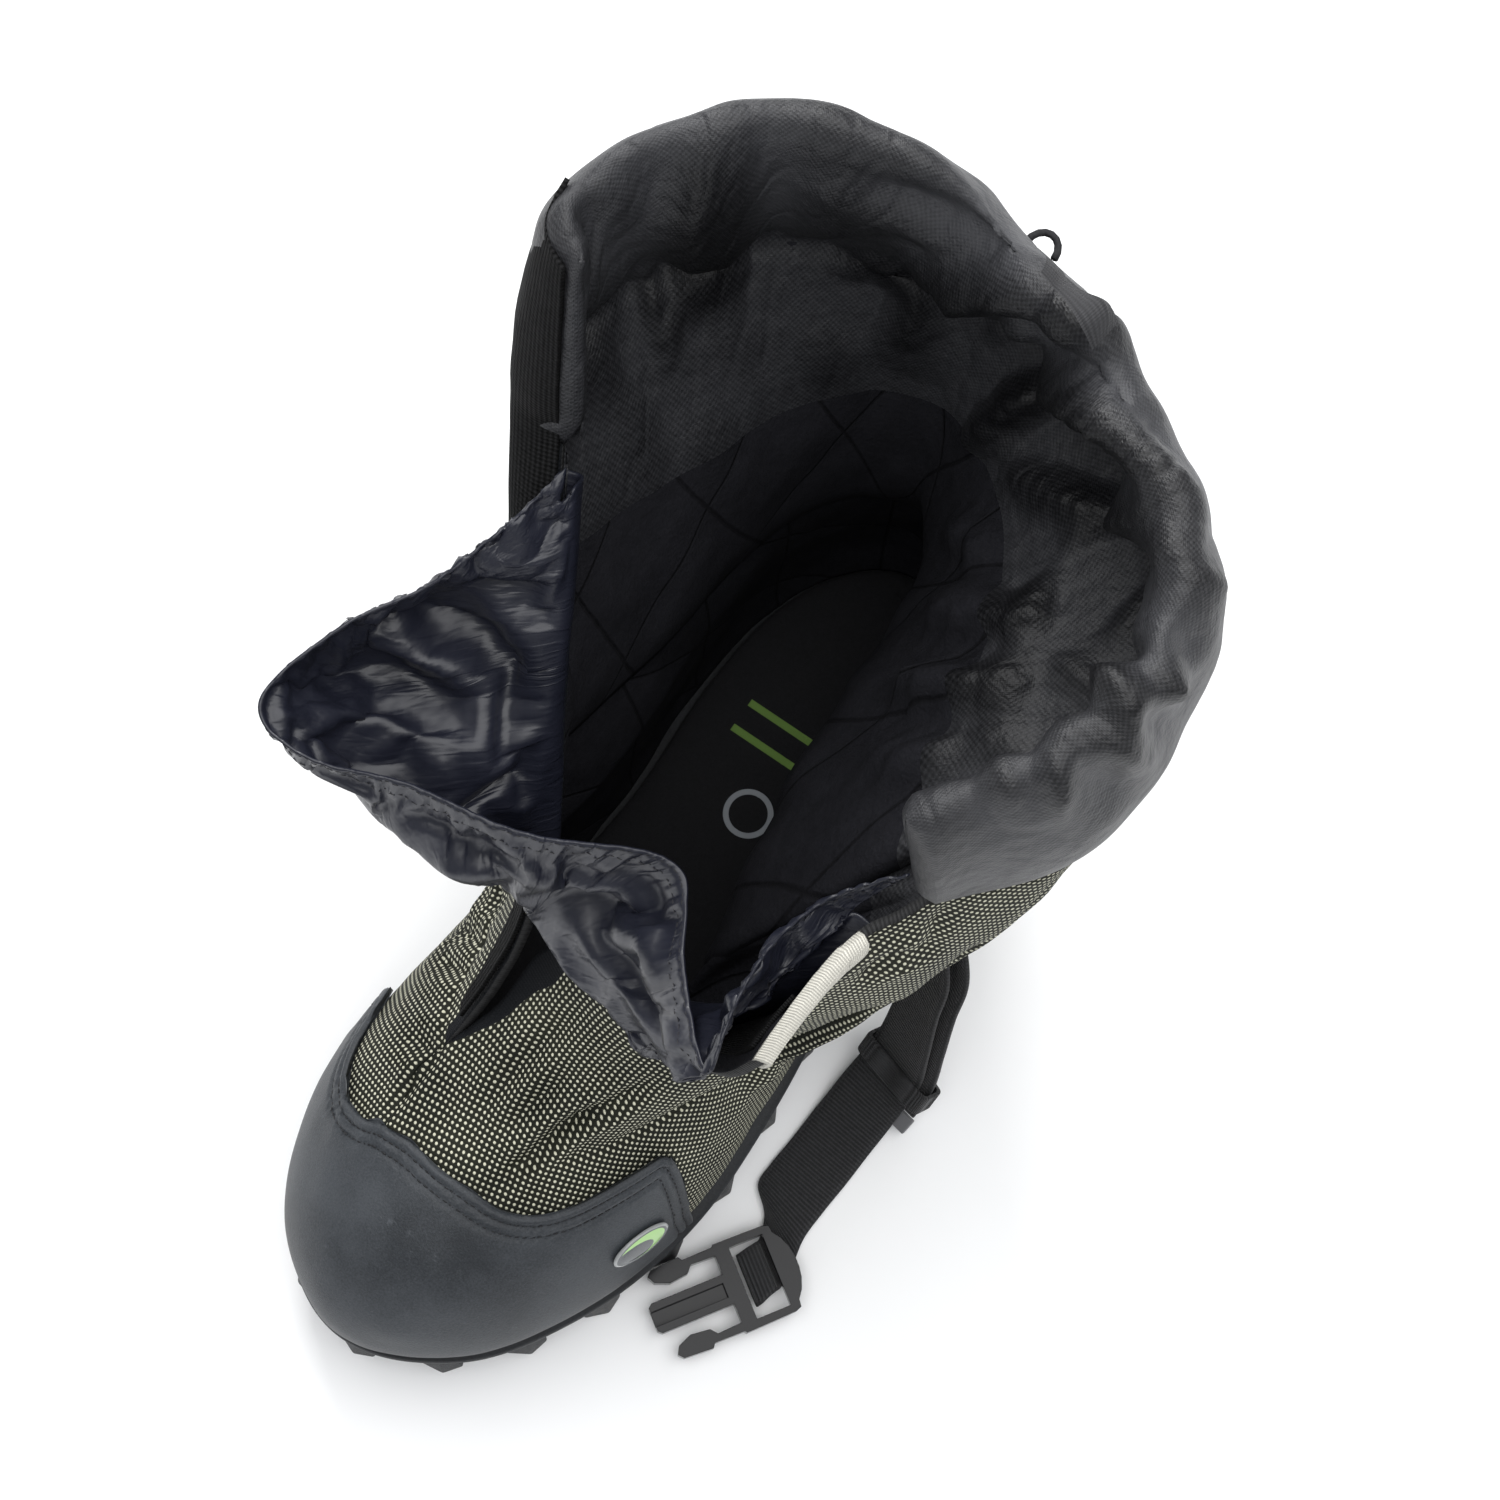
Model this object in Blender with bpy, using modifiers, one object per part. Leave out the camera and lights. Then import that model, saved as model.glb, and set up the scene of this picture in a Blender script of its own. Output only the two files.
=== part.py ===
"""Insulated overshoe with a wrap closure, the left one of a pair, standing open and empty.

The toe points along -Y, the outer (lateral) side is +X and the floor is Z = 0. The origin is
the middle of the heel's tread. Tables and sizes are in millimetres; new_object turns them
into metres.
"""

import itertools
import math

import bmesh
import bpy
import numpy as np

MM = 0.001
GAP = 0.35  # between pieces that touch

# Sole
SOLE_LENGTH = 340.0
HEEL_BACK = 48.0  # the heel's back edge, along Y
LUG_HEIGHT = 7.0
LUG_PITCH = 29.0
LUG_REACH = 4.6  # how far an edge lug stands out from the sole's side
WELT_DROP = 4.5  # from the sole's top edge down to its bead

# Upper
WALL = 3.2  # shell fabric, insulation and lining
CROWN_POWER = 2.3  # roundness of the upper's section over the foot
MEDIAL_COLUMNS = 24
LATERAL_COLUMNS = 32
FLAP_COLUMNS = 7  # of the lateral ones, those of the wrap flap
FOOT_STEPS = 2  # rows for each row of FOOT_ROWS
SHAFT_STEPS = 7

SHAFT_RUN = 5.0  # how far the shaft's foot runs on in the line of the rows below it
FLAP_SWELL = (9.0, -8.0, -14.0)
ANKLE_IN = 8.0
MEDIAL_BLEND = 0.2  # share of a row over which the shaft is drawn to the slit's edge
LATERAL_BLEND = 0.36

# Overlays and trim
CAP_GAP = 0.75
CAP_THICK = 2.2
CAP_ROWS = 9
CAP_FOOT = 0.2  # row of the grid where the cap starts above the sole
TAPE_GAP = 1.1
TAPE_WIDTH = 25.0
TAPE_THICK = 1.4
TAB_LENGTH = 48.0
TAB_WIDTH = 9.0
GUSSET_THICK = 1.2
GUSSET_COLUMNS = 38
GUSSET_RISE_ROWS = 5
GUSSET_SEAM_MEDIAL = 14.0  # its seam lies this far behind the slit's edge
GUSSET_SEAM_LATERAL = (24.0, 56.0)  # at the slit's foot and at the top
GUSSET_BEND_MEDIAL = (-4.5, 1.4, 5.0)  # past the edge, clear of the wall inside, and over its face
GUSSET_CLEAR_LATERAL = 7.3  # from the wall inside, to pass the loop tape
COLLAR_LIFT = 1.0  # above the shaft's top edge
COLLAR_END = 45.0  # the collar's padding thins out over this length at its two ends
INSOLE_INSET = 7.8
INSOLE_THICK = 4.0
BADGE_SIZE = (22.0, 12.0, 1.8)
BADGE_PLACE = (9.05, 4.0)  # column from the seam and row of the cap
WEBBING_WIDTH = 25.0
WEBBING_THICK = 1.8
STRAP_SEAMS = ((-36.0, 82.0), (-50.0, 80.0))  # y and z where the strap is sewn to the quarter
TAIL_SPAN = (-70.0, -117.0)  # y where the spare end starts, and of its tip
TAIL_HEIGHTS = (10.0, 60.0)  # the spare end lies aside and behind the strap by the next two
TAIL_ASIDE = (4.0, 0.5)
TAIL_BENEATH = (2.7, 7.0)
TIP_SIZE = (6.5, 27.0, 2.2)
KEEPER_Y = -109.0
KEEPER_LENGTH = 9.0
KEEPER_THICK = 1.4
KEEPER_SLACK = 1.5
BUCKLE_FRONT = (91.4, -202.0)  # middle of the plug's front bar
BUCKLE_ALONG = (-0.55, -0.835)
SOCKET_SEAMS = ((-30.0, 82.0), (-46.0, 80.0), (-58.0, 77.0))
SOCKET_PLACE = (-92.0, 68.0)
SOCKET_LIFT = 6.5
LOOP_PLACE = (5.0, 41.0, 300.0)
LOOP_RADIUS = 4.5
LOOP_CORD = 1.1

# Half-widths of the sole's outline, by the share of its length from the heel's back
OUTLINE = (
    ("share", "medial", "lateral"),
    (0.00, 0.0, 0.0),
    (0.02, 17.0, 17.0),
    (0.06, 30.0, 30.0),
    (0.15, 42.0, 43.0),
    (0.25, 45.0, 48.0),
    (0.40, 44.0, 57.0),
    (0.50, 48.0, 63.0),
    (0.60, 56.0, 66.0),
    (0.70, 62.0, 66.0),
    (0.80, 63.0, 59.0),
    (0.88, 56.0, 47.0),
    (0.94, 45.0, 33.0),
    (0.98, 29.0, 15.0),
    (1.00, 8.0, -8.0),
)

# The sole from the side: height of the tread and of the top edge along Y
SIDE = (
    ("y", "tread", "top"),
    (-292.0, 13.0, 35.0),
    (-270.0, 7.0, 31.0),
    (-240.0, 1.6, 27.5),
    (-218.0, 0.0, 26.0),
    (-110.0, 0.0, 26.0),
    (-78.0, 2.5, 27.5),
    (-48.0, 0.0, 29.5),
    (30.0, 0.0, 30.5),
    (48.0, 2.0, 31.0),
)

# The gusset along the lateral edge: rows above the slit's foot, how far past the edge it bends
# (from its seam where it stays behind it), and its depth there
GUSSET_BEND_LATERAL = (
    ("height", "past", "over"),
    (3.0, -10.0, 5.0),
    (3.6, -6.0, 5.0),
    (4.4, -6.0, 5.0),
    (5.2, -6.0, -10.2),
    (5.7, 12.0, -10.2),
    (6.7, 50.0, -10.2),
)

# Top line of the foot, from the toe to the instep
RIDGE = (
    ("y", "height"),
    (-292.5, 40.0),
    (-291.0, 50.0),
    (-285.0, 63.0),
    (-270.0, 76.0),
    (-250.0, 85.0),
    (-228.0, 92.0),
    (-203.0, 101.0),
    (-180.0, 112.0),
    (-150.0, 130.0),
)

# Closed rows of the upper, from the sole's edge up to the bottom of the slit: front and back
# points, inset from the sole's outline, and where the seam line crosses the row
FOOT_ROWS = (
    ("front_y", "front_z", "back_y", "back_z", "inset", "seam_x"),
    (-289.4, 35.2, 45.0, 31.5, 2.6, -12.0),
    (-291.5, 47.0, 48.0, 46.0, 0.4, -14.0),
    (-284.5, 63.5, 48.0, 62.0, 0.8, -20.0),
    (-262.0, 80.0, 46.5, 77.0, 1.6, -27.0),
    (-238.0, 89.0, 45.0, 91.0, 2.4, -32.0),
    (-224.0, 94.0, 44.0, 104.0, 3.0, -28.5),
)

# Top edge of the shaft, from the medial front end round the back to the flap's corner
TOP_EDGE = (
    ("x", "y", "z"),
    (-78.0, -66.0, 257.0),
    (-90.0, -68.0, 257.0),
    (-99.0, -56.0, 256.0),
    (-100.0, -34.0, 256.0),
    (-86.0, 6.0, 255.0),
    (-46.0, 38.0, 254.0),
    (0.0, 46.0, 254.0),
    (46.0, 36.0, 254.0),
    (88.0, 2.0, 254.0),
    (107.0, -40.0, 254.0),
    (104.0, -84.0, 254.0),
    (80.0, -115.0, 254.0),
)
BACK_POINT = 6  # row of TOP_EDGE at the middle of the back

# The slit's two edges, from its foot up
MEDIAL_EDGE = (
    ("x", "y", "z"),
    (-28.5, -203.5, 94.0),
    (-25.0, -180.0, 113.0),
    (-24.0, -163.0, 136.0),
    (-33.0, -144.0, 162.0),
    (-45.0, -125.0, 190.0),
    (-57.0, -105.0, 216.0),
    (-68.0, -84.0, 240.0),
    (-78.0, -66.0, 257.0),
)
LATERAL_EDGE = (
    ("x", "y", "z"),
    (-28.5, -203.5, 94.0),
    (-22.5, -191.0, 103.0),
    (-18.0, -171.0, 118.0),
    (-15.0, -161.0, 132.0),
    (-2.0, -160.0, 146.0),
    (24.0, -169.0, 158.0),
    (50.0, -176.0, 178.0),
    (65.0, -171.0, 214.0),
)

# Top edge of the flap, from the shaft's lateral front end to the flap's free corner
FLAP_EDGE = (
    ("x", "y", "z"),
    (80.0, -115.0, 254.0),
    (69.0, -134.0, 240.0),
    (66.0, -153.0, 228.0),
    (65.0, -171.0, 214.0),
)

# Top edge of the toe cap, by column from the seam (lateral is positive): row of FOOT_ROWS
CAP_EDGE = (
    ("column", "row"),
    (-7.4, 1.00),
    (-7.0, 1.72),
    (-6.3, 2.00),
    (-5.0, 2.17),
    (-4.0, 2.34),
    (-3.0, 2.58),
    (-2.0, 2.86),
    (-1.0, 3.16),
    (0.0, 3.47),
    (1.0, 3.75),
    (2.0, 4.00),
    (3.0, 4.15),
    (4.0, 4.10),
    (5.0, 3.80),
    (6.0, 3.55),
    (7.0, 3.47),
    (8.0, 3.50),
    (9.0, 3.55),
    (9.7, 3.53),
    (10.1, 3.30),
    (10.5, 2.70),
    (10.8, 1.70),
)

# Rim of the collar, from the medial front end round the back to the lateral front end
RIM = (
    ("x", "y", "z"),
    (-88.0, -47.0, 326.0),
    (-96.0, -42.0, 328.0),
    (-98.0, -22.0, 331.0),
    (-74.0, 14.0, 331.0),
    (-30.0, 32.0, 328.0),
    (6.0, 28.0, 322.0),
    (48.0, 11.0, 319.0),
    (84.0, -15.0, 320.0),
    (95.0, -47.0, 320.0),
    (88.0, -82.0, 313.0),
    (68.0, -112.0, 300.0),
)

# Section of the collar: share of the way up from the upper's edge to the rim, and distance
# outwards from the line between them
COLLAR_SECTION = (
    ("up", "out"),
    (0.00, 0.0),
    (0.22, 5.0),
    (0.50, 7.5),
    (0.78, 6.5),
    (0.96, 2.5),
    (1.03, -3.0),
    (0.96, -8.5),
    (0.72, -11.0),
    (0.42, -9.5),
    (0.15, -6.0),
    (0.00, -3.2),
)

# Bellows gusset, from the medial side round its folds to the lateral side: its free hem, the
# belly of the cloth below the hem, and how many rows above the slit's foot it is sewn in
# (medial ones negative)
GUSSET = (
    ("hem_x", "hem_y", "hem_z", "belly_x", "belly_y", "belly_z", "sewn"),
    (-72.0, -73.0, 262.0, -69.0, -80.0, 256.0, -6.7),
    (-77.0, -94.0, 256.0, -76.0, -99.0, 246.0, -6.15),
    (-87.0, -120.0, 247.0, -87.0, -118.0, 231.0, -5.6),
    (-100.0, -142.0, 243.0, -94.0, -134.0, 218.0, -5.1),
    (-104.0, -175.0, 237.0, -88.0, -156.0, 209.0, -4.6),
    (-88.0, -177.0, 236.0, -77.0, -164.0, 206.0, -4.1),
    (-63.0, -166.0, 228.0, -55.0, -168.0, 198.0, -3.4),
    (-30.0, -157.0, 218.0, -28.0, -165.0, 182.0, -2.5),
    (17.0, -139.0, 206.0, -13.0, -162.0, 163.0, 2.7),
    (24.0, -152.0, 207.0, -3.0, -170.0, 162.0, 3.05),
    (36.0, -167.0, 210.0, 16.0, -177.0, 172.0, 3.5),
    (54.0, -182.0, 216.0, 44.0, -185.0, 192.0, 4.2),
    (50.0, -165.0, 222.0, 45.0, -172.0, 200.0, 4.9),
    (49.0, -146.0, 230.0, 43.0, -158.0, 206.0, 5.5),
    (58.0, -124.0, 244.0, 51.0, -138.0, 222.0, 6.1),
    (70.0, -113.0, 254.0, 62.0, -124.0, 238.0, 6.7),
)

# Centre line of the instep strap from its seam to the floor, and the direction of its width
STRAP_PATH = (
    ("x", "y", "z", "wide_x", "wide_y", "wide_z"),
    (62.0, -66.0, 77.0, 0.40, -0.10, 0.90),
    (76.0, -75.0, 73.0, 0.72, -0.30, 0.62),
    (85.0, -81.0, 64.0, 0.72, -0.50, 0.48),
    (88.0, -89.5, 51.0, 0.75, -0.52, 0.42),
    (91.5, -99.0, 34.0, 0.82, -0.45, 0.32),
    (93.6, -107.0, 19.0, 0.90, -0.33, 0.22),
    (93.2, -113.5, 11.0, 0.95, -0.25, 0.14),
    (92.4, -121.0, 6.8, 0.98, -0.16, 0.06),
    (91.9, -128.0, 4.2, 0.99, -0.11, 0.02),
    (91.2, -136.0, 2.2, 0.99, -0.10, 0.00),
    (90.3, -150.0, 1.4, 0.99, -0.10, 0.00),
    (89.2, -162.0, 1.4, 0.99, -0.12, 0.00),
    (89.0, -171.5, 1.4, 0.96, -0.26, 0.00),
)

# The strap's run through the buckle, in the buckle's directions, and half its gathered width
STRAP_END = (
    ("along", "across", "height", "half"),
    (-17.5, -7.5, 1.4, 11.0),
    (-13.0, -3.0, 2.0, 9.2),
    (-11.0, -2.4, 5.4, 9.2),
    (-8.0, -1.6, 6.2, 9.4),
    (-5.4, -0.8, 5.8, 9.6),
    (-3.4, -0.4, 4.2, 9.6),
)

# Half outline of the plug buckle from its guide's tip back to the tab: along and across
BUCKLE_OUTLINE = (
    ("along", "across"),
    (32.0, 4.2),
    (30.6, 5.4),
    (4.0, 5.4),
    (4.0, 12.2),
    (13.0, 12.6),
    (15.0, 10.2),
    (22.0, 9.4),
    (27.0, 11.4),
    (28.5, 14.2),
    (26.8, 16.0),
    (16.2, 16.7),
    (15.2, 15.2),
    (4.0, 15.4),
    (3.6, 16.2),
    (-15.0, 15.8),
    (-17.2, 15.0),
    (-17.5, 12.4),
    (-19.6, 9.6),
    (-21.2, 5.6),
    (-21.8, 2.0),
)

# Half outline of the socket buckle from its mouth back to its bar
SOCKET_OUTLINE = (
    ("along", "across"),
    (17.0, 9.0),
    (15.5, 15.0),
    (8.0, 17.4),
    (-9.0, 17.2),
    (-16.0, 16.0),
    (-17.0, 14.0),
)

def table(rows):
    """The columns of a table by name, as arrays."""
    values = np.array(rows[1:], float)
    return {name: values[:, i] for i, name in enumerate(rows[0])}


def spline(knots, values, at):
    """A smooth curve through values at the knots, read at the given places."""
    knots, values, at = (np.asarray(a, float) for a in (knots, values, at))
    flat = values.ndim == 1
    if flat:
        values = values[:, None]
    step = np.diff(knots)
    rise = np.diff(values, axis=0) / step[:, None]
    slope = np.empty_like(values)
    slope[0], slope[-1] = rise[0], rise[-1]
    weight = (step[1:] / (step[1:] + step[:-1]))[:, None]
    slope[1:-1] = weight * rise[:-1] + (1 - weight) * rise[1:]
    i = np.clip(np.searchsorted(knots, at) - 1, 0, len(step) - 1)
    h = step[i][:, None]
    t = np.clip((at - knots[i]) / step[i], 0, 1)[:, None]
    result = (
        (1 + 2 * t) * (1 - t) ** 2 * values[i]
        + t * (1 - t) ** 2 * h * slope[i]
        + t * t * (3 - 2 * t) * values[i + 1]
        - t * t * (1 - t) * h * slope[i + 1]
    )
    return result[:, 0] if flat else result


def read(columns, key, name, at):
    return spline(columns[key], columns[name], np.atleast_1d(at))


def lengths(points):
    """Distance along a polyline at each of its points."""
    return np.concatenate([[0], np.cumsum(np.linalg.norm(np.diff(points, axis=0), axis=1))])


def spaced(points, count):
    """count + 1 points at even distances along a polyline."""
    along = lengths(points)
    at = np.linspace(0, along[-1], count + 1)
    return np.column_stack([np.interp(at, along, points[:, i]) for i in range(3)])


def curve_through(rows, count):
    """count + 1 even points on a smooth curve through the rows of a table of x, y and z."""
    points = np.array(rows, float)
    knots = lengths(points)
    fine = spline(knots, points, np.linspace(0, knots[-1], 40 * len(points)))
    return spaced(fine, count)


def unit(vectors):
    return vectors / np.maximum(np.linalg.norm(vectors, axis=-1, keepdims=True), 1e-9)


outline_columns = table(OUTLINE)
side_columns = table(SIDE)
ridge_columns = table(RIDGE)
foot_columns = table(FOOT_ROWS)


def tread_height(y):
    return np.maximum(read(side_columns, "y", "tread", y), 0.0)


def top_height(y):
    return read(side_columns, "y", "top", y)


def half_widths(share, inset):
    """Medial and lateral half-widths of the outline, drawn in by inset."""
    angle = np.arccos(np.clip(1 - 2 * share, -1, 1))
    knots = np.arccos(1 - 2 * outline_columns["share"])
    medial = spline(knots, outline_columns["medial"], angle)
    lateral = spline(knots, outline_columns["lateral"], angle)
    narrow = inset * np.clip((medial + lateral) / 40, 0, 1)
    return medial - narrow, lateral - narrow


def sole_ring(count):
    """The sole's outline: up the medial side from the heel to the toe, then back."""
    share = (1 - np.cos(np.linspace(0, math.pi, count + 1))) / 2
    medial, lateral = half_widths(share, 0)
    y = HEEL_BACK - SOLE_LENGTH * share
    up = np.column_stack([-medial, y])
    back = np.column_stack([lateral, y])[-2:0:-1]
    return np.concatenate([up, back])


def ring_normals(ring):
    """Outward directions in plan at the points of a closed ring."""
    along = unit(np.roll(ring, -1, axis=0) - np.roll(ring, 1, axis=0))
    normal = np.column_stack([along[:, 1], -along[:, 0]])
    area = np.sum(ring[:, 0] * np.roll(ring[:, 1], -1) - np.roll(ring[:, 0], -1) * ring[:, 1])
    return normal if area > 0 else -normal


def material(name, color, roughness, metallic=0.0):
    made = bpy.data.materials.new(name)
    made.use_nodes = True
    shader = made.node_tree.nodes["Principled BSDF"]
    shader.inputs["Base Color"].default_value = (*color, 1)
    shader.inputs["Roughness"].default_value = roughness
    shader.inputs["Metallic"].default_value = metallic
    return made


def new_object(name, points, faces, finish, collection):
    """A mesh object from points in millimetres, with its faces turned outwards if closed."""
    mesh = bpy.data.meshes.new(name)
    mesh.from_pydata([tuple(p) for p in np.asarray(points) * MM], [], faces)
    mesh.validate()
    made = bpy.data.objects.new(name, mesh)
    collection.objects.link(made)
    if finish:
        mesh.materials.append(finish)
    return made


def turn_outwards(made):
    """Merge doubled points and make a closed mesh's faces point outwards."""
    work = bmesh.new()
    work.from_mesh(made.data)
    bmesh.ops.remove_doubles(work, verts=work.verts, dist=1e-6)
    bmesh.ops.recalc_face_normals(work, faces=work.faces)
    if work.calc_volume(signed=True) < 0:
        bmesh.ops.reverse_faces(work, faces=work.faces)
    work.to_mesh(made.data)
    work.free()
    made.data.shade_smooth()
    made.data.set_sharp_from_angle(angle=math.radians(40))


def stack_of_rings(rings):
    """Faces of a closed body between rings of one length, capped across at both ends."""
    count = len(rings[0])
    points = np.concatenate(rings)
    faces = []
    for level in range(len(rings) - 1):
        low, high = level * count, (level + 1) * count
        for i in range(count):
            j = (i + 1) % count
            faces.append((low + i, low + j, high + j, high + i))
    for start in (0, (len(rings) - 1) * count):
        half = count // 2
        for i in range(half):
            a, b = i, i + 1
            c, d = (count - b) % count, (count - a) % count
            corners = [start + k for k in (a, b, c, d)]
            faces.append(tuple(dict.fromkeys(corners)))
    return points, [face for face in faces if len(face) > 2]


def outsole(finish, collection, cutters):
    """The sole's body, with its bead and groove, and the lugs joined to it."""
    ring = sole_ring(34)
    normal = ring_normals(ring)
    tread = tread_height(ring[:, 1])
    top = top_height(ring[:, 1])
    body_low = tread + LUG_HEIGHT
    levels = (
        (-3.0, body_low),
        (-0.4, body_low + 2.0),
        (0.6, top - WELT_DROP - 4.5),
        (-0.9, top - WELT_DROP - 2.0),
        (1.0, top - WELT_DROP + 0.5),
        (1.0, top - 1.2),
        (0.0, top),
    )
    rings = [np.column_stack([ring + out * normal, height]) for out, height in levels]
    body = new_object("outsole", *stack_of_rings(rings), finish, collection)
    turn_outwards(body)
    lugs = new_object("outsole_lugs", *all_lugs(ring, normal), None, cutters)
    turn_outwards(lugs)
    join = body.modifiers.new("lugs", "BOOLEAN")
    join.operation = "UNION"
    join.use_self = True
    join.object = lugs
    return body


def prism(low, high, low_z, high_z):
    """A tapered block between two plan shapes with as many corners."""
    count = len(low)
    points = [(*p, z) for p, z in zip(low, np.broadcast_to(low_z, count))]
    points += [(*p, z) for p, z in zip(high, np.broadcast_to(high_z, count))]
    faces = [tuple(range(count)), tuple(range(count, 2 * count))]
    faces += [(i, (i + 1) % count, count + (i + 1) % count, count + i) for i in range(count)]
    return points, faces


def edge_lug(place, outward):
    """A claw round the sole's edge: five-sided, with a ridge that runs up the side."""
    along = np.array([-outward[1], outward[0]])
    tread = float(tread_height(place[1])[0])
    top = float(top_height(place[1])[0])

    def corner(out, side):
        return place + out * outward + side * along

    low = [(-13, -6.5), (-13, 6.5), (1.5, 7.5), (LUG_REACH, 0.8), (1.5, -7.5)]
    high = [(-12, -4.0), (-12, 4.0), (0.1, 4.0), (1.3, 0.6), (0.1, -4.0)]
    low = [corner(*at) for at in low]
    high = [corner(*at) for at in high]
    return prism(low, high, tread, top - WELT_DROP - 5.5)


def tread_lug(x, y, width, length):
    """A six-sided block under the middle of the sole."""
    ends = [(-0.5, -0.25), (0, -0.5), (0.5, -0.25), (0.5, 0.25), (0, 0.5), (-0.5, 0.25)]
    low = [(x + a * width, y + b * length) for a, b in ends]
    high = [(x + 1.15 * a * width, y + 1.15 * b * length) for a, b in ends]
    tread = float(tread_height(y)[0])
    return prism(low, high, tread, tread + LUG_HEIGHT + 4)


def all_lugs(ring, normal):
    blocks = []
    closed = np.concatenate([ring, ring[:1]])
    along = np.concatenate([[0], np.cumsum(np.linalg.norm(np.diff(closed, axis=0), axis=1))])
    count = round(along[-1] / LUG_PITCH)
    for k in range(count):
        at = (k + 0.5) * along[-1] / count
        i = int(np.searchsorted(along, at)) - 1
        share = (at - along[i]) / (along[i + 1] - along[i])
        place = closed[i] + share * (closed[i + 1] - closed[i])
        blocks.append(edge_lug(place, normal[i]))
    for row, y in enumerate((26.0, 0.0, -26.0, -104.0, -130.0, -156.0, -182.0, -208.0, -234.0)):
        if row in (1, 3, 5, 7):
            blocks.append(tread_lug(1.0, y, 26, 19))
        else:
            blocks += [tread_lug(side * 17.0 + 1.0, y, 20, 18) for side in (-1, 1)]
    points, faces = [], []
    for block_points, block_faces in blocks:
        faces += [tuple(i + len(points) for i in face) for face in block_faces]
        points += block_points
    return points, faces


def foot_row(name, row):
    """A column of FOOT_ROWS at a row that may lie between two of them."""
    values = foot_columns[name]
    return float(spline(np.arange(len(values)), values, np.atleast_1d(row))[0])


def foot_loop(row):
    """Points of one closed row of the upper: a medial and a lateral branch from front to back."""
    front_y, front_z = foot_row("front_y", row), foot_row("front_z", row)
    back_y, back_z = foot_row("back_y", row), foot_row("back_z", row)
    inset, seam_x = foot_row("inset", row), foot_row("seam_x", row)
    share = (1 - np.cos(np.linspace(0, math.pi, 161))) / 2
    y = front_y + (back_y - front_y) * share
    toe_y = HEEL_BACK - SOLE_LENGTH + inset
    medial, lateral = half_widths((back_y - y) / (back_y - toe_y), inset)
    sole_top = top_height(y)
    front_top, back_top = sole_top[0], sole_top[-1]
    level = front_z + (back_z - front_z) * share
    follow = max(0.0, 1 - row / 2.5)
    level = level + follow * (sole_top - (front_top + (back_top - front_top) * share))
    crown = np.where(y < -150, read(ridge_columns, "y", "height", np.minimum(y, -150)), 400.0)
    rise = np.clip((level - sole_top) / np.maximum(crown - sole_top, 1), 0, 1) if row > 0 else 0 * y
    close = (1 - rise**CROWN_POWER) ** (1 / CROWN_POWER)
    middle = (lateral - medial) / 2
    half = (lateral + medial) / 2 * close
    half[[0, -1]] = 0
    inner = np.column_stack([middle - half, y, level])
    outer = np.column_stack([middle + half, y, level])
    cut = int(np.argmax(inner[:, 0] < seam_x))
    share = (inner[cut - 1, 0] - seam_x) / (inner[cut - 1, 0] - inner[cut, 0])
    seam = inner[cut - 1] + share * (inner[cut] - inner[cut - 1])
    medial_branch = np.concatenate([[seam], inner[cut:]])
    lateral_branch = np.concatenate([[seam], inner[:cut][::-1], outer[1:]])
    medial_points = spaced(medial_branch, MEDIAL_COLUMNS)
    lateral_points = spaced(lateral_branch, LATERAL_COLUMNS)[::-1]
    return np.concatenate([medial_points, lateral_points[1:]])


def top_loop():
    """The open top edge of the upper, with the flap's edge at its lateral end."""
    rows = TOP_EDGE[1:]
    whole = curve_through(rows, 400)
    back = int(np.argmin(np.linalg.norm(whole - np.array(rows[BACK_POINT]), axis=1)))
    medial = spaced(whole[: back + 1], MEDIAL_COLUMNS)
    lateral = spaced(whole[back:], LATERAL_COLUMNS - FLAP_COLUMNS)
    flap = curve_through(FLAP_EDGE[1:], FLAP_COLUMNS)
    return np.concatenate([medial, lateral[1:], flap[1:]])


def fade(share):
    """One at zero, falling smoothly to nothing at one."""
    share = np.clip(share, 0, 1)
    return (1 - share) ** 2 * (1 + 2 * share)


def upper_grid():
    """All the rows of the upper's outer face, from the sole to the collar."""
    steps = FOOT_STEPS * (len(FOOT_ROWS) - 2)
    foot = [foot_loop(i / FOOT_STEPS) for i in range(steps + 1)]
    low, high = foot[-1], top_loop()
    run = (foot[-1] - foot[-2]) * SHAFT_RUN
    column = np.linspace(0, 1, len(low))
    flap = np.clip((column - 0.72) / 0.28, 0, 1)
    medial_edge = curve_through(MEDIAL_EDGE[1:], SHAFT_STEPS)
    lateral_edge = curve_through(LATERAL_EDGE[1:], SHAFT_STEPS)
    heel = np.exp(-(((column - 0.5) / 0.12) ** 2))
    shaft = []
    for step in range(1, SHAFT_STEPS + 1):
        t = step / SHAFT_STEPS
        rise = t * t * (3 - 2 * t) * 0.35 + t * 0.65
        line = low + rise * (high - low)
        line = line + (t * (1 - t) ** 2) * run
        swell = math.sin(math.pi * t)
        line += swell * np.outer(np.sin(math.pi * flap), FLAP_SWELL)
        line[:, 1] -= swell * ANKLE_IN * heel
        line += fade(column / MEDIAL_BLEND)[:, None] * (medial_edge[step] - line[0])
        drawn = np.clip(1 - (1 - column) / LATERAL_BLEND, 0, 1) ** 2
        line += drawn[:, None] * (lateral_edge[step] - line[-1])
        shaft.append(line)
    return np.array(foot + shaft)


grid = upper_grid()
slit_row = FOOT_STEPS * (len(FOOT_ROWS) - 2)
last_row = len(grid) - 1
corner_column = MEDIAL_COLUMNS + LATERAL_COLUMNS - FLAP_COLUMNS
last_column = MEDIAL_COLUMNS + LATERAL_COLUMNS


def grid_normals(points):
    """Outward normals of a grid of rows and columns."""
    across = np.gradient(points, axis=1)
    up = np.gradient(points, axis=0)
    return unit(np.cross(up, across))


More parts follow.
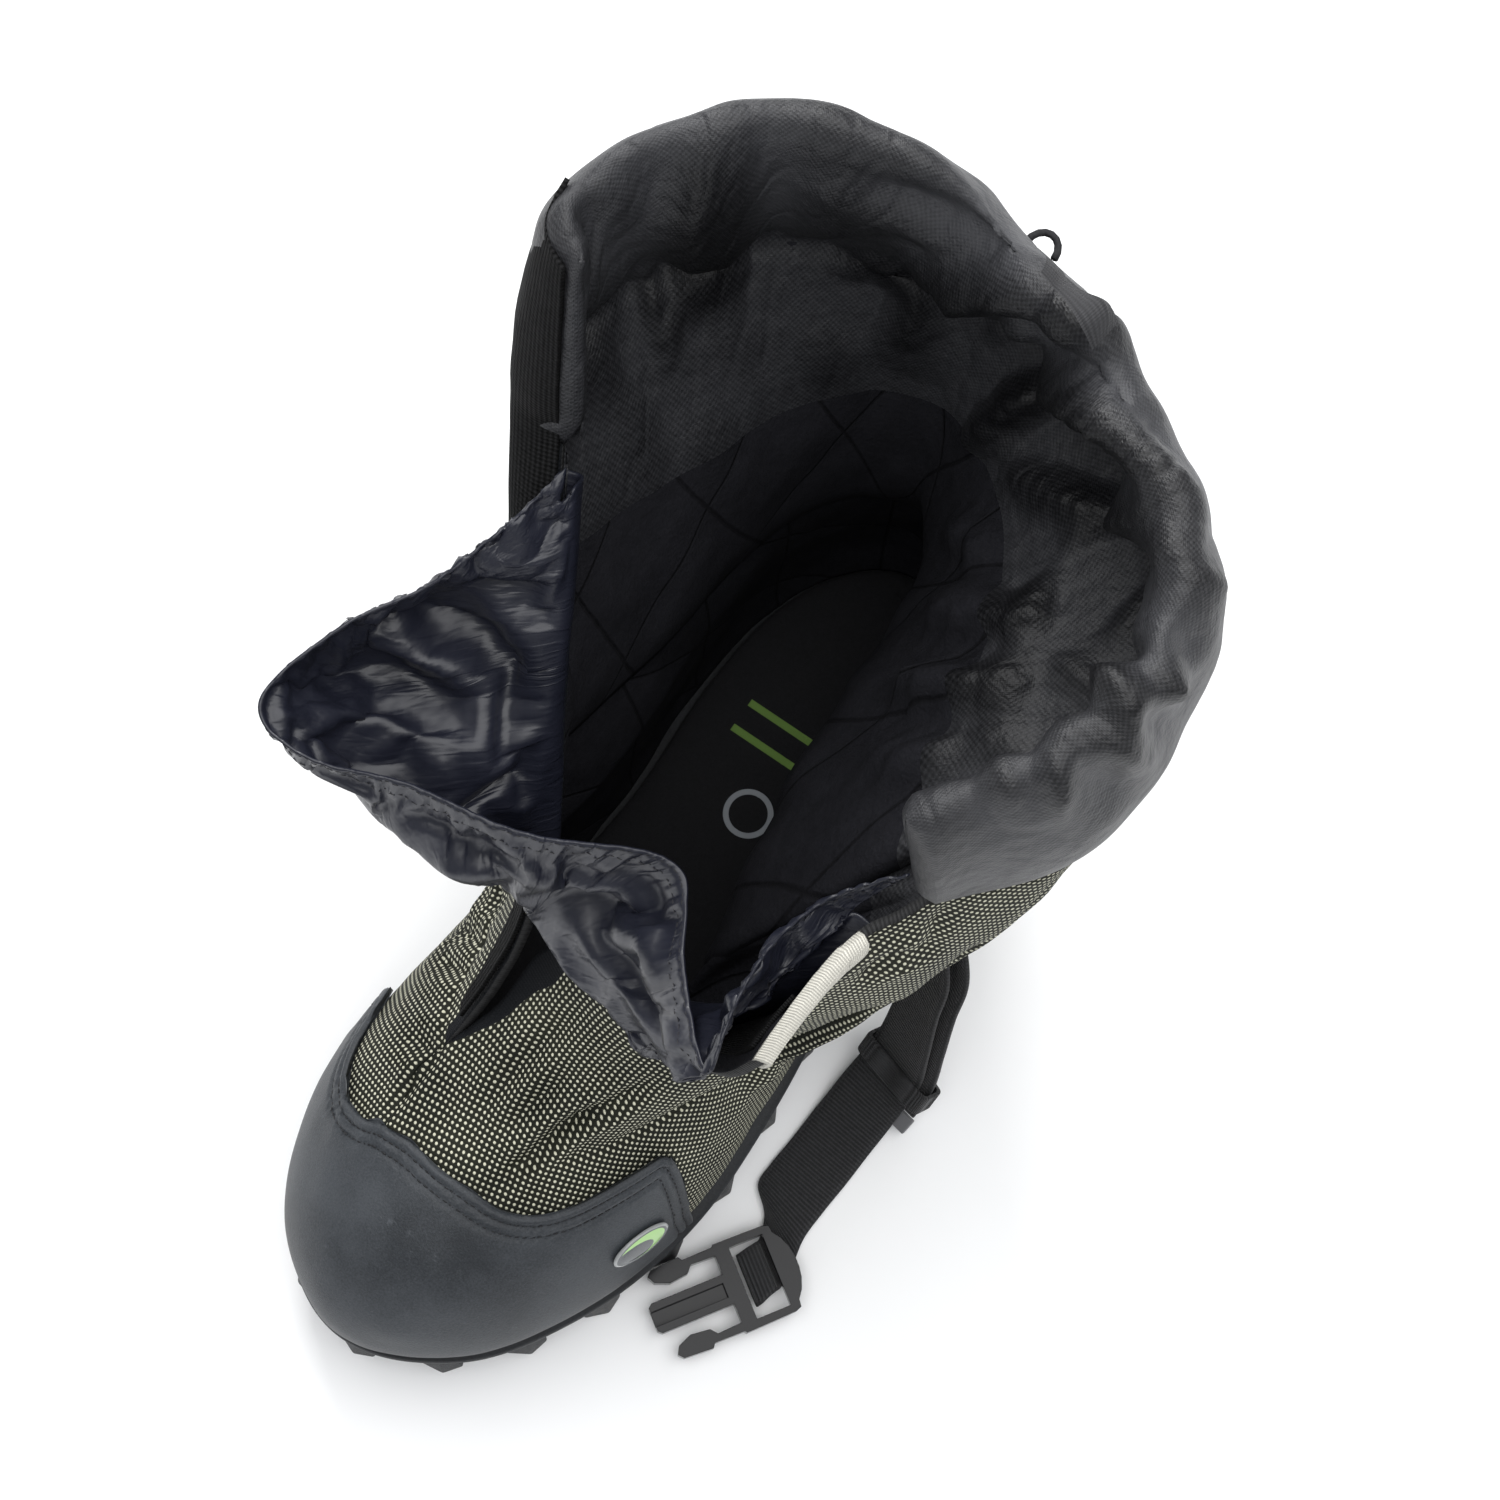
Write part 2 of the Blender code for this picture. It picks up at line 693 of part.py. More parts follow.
def closed_grid_normals():
    """Normals of the upper's grid, the same at both ends of a row below the slit."""
    normals = grid_normals(grid)
    for row in range(slit_row + 1):
        around = grid[row]
        across = (around[1] - around[-2])[None]
        up = (grid[min(row + 1, slit_row)][0] - grid[max(row - 1, 0)][0])[None]
        normals[row, 0] = normals[row, -1] = unit(np.cross(up, across))[0]
    for row in range(slit_row + 3, len(grid)):
        normals[row, -4:] = normals[row, -5]
    return normals


normals = closed_grid_normals()


def sheet_faces(rows, columns):
    faces = []
    for row in range(rows - 1):
        for column in range(columns - 1):
            a = row * columns + column
            faces.append((a, a + columns, a + columns + 1, a + 1))
    return faces


def slab(name, inner, outer, finish, collection):
    """A closed body between two grids of the same shape."""
    rows, columns = inner.shape[:2]
    count = rows * columns
    sheet = sheet_faces(rows, columns)
    faces = [face[::-1] for face in sheet] + [tuple(i + count for i in face) for face in sheet]
    edge = [c for c in range(columns)]
    edge += [r * columns + columns - 1 for r in range(1, rows)]
    edge += [(rows - 1) * columns + c for c in range(columns - 2, -1, -1)]
    edge += [r * columns for r in range(rows - 2, 0, -1)]
    for i, a in enumerate(edge):
        b = edge[(i + 1) % len(edge)]
        faces.append((a, b, b + count, a + count))
    points = np.concatenate([inner.reshape(-1, 3), outer.reshape(-1, 3)])
    made = new_object(name, points, faces, finish, collection)
    turn_outwards(made)
    return made


def upper(finish, collection):
    """The hollow upper: open underneath, at the top and along the slit."""
    rows, columns = grid.shape[:2]
    points = grid.reshape(-1, 3)
    made = new_object("upper", points, sheet_faces(rows, columns), finish, collection)
    work = bmesh.new()
    work.from_mesh(made.data)
    bmesh.ops.remove_doubles(work, verts=work.verts, dist=1e-5)
    work.to_mesh(made.data)
    work.free()
    wall = made.modifiers.new("wall", "SOLIDIFY")
    wall.thickness = WALL * MM
    wall.offset = -1
    made.data.shade_smooth()
    return made


def collar_sections():
    """Rings of the collar, each from its outer foot over the rim to its inner foot."""
    base = grid[last_row, : corner_column + 1]
    wall_out = normals[last_row, : corner_column + 1]
    rim = curve_through(RIM[1:], corner_column)
    section = table(COLLAR_SECTION)
    along = unit(np.gradient(base, axis=0))
    from_end = lengths(base)
    bulge = 1 - 0.75 * fade(from_end / COLLAR_END) - 0.5 * fade((from_end[-1] - from_end) / COLLAR_END)
    rings = []
    for b, r, n, t, swell in zip(base, rim, wall_out, along, bulge):
        up = r - b
        out = unit(np.cross(up, t))
        if out @ n < 0:
            out = -out
        ring = []
        for share, distance in zip(section["up"], section["out"]):
            turn = min(share * 4, 1)
            lean = unit((1 - turn) * n + turn * out)
            distance = distance * swell if distance > 0 else distance
            ring.append(b + up * share + unit(up) * COLLAR_LIFT + lean * distance)
        rings.append(ring)
    return np.array(rings)


collar_rings = collar_sections()
collar_rows = int(np.sum(np.diff(table(COLLAR_SECTION)["up"][:5]) > 0))
medial_grid = np.concatenate(
    [grid[:, : corner_column + 1], collar_rings[:, 1 : collar_rows + 1].transpose(1, 0, 2)]
)
medial_normals = np.concatenate(
    [normals[:, : corner_column + 1], grid_normals(medial_grid)[last_row + 1 :]]
)


def near_slit(row, distance, side):
    """Point, outward normal and direction past the edge, this far along a row from the slit.

    A distance below zero lies ahead of the edge, square to it and out over the slit. Medial rows
    go on up the collar.
    """
    if side == "medial":
        lines, leans = medial_grid, medial_normals
    else:
        lines, leans = grid[:, ::-1], normals[:, ::-1]
    low = int(np.clip(math.floor(row), 0, len(lines) - 2))
    part = row - low
    line = (1 - part) * lines[low] + part * lines[low + 1]
    lean = (1 - part) * leans[low] + part * leans[low + 1]
    along = lengths(line)
    ahead = unit(line[0] - line[1])
    rise = np.gradient(lines[:, 0], axis=0)
    up = unit((1 - part) * rise[low] + part * rise[low + 1])
    ahead = unit(ahead - (ahead @ up) * up)
    at = max(distance, 0.0)
    place = np.array([np.interp(at, along, line[:, i]) for i in range(3)])
    normal = unit(np.array([np.interp(at, along, lean[:, i]) for i in range(3)]))
    return place + ahead * max(-distance, 0.0), normal, ahead


def wall_point(y, z, side):
    """Point and outward normal of the upper's outer face at a height and place along it."""
    columns = np.arange(0, MEDIAL_COLUMNS + 1)
    if side == "lateral":
        columns = np.arange(last_column, MEDIAL_COLUMNS - 1, -1)
    places, leans = [], []
    for row in range(1, last_row):
        line, lean = grid[row, columns], normals[row, columns]
        places.append([np.interp(y, line[:, 1], line[:, i]) for i in range(3)])
        leans.append([np.interp(y, line[:, 1], lean[:, i]) for i in range(3)])
    places, leans = np.array(places), np.array(leans)
    point = np.array([np.interp(z, places[:, 2], places[:, i]) for i in range(3)])
    normal = np.array([np.interp(z, places[:, 2], leans[:, i]) for i in range(3)])
    return point, unit(normal)


def around_seam(row_values, column):
    """Values of a row at a column counted from the seam, lateral columns positive."""
    low = math.floor(column)
    part = column - low
    ends = [row_values[-1 - c] if c > 0 else row_values[-c] for c in (low, low + 1)]
    return (1 - part) * ends[0] + part * ends[1]


def cap_levels(top):
    """Rows of the grid at which the cap has its points: the grid's own, then the cap's edge."""
    whole = np.arange(1, math.floor(top - 0.2) + 1, dtype=float)
    levels = np.concatenate([[CAP_FOOT], whole, np.full(CAP_ROWS, top)])
    return levels[: CAP_ROWS + 1]


def cap_columns():
    """Columns of the cap's grid, close together at its two steep ends."""
    ends = table(CAP_EDGE)["column"]
    whole = np.arange(math.ceil(ends[0]), math.floor(ends[-1]) + 1)
    return np.unique(np.concatenate([ends[[0, 1, 2, -5, -4, -3, -2, -1]], whole]))


def cap_grid(offset):
    """The toe cap's face at a distance from the upper's own outer face."""
    edge = table(CAP_EDGE)
    columns = cap_columns()
    tops = np.interp(columns, edge["column"], edge["row"]) * FOOT_STEPS
    rows = np.arange(slit_row + 1)
    face = np.empty((CAP_ROWS + 1, len(columns), 3))
    for j, column in enumerate(columns):
        path = np.array([around_seam(grid[r], column) for r in rows])
        lean = np.array([around_seam(normals[r], column) for r in rows])
        levels = cap_levels(tops[j])
        place = np.column_stack([np.interp(levels, rows, path[:, i]) for i in range(3)])
        out = unit(np.column_stack([np.interp(levels, rows, lean[:, i]) for i in range(3)]))
        face[:, j] = place + out * offset
    return face


def toe_cap(finish, collection):
    """A rubber cap over the toe, drawn off the upper's own rows."""
    inner, outer = cap_grid(CAP_GAP), cap_grid(CAP_GAP + CAP_THICK)
    return slab("toe_cap", inner, outer, finish, collection)


def badge(finish, collection):
    """A domed oval on the cap's outer ear."""
    face = cap_grid(CAP_GAP + CAP_THICK + GAP)
    columns = cap_columns()
    centre_column = float(np.interp(BADGE_PLACE[0], columns, np.arange(len(columns))))
    centre_row = BADGE_PLACE[1]

    def on_cap(across, up):
        column, row = centre_column + across, centre_row + up
        c, r = int(column), int(row)
        a, b = column - c, row - r
        low = (1 - a) * face[r, c] + a * face[r, c + 1]
        high = (1 - a) * face[r + 1, c] + a * face[r + 1, c + 1]
        return (1 - b) * low + b * high

    step_across = on_cap(0.4, 0) - on_cap(-0.4, 0)
    step_up = on_cap(0, 0.4) - on_cap(0, -0.4)
    normal = unit(np.cross(step_across, step_up))
    if normal[0] < 0:
        normal = -normal
    centre = on_cap(0, 0)
    along = unit(step_across)
    over = np.cross(normal, along)
    rings = []
    for share, height in ((1.0, 0.0), (1.0, 0.5), (0.86, 0.85), (0.55, 1.0)):
        angle = np.linspace(0, 2 * math.pi, 20, endpoint=False)
        u = 0.5 * BADGE_SIZE[0] * share * np.cos(angle)
        v = 0.5 * BADGE_SIZE[1] * share * np.sin(angle)
        lift = BADGE_SIZE[2] * height + GAP * 0.5
        rings.append(centre + u[:, None] * along + v[:, None] * over + lift * normal)
    made = new_object("badge", *stack_of_rings(rings), finish, collection)
    turn_outwards(made)
    return made


def insole(finish, collection):
    """The footbed, cut inside the upper's wall and lying on the sole."""
    ring = sole_ring(30)
    ring = ring - INSOLE_INSET * ring_normals(ring)
    bottom = top_height(ring[:, 1]) + GAP
    rings = [np.column_stack([ring, bottom + up]) for up in (0, INSOLE_THICK)]
    made = new_object("insole", *stack_of_rings(rings), finish, collection)
    turn_outwards(made)
    return made


def sweep(name, sections, finish, collection):
    """A closed body through flat sections of one length, with a cap over each end."""
    sections = np.asarray(sections, float)
    steps, count = sections.shape[:2]
    faces = [tuple(range(count)), tuple(range((steps - 1) * count, steps * count))]
    for step in range(steps - 1):
        for i in range(count):
            j = (i + 1) % count
            low, high = step * count, (step + 1) * count
            faces.append((low + i, low + j, high + j, high + i))
    made = new_object(name, sections.reshape(-1, 3), faces, finish, collection)
    turn_outwards(made)
    return made


def collar(finish, collection):
    """The padded collar: a bolster that stands on the shaft's top edge, open at the front."""
    return sweep("collar", collar_rings, finish, collection)


def gusset_seam(sewn):
    """The gusset's way out from its seam: along the wall inside, then round the slit's edge."""
    height = abs(sewn)
    share = height / (last_row - slit_row)
    if sewn < 0:
        side = "medial"
        behind = GUSSET_SEAM_MEDIAL
        past, clear, over = GUSSET_BEND_MEDIAL
    else:
        side = "lateral"
        low, high = GUSSET_SEAM_LATERAL
        behind = low + share * (high - low)
        bend = table(GUSSET_BEND_LATERAL)
        past = min(float(np.interp(height, bend["height"], bend["past"])), behind - 6)
        clear = GUSSET_CLEAR_LATERAL
        over = float(np.interp(height, bend["height"], bend["over"]))
    row = slit_row + height
    way = ((behind, -WALL - 1.2), ((behind + past) / 2, -WALL - clear))
    way += ((past, -WALL - clear), (past - 1.0, over))
    points = []
    for distance, depth in way:
        point, normal, _ = near_slit(row, distance, side)
        points.append(point + normal * depth)
    return np.array(points)


def gusset_grid():
    """Rows of the gusset from its seam inside the upper, past the slit's edge, to its hem."""
    rows = table(GUSSET)
    key_hem = np.column_stack([rows[f"hem_{axis}"] for axis in "xyz"])
    key_belly = np.column_stack([rows[f"belly_{axis}"] for axis in "xyz"])
    along = lengths(key_hem)
    at = np.linspace(0, along[-1], GUSSET_COLUMNS)
    hem, belly = spline(along, key_hem, at), spline(along, key_belly, at)
    turn = int(np.argmax(rows["sewn"] > 0))
    last_medial, first_lateral = along[turn - 1], along[turn]
    ways = []
    for place, sewn in zip(at, spline(along, rows["sewn"], at)):
        if last_medial < place < first_lateral:
            share = (place - last_medial) / (first_lateral - last_medial)
            ends = [gusset_seam(rows["sewn"][i]) for i in (turn - 1, turn)]
            ways.append((1 - share) * ends[0] + share * ends[1])
        else:
            ways.append(gusset_seam(sewn))
    lines = list(np.array(ways).transpose(1, 0, 2))
    edge = lines[-1]
    control = 2 * belly - (edge + hem) / 2
    for step in range(1, GUSSET_RISE_ROWS + 1):
        t = step / GUSSET_RISE_ROWS
        lines.append((1 - t) ** 2 * edge + 2 * t * (1 - t) * control + t * t * hem)
    return np.array(lines)


def gusset(finish, collection):
    cloth = gusset_grid()
    lean = grid_normals(cloth)
    return slab("gusset", cloth, cloth + lean * GUSSET_THICK, finish, collection)


def tape(name, side, rows, reach, depth, finish, collection):
    """A flat strip laid on a face of the upper beside the slit."""
    low = np.empty((*np.shape(reach), 3))
    high = np.empty_like(low)
    for i, row in enumerate(rows):
        for j, distance in enumerate(reach[i]):
            point, normal, _ = near_slit(row, distance, side)
            low[i, j] = point + normal * depth[0]
            high[i, j] = point + normal * depth[1]
    return slab(name, low, high, finish, collection)


def tape_reach(lines, rows, start, width):
    """Distances from the slit's edge across a tape, at the columns of the upper where they fit."""
    reach = []
    for row, wide in zip(rows, width):
        pitch = lengths(lines[min(round(row), len(lines) - 1)])[1:3]
        inner = np.minimum(pitch, (start + 0.4 * (wide - start), start + 0.75 * (wide - start)))
        reach.append([start, *inner, wide])
    return np.array(reach)


def hook_strip(finish, collection):
    """Hook tape outside the medial edge, from the slit's foot up over the collar's end."""
    rows = np.concatenate([[slit_row + 0.4], np.arange(slit_row + 1, len(medial_grid))])
    width = np.interp(rows - slit_row, (0, 1, 2, 4, 5), (3, 8, 9, 20, TAPE_WIDTH))
    reach = tape_reach(medial_grid, rows, 0.6, width)
    depth = (TAPE_GAP, TAPE_GAP + TAPE_THICK)
    return tape("hook_strip", "medial", rows, reach, depth, finish, collection)


def loop_strip(finish, collection):
    """Loop tape inside the flap's free edge."""
    rows = np.concatenate([np.arange(slit_row + 5, last_row), [last_row - 0.3]])
    reach = tape_reach(grid[:, ::-1], rows, 4.0, np.full(len(rows), TAPE_WIDTH))
    depth = (-WALL - TAPE_GAP - TAPE_THICK - 0.3, -WALL - TAPE_GAP - 0.3)
    return tape("loop_strip", "lateral", rows, reach, depth, finish, collection)


def pull_tab(finish, collection):
    """Pale edge tape over the flap's top edge, from its free corner."""
    sections = []
    for distance in np.linspace(0.5, TAB_LENGTH, 9):
        point = near_slit(last_row, distance, "lateral")[0]
        onward = near_slit(last_row, distance + 1, "lateral")[0] - point
        up = unit(point - near_slit(last_row - 1, distance, "lateral")[0])
        out = unit(np.cross(onward, up))
        depth = TAB_WIDTH * (0.62 if distance < 1 else 1.0)
        profile = (
            (-WALL, GAP),
            (-WALL, GAP + TAPE_THICK),
            (GAP + TAPE_THICK, GAP + TAPE_THICK),
            (GAP + TAPE_THICK, -depth),
            (GAP + 0.2, -depth),
            (GAP + 0.2, GAP),
        )
        sections.append([point + out * a + up * b for a, b in profile])
    return sweep("pull_tab", sections, finish, collection)


def ribbon(name, path, wide, finish, collection):
    """Webbing along a path, with half its width given at each point."""
    along = unit(np.gradient(path, axis=0))
    front = unit(np.cross(wide, along)) * WEBBING_THICK / 2
    corners = ((-1, -1), (1, -1), (1, 1), (-1, 1))
    sections = np.stack([path + a * wide + b * front for a, b in corners], axis=1)
    return sweep(name, sections, finish, collection)


def smooth_path(points, wide, step):
    """A path and its widths, drawn smooth with points a step apart."""
    knots = lengths(points)
    at = np.linspace(0, knots[-1], max(2, round(knots[-1] / step)))
    return spline(knots, points, at), spline(knots, wide, at)


def buckle_place(u, v, w):
    """A place on the plug buckle: along it, across it and up."""
    along = np.array([*BUCKLE_ALONG, 0.0])
    across = np.array([-BUCKLE_ALONG[1], BUCKLE_ALONG[0], 0.0])
    start = np.array([*BUCKLE_FRONT, 0.0])
    u, v, w = (np.asarray(a, float)[..., None] for a in (u, v, w))
    return start + u * along + v * across + w * np.array([0.0, 0.0, 1.0])


def seam_run(places, side):
    """The start of a strap along the wall, and half its width there."""
    points, wide = [], []
    for y, z in places:
        point, normal = wall_point(y, z, side)
        points.append(point + normal * (WEBBING_THICK / 2 + 1.2))
        wide.append(unit(np.cross(normal, (0.0, 1.0, 0.0))) * -WEBBING_WIDTH / 2)
    return points, wide


def strap_way():
    """The instep strap's whole path, from its seam on the quarter into the buckle."""
    points, wide = seam_run(STRAP_SEAMS, "lateral")
    rows = np.array(STRAP_PATH[1:], float)
    end = table(STRAP_END)
    middle = buckle_place(end["along"], end["across"], end["height"])
    side = buckle_place(end["along"], end["across"] + end["half"], end["height"]) - middle
    points = np.concatenate([points, rows[:, :3], middle])
    wide = np.concatenate([wide, unit(rows[:, 3:]) * WEBBING_WIDTH / 2, side])
    return points, wide


def instep_strap(finish, collection):
    return ribbon("instep_strap", *smooth_path(*strap_way(), 4.0), finish, collection)


def strap_frame(points, wide):
    """Directions along a strap, across it and out of the face that ends up on top."""
    along = unit(np.gradient(points, axis=0))
    across = unit(wide)
    return along, across, unit(np.cross(along, across))


def tail_offset(height):
    """How far the spare end lies to the side of the strap and behind it."""
    aside = np.interp(height, TAIL_HEIGHTS, TAIL_ASIDE)
    return aside, np.interp(height, TAIL_HEIGHTS, TAIL_BENEATH)


def strap_tail(finish, tip_finish, collection):
    """The strap's spare end behind its upper run, and the clip on the tip."""
    points, wide = smooth_path(*strap_way(), 2.0)
    along, across, face = strap_frame(points, wide)
    aside, beneath = tail_offset(points[:, 2:])
    tail = points + across * aside - face * beneath
    first = int(np.argmax(points[:, 1] < TAIL_SPAN[0]))
    last = int(np.argmax(points[:, 1] < TAIL_SPAN[1]))
    run = slice(first, last, 2)
    ribbon("strap_tail", tail[run], wide[run], finish, collection)
    end = tail[run][-1]
    way, side = unit(tail[run][-1] - tail[run][-2]), across[run][-1]
    thick = unit(np.cross(side, way)) * TIP_SIZE[2] / 2
    side = side * TIP_SIZE[1] / 2
    corners = ((-1, -1), (1, -1), (1, 1), (-1, 1))
    sections = []
    for distance in (0.8, 0.8 + TIP_SIZE[0]):
        centre = end + way * distance
        sections.append([centre + a * side + b * thick for a, b in corners])
    sweep("strap_tip", sections, tip_finish, collection)


def strap_keeper(finish, collection):
    """A loop of webbing round the strap and its spare end."""
    points, wide = smooth_path(*strap_way(), 2.0)
    along, across, face = strap_frame(points, wide)
    i = int(np.argmax(points[:, 1] < KEEPER_Y))
    aside, beneath = tail_offset(points[i, 2])
    half, thick = WEBBING_WIDTH / 2 + 0.6, WEBBING_THICK / 2 + KEEPER_SLACK
    low, high = (-half, -thick - beneath), (half + aside, thick)
    made_points, made_faces = [], []
    for end in (-KEEPER_LENGTH / 2, KEEPER_LENGTH / 2):
        for grow in (0.0, KEEPER_THICK):
            left, right = low[0] - grow, high[0] + grow
            under, over = low[1] - grow, high[1] + grow
            for a, b in ((left, under), (right, under), (right, over), (left, over)):
                made_points.append(points[i] + along[i] * end + across[i] * a + face[i] * b)
    for k in range(4):
        m = (k + 1) % 4
        made_faces.append((k, m, 4 + m, 4 + k))
        made_faces.append((8 + k, 12 + k, 12 + m, 8 + m))
        made_faces.append((k, 8 + k, 8 + m, m))
        made_faces.append((4 + k, 4 + m, 12 + m, 12 + k))
    made = new_object("strap_keeper", made_points, made_faces, finish, collection)
    turn_outwards(made)
    return made


BLOCK_FACES = ((0, 1, 3, 2), (4, 6, 7, 5), (0, 4, 5, 1), (2, 3, 7, 6), (0, 2, 6, 4), (1, 5, 7, 3))


def cut_block(name, place, spans, cutters):
    """Square-cornered cutters in a buckle's own directions, each a span in each of them."""
    points, faces = [], []
    for low, high in spans:
        start = len(points)
        points += [place(*corner) for corner in itertools.product(*zip(low, high))]
        for face in BLOCK_FACES:
            faces.append(tuple(start + i for i in face))
    made = new_object(name, points, faces, None, cutters)
    turn_outwards(made)
    return made


def cut_buckle(name, outline, place, heights, spans, finish, collection, cutters):
    """A moulded buckle: a flat outline given height, less its openings."""
    half = [(u, v) for u, v in outline[1:]]
    loop = half + [(u, -v) for u, v in reversed(half)]
    sections = [[place(u, v, height) for u, v in loop] for height in heights]
    body = sweep(name, sections, finish, collection)
    for number, group in enumerate(spans):
        cutter = cut_block(f"{name}_cut_{number}", place, group, cutters)
        cut = body.modifiers.new(f"cut_{number}", "BOOLEAN")
        cut.operation = "DIFFERENCE"
        cut.object = cutter
    return body


def male_buckle(finish, collection, cutters):
    """Plug half of the side-release buckle, with its adjuster bars and rounded tab."""
    window = ((-14.0, -13.1, -1.0), (-1.4, 13.1, 12.0))
    under_bar = ((-30.0, -20.0, -1.0), (-13.2, 20.0, 3.5))
    under_tab = ((-30.0, -20.0, -1.0), (-16.9, 20.0, 5.2))
    groove = ((5.0, -2.6, 4.2), (40.0, 2.6, 12.0))
    openings = [[window], [under_bar], [under_tab], [groove]]
    return cut_buckle(
        "male_buckle", BUCKLE_OUTLINE, buckle_place, (1.6, 8.2), openings, finish, collection, cutters
    )


def socket_place(u, v, w):
    """A place on the socket buckle, which hangs against the inner quarter."""
    point, normal = wall_point(*SOCKET_PLACE, "medial")
    ahead = wall_point(SOCKET_PLACE[0] - 10, SOCKET_PLACE[1] - 2, "medial")[0] - point
    along = unit(ahead - (ahead @ normal) * normal)
    across = np.cross(normal, along)
    u, v, w = (np.asarray(a, float)[..., None] for a in (u, v, w))
    return point + u * along + v * across + (w + SOCKET_LIFT) * normal


def female_buckle(finish, collection, cutters):
    """Socket half of the buckle: a hollow mouth in front and a bar for its strap behind."""
    mouth = ((-6.0, -13.0, 2.2), (20.0, 13.0, 6.8))
    window = ((-13.5, -13.2, -2.0), (-8.0, 13.2, 12.0))
    sides = [((-3.0, -20.0, 2.2), (7.0, -11.0, 6.8)), ((-3.0, 11.0, 2.2), (7.0, 20.0, 6.8))]
    openings = [[mouth], [window], *[[side] for side in sides]]
    return cut_buckle(
        "female_buckle", SOCKET_OUTLINE, socket_place, (0.0, 9.0), openings, finish, collection, cutters
    )


def medial_strap(finish, collection):
    """Short strap from the inner quarter through the socket's window."""
    points, wide = seam_run(SOCKET_SEAMS, "medial")
    places = ((-21.0, -2.4), (-15.0, -2.2), (-11.8, -0.7), (-10.6, 1.6))
    side = socket_place(0, WEBBING_WIDTH / 2, 0) - socket_place(0, 0, 0)
    side = side if side @ wide[0] > 0 else -side
    points = np.array(points + [socket_place(u, 0, w) for u, w in places])
    wide = np.array(wide + [side] * len(places))
    return ribbon("medial_strap", *smooth_path(points, wide, 4.0), finish, collection)


def cord_loop(finish, collection):
    """Small loop of cord behind the collar."""
    angle = np.linspace(0, math.pi, 9)
    centre = np.array(LOOP_PLACE)
    path = centre + LOOP_RADIUS * np.column_stack([np.cos(angle), np.sin(angle) * 1.3, 0 * angle])
    along = unit(np.gradient(path, axis=0))
    side = np.cross(along, (0.0, 0.0, 1.0))
    sections = []
    for point, a in zip(path, side):
        turn = np.linspace(0, 2 * math.pi, 8, endpoint=False)[:, None]
        sections.append(point + LOOP_CORD * (np.cos(turn) * a + np.sin(turn) * np.array([0, 0, 1.0])))
    return sweep("cord_loop", sections, finish, collection)


def main():
    for old in list(bpy.data.objects):
        bpy.data.objects.remove(old, do_unlink=True)
    parts = bpy.data.collections.new("overshoe")
    cutters = bpy.data.collections.new("cutters")
    bpy.context.scene.collection.children.link(parts)
    bpy.context.scene.collection.children.link(cutters)
    rubber = material("sole_rubber", (0.035, 0.037, 0.04), 0.7)
    cap_rubber = material("cap_rubber", (0.055, 0.06, 0.066), 0.55)
    fabric = material("shell_fabric", (0.11, 0.115, 0.085), 0.85)
    nylon = material("collar_nylon", (0.02, 0.02, 0.022), 0.7)
    coated = material("coated_nylon", (0.03, 0.032, 0.05), 0.4)
    footbed = material("footbed_felt", (0.03, 0.032, 0.04), 0.9)
    pile = material("hook_and_loop", (0.012, 0.012, 0.013), 0.95)
    pale = material("pale_tape", (0.75, 0.7, 0.58), 0.6)
    gloss = material("badge_plastic", (0.03, 0.04, 0.05), 0.2)
    webbing = material("webbing", (0.015, 0.015, 0.016), 0.75)
    acetal = material("buckle_plastic", (0.025, 0.025, 0.027), 0.4)
    clip = material("tip_plastic", (0.35, 0.36, 0.37), 0.4)
    cord = material("cord", (0.05, 0.05, 0.055), 0.7)
    outsole(rubber, parts, cutters)
    upper(fabric, parts)
    toe_cap(cap_rubber, parts)
    badge(gloss, parts)
    insole(footbed, parts)
    collar(nylon, parts)
    gusset(coated, parts)
    hook_strip(pile, parts)
    loop_strip(pile, parts)
    pull_tab(pale, parts)
    instep_strap(webbing, parts)
    strap_tail(webbing, clip, parts)
    strap_keeper(webbing, parts)
    male_buckle(acetal, parts, cutters)
    medial_strap(webbing, parts)
    female_buckle(acetal, parts, cutters)
    cord_loop(cord, parts)
    for helper in cutters.objects:
        helper.hide_render = True
        helper.display_type = "WIRE"


main()
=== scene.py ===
"""The dressed overshoe: its fabrics, rubber, webbing, stitching and folds, with its stage.

Sizes and tables are in millimetres, in the part's own frame: the toe points along -Y, the
outer (lateral) side is +X and the floor is Z = 0. make_mesh turns them into metres.
"""

import itertools
import math

import bmesh
import bpy
import numpy as np
from mathutils import Matrix, Vector, noise


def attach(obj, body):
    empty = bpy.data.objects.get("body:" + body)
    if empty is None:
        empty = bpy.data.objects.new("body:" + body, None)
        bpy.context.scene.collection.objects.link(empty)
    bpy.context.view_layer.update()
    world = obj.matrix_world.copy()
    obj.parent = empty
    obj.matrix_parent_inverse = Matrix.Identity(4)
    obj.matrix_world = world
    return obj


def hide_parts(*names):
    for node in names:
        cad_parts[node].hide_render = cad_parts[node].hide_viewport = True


bl_info = {
    "name": "Winter overshoe",
    "version": (1, 0, 0),
    "blender": (4, 5, 0),
    "location": "3D View > Sidebar > Overshoe",
    "description": "Dresses an open insulated overshoe in its fabrics, rubber, webbing and seams",
    "category": "Mesh",
}

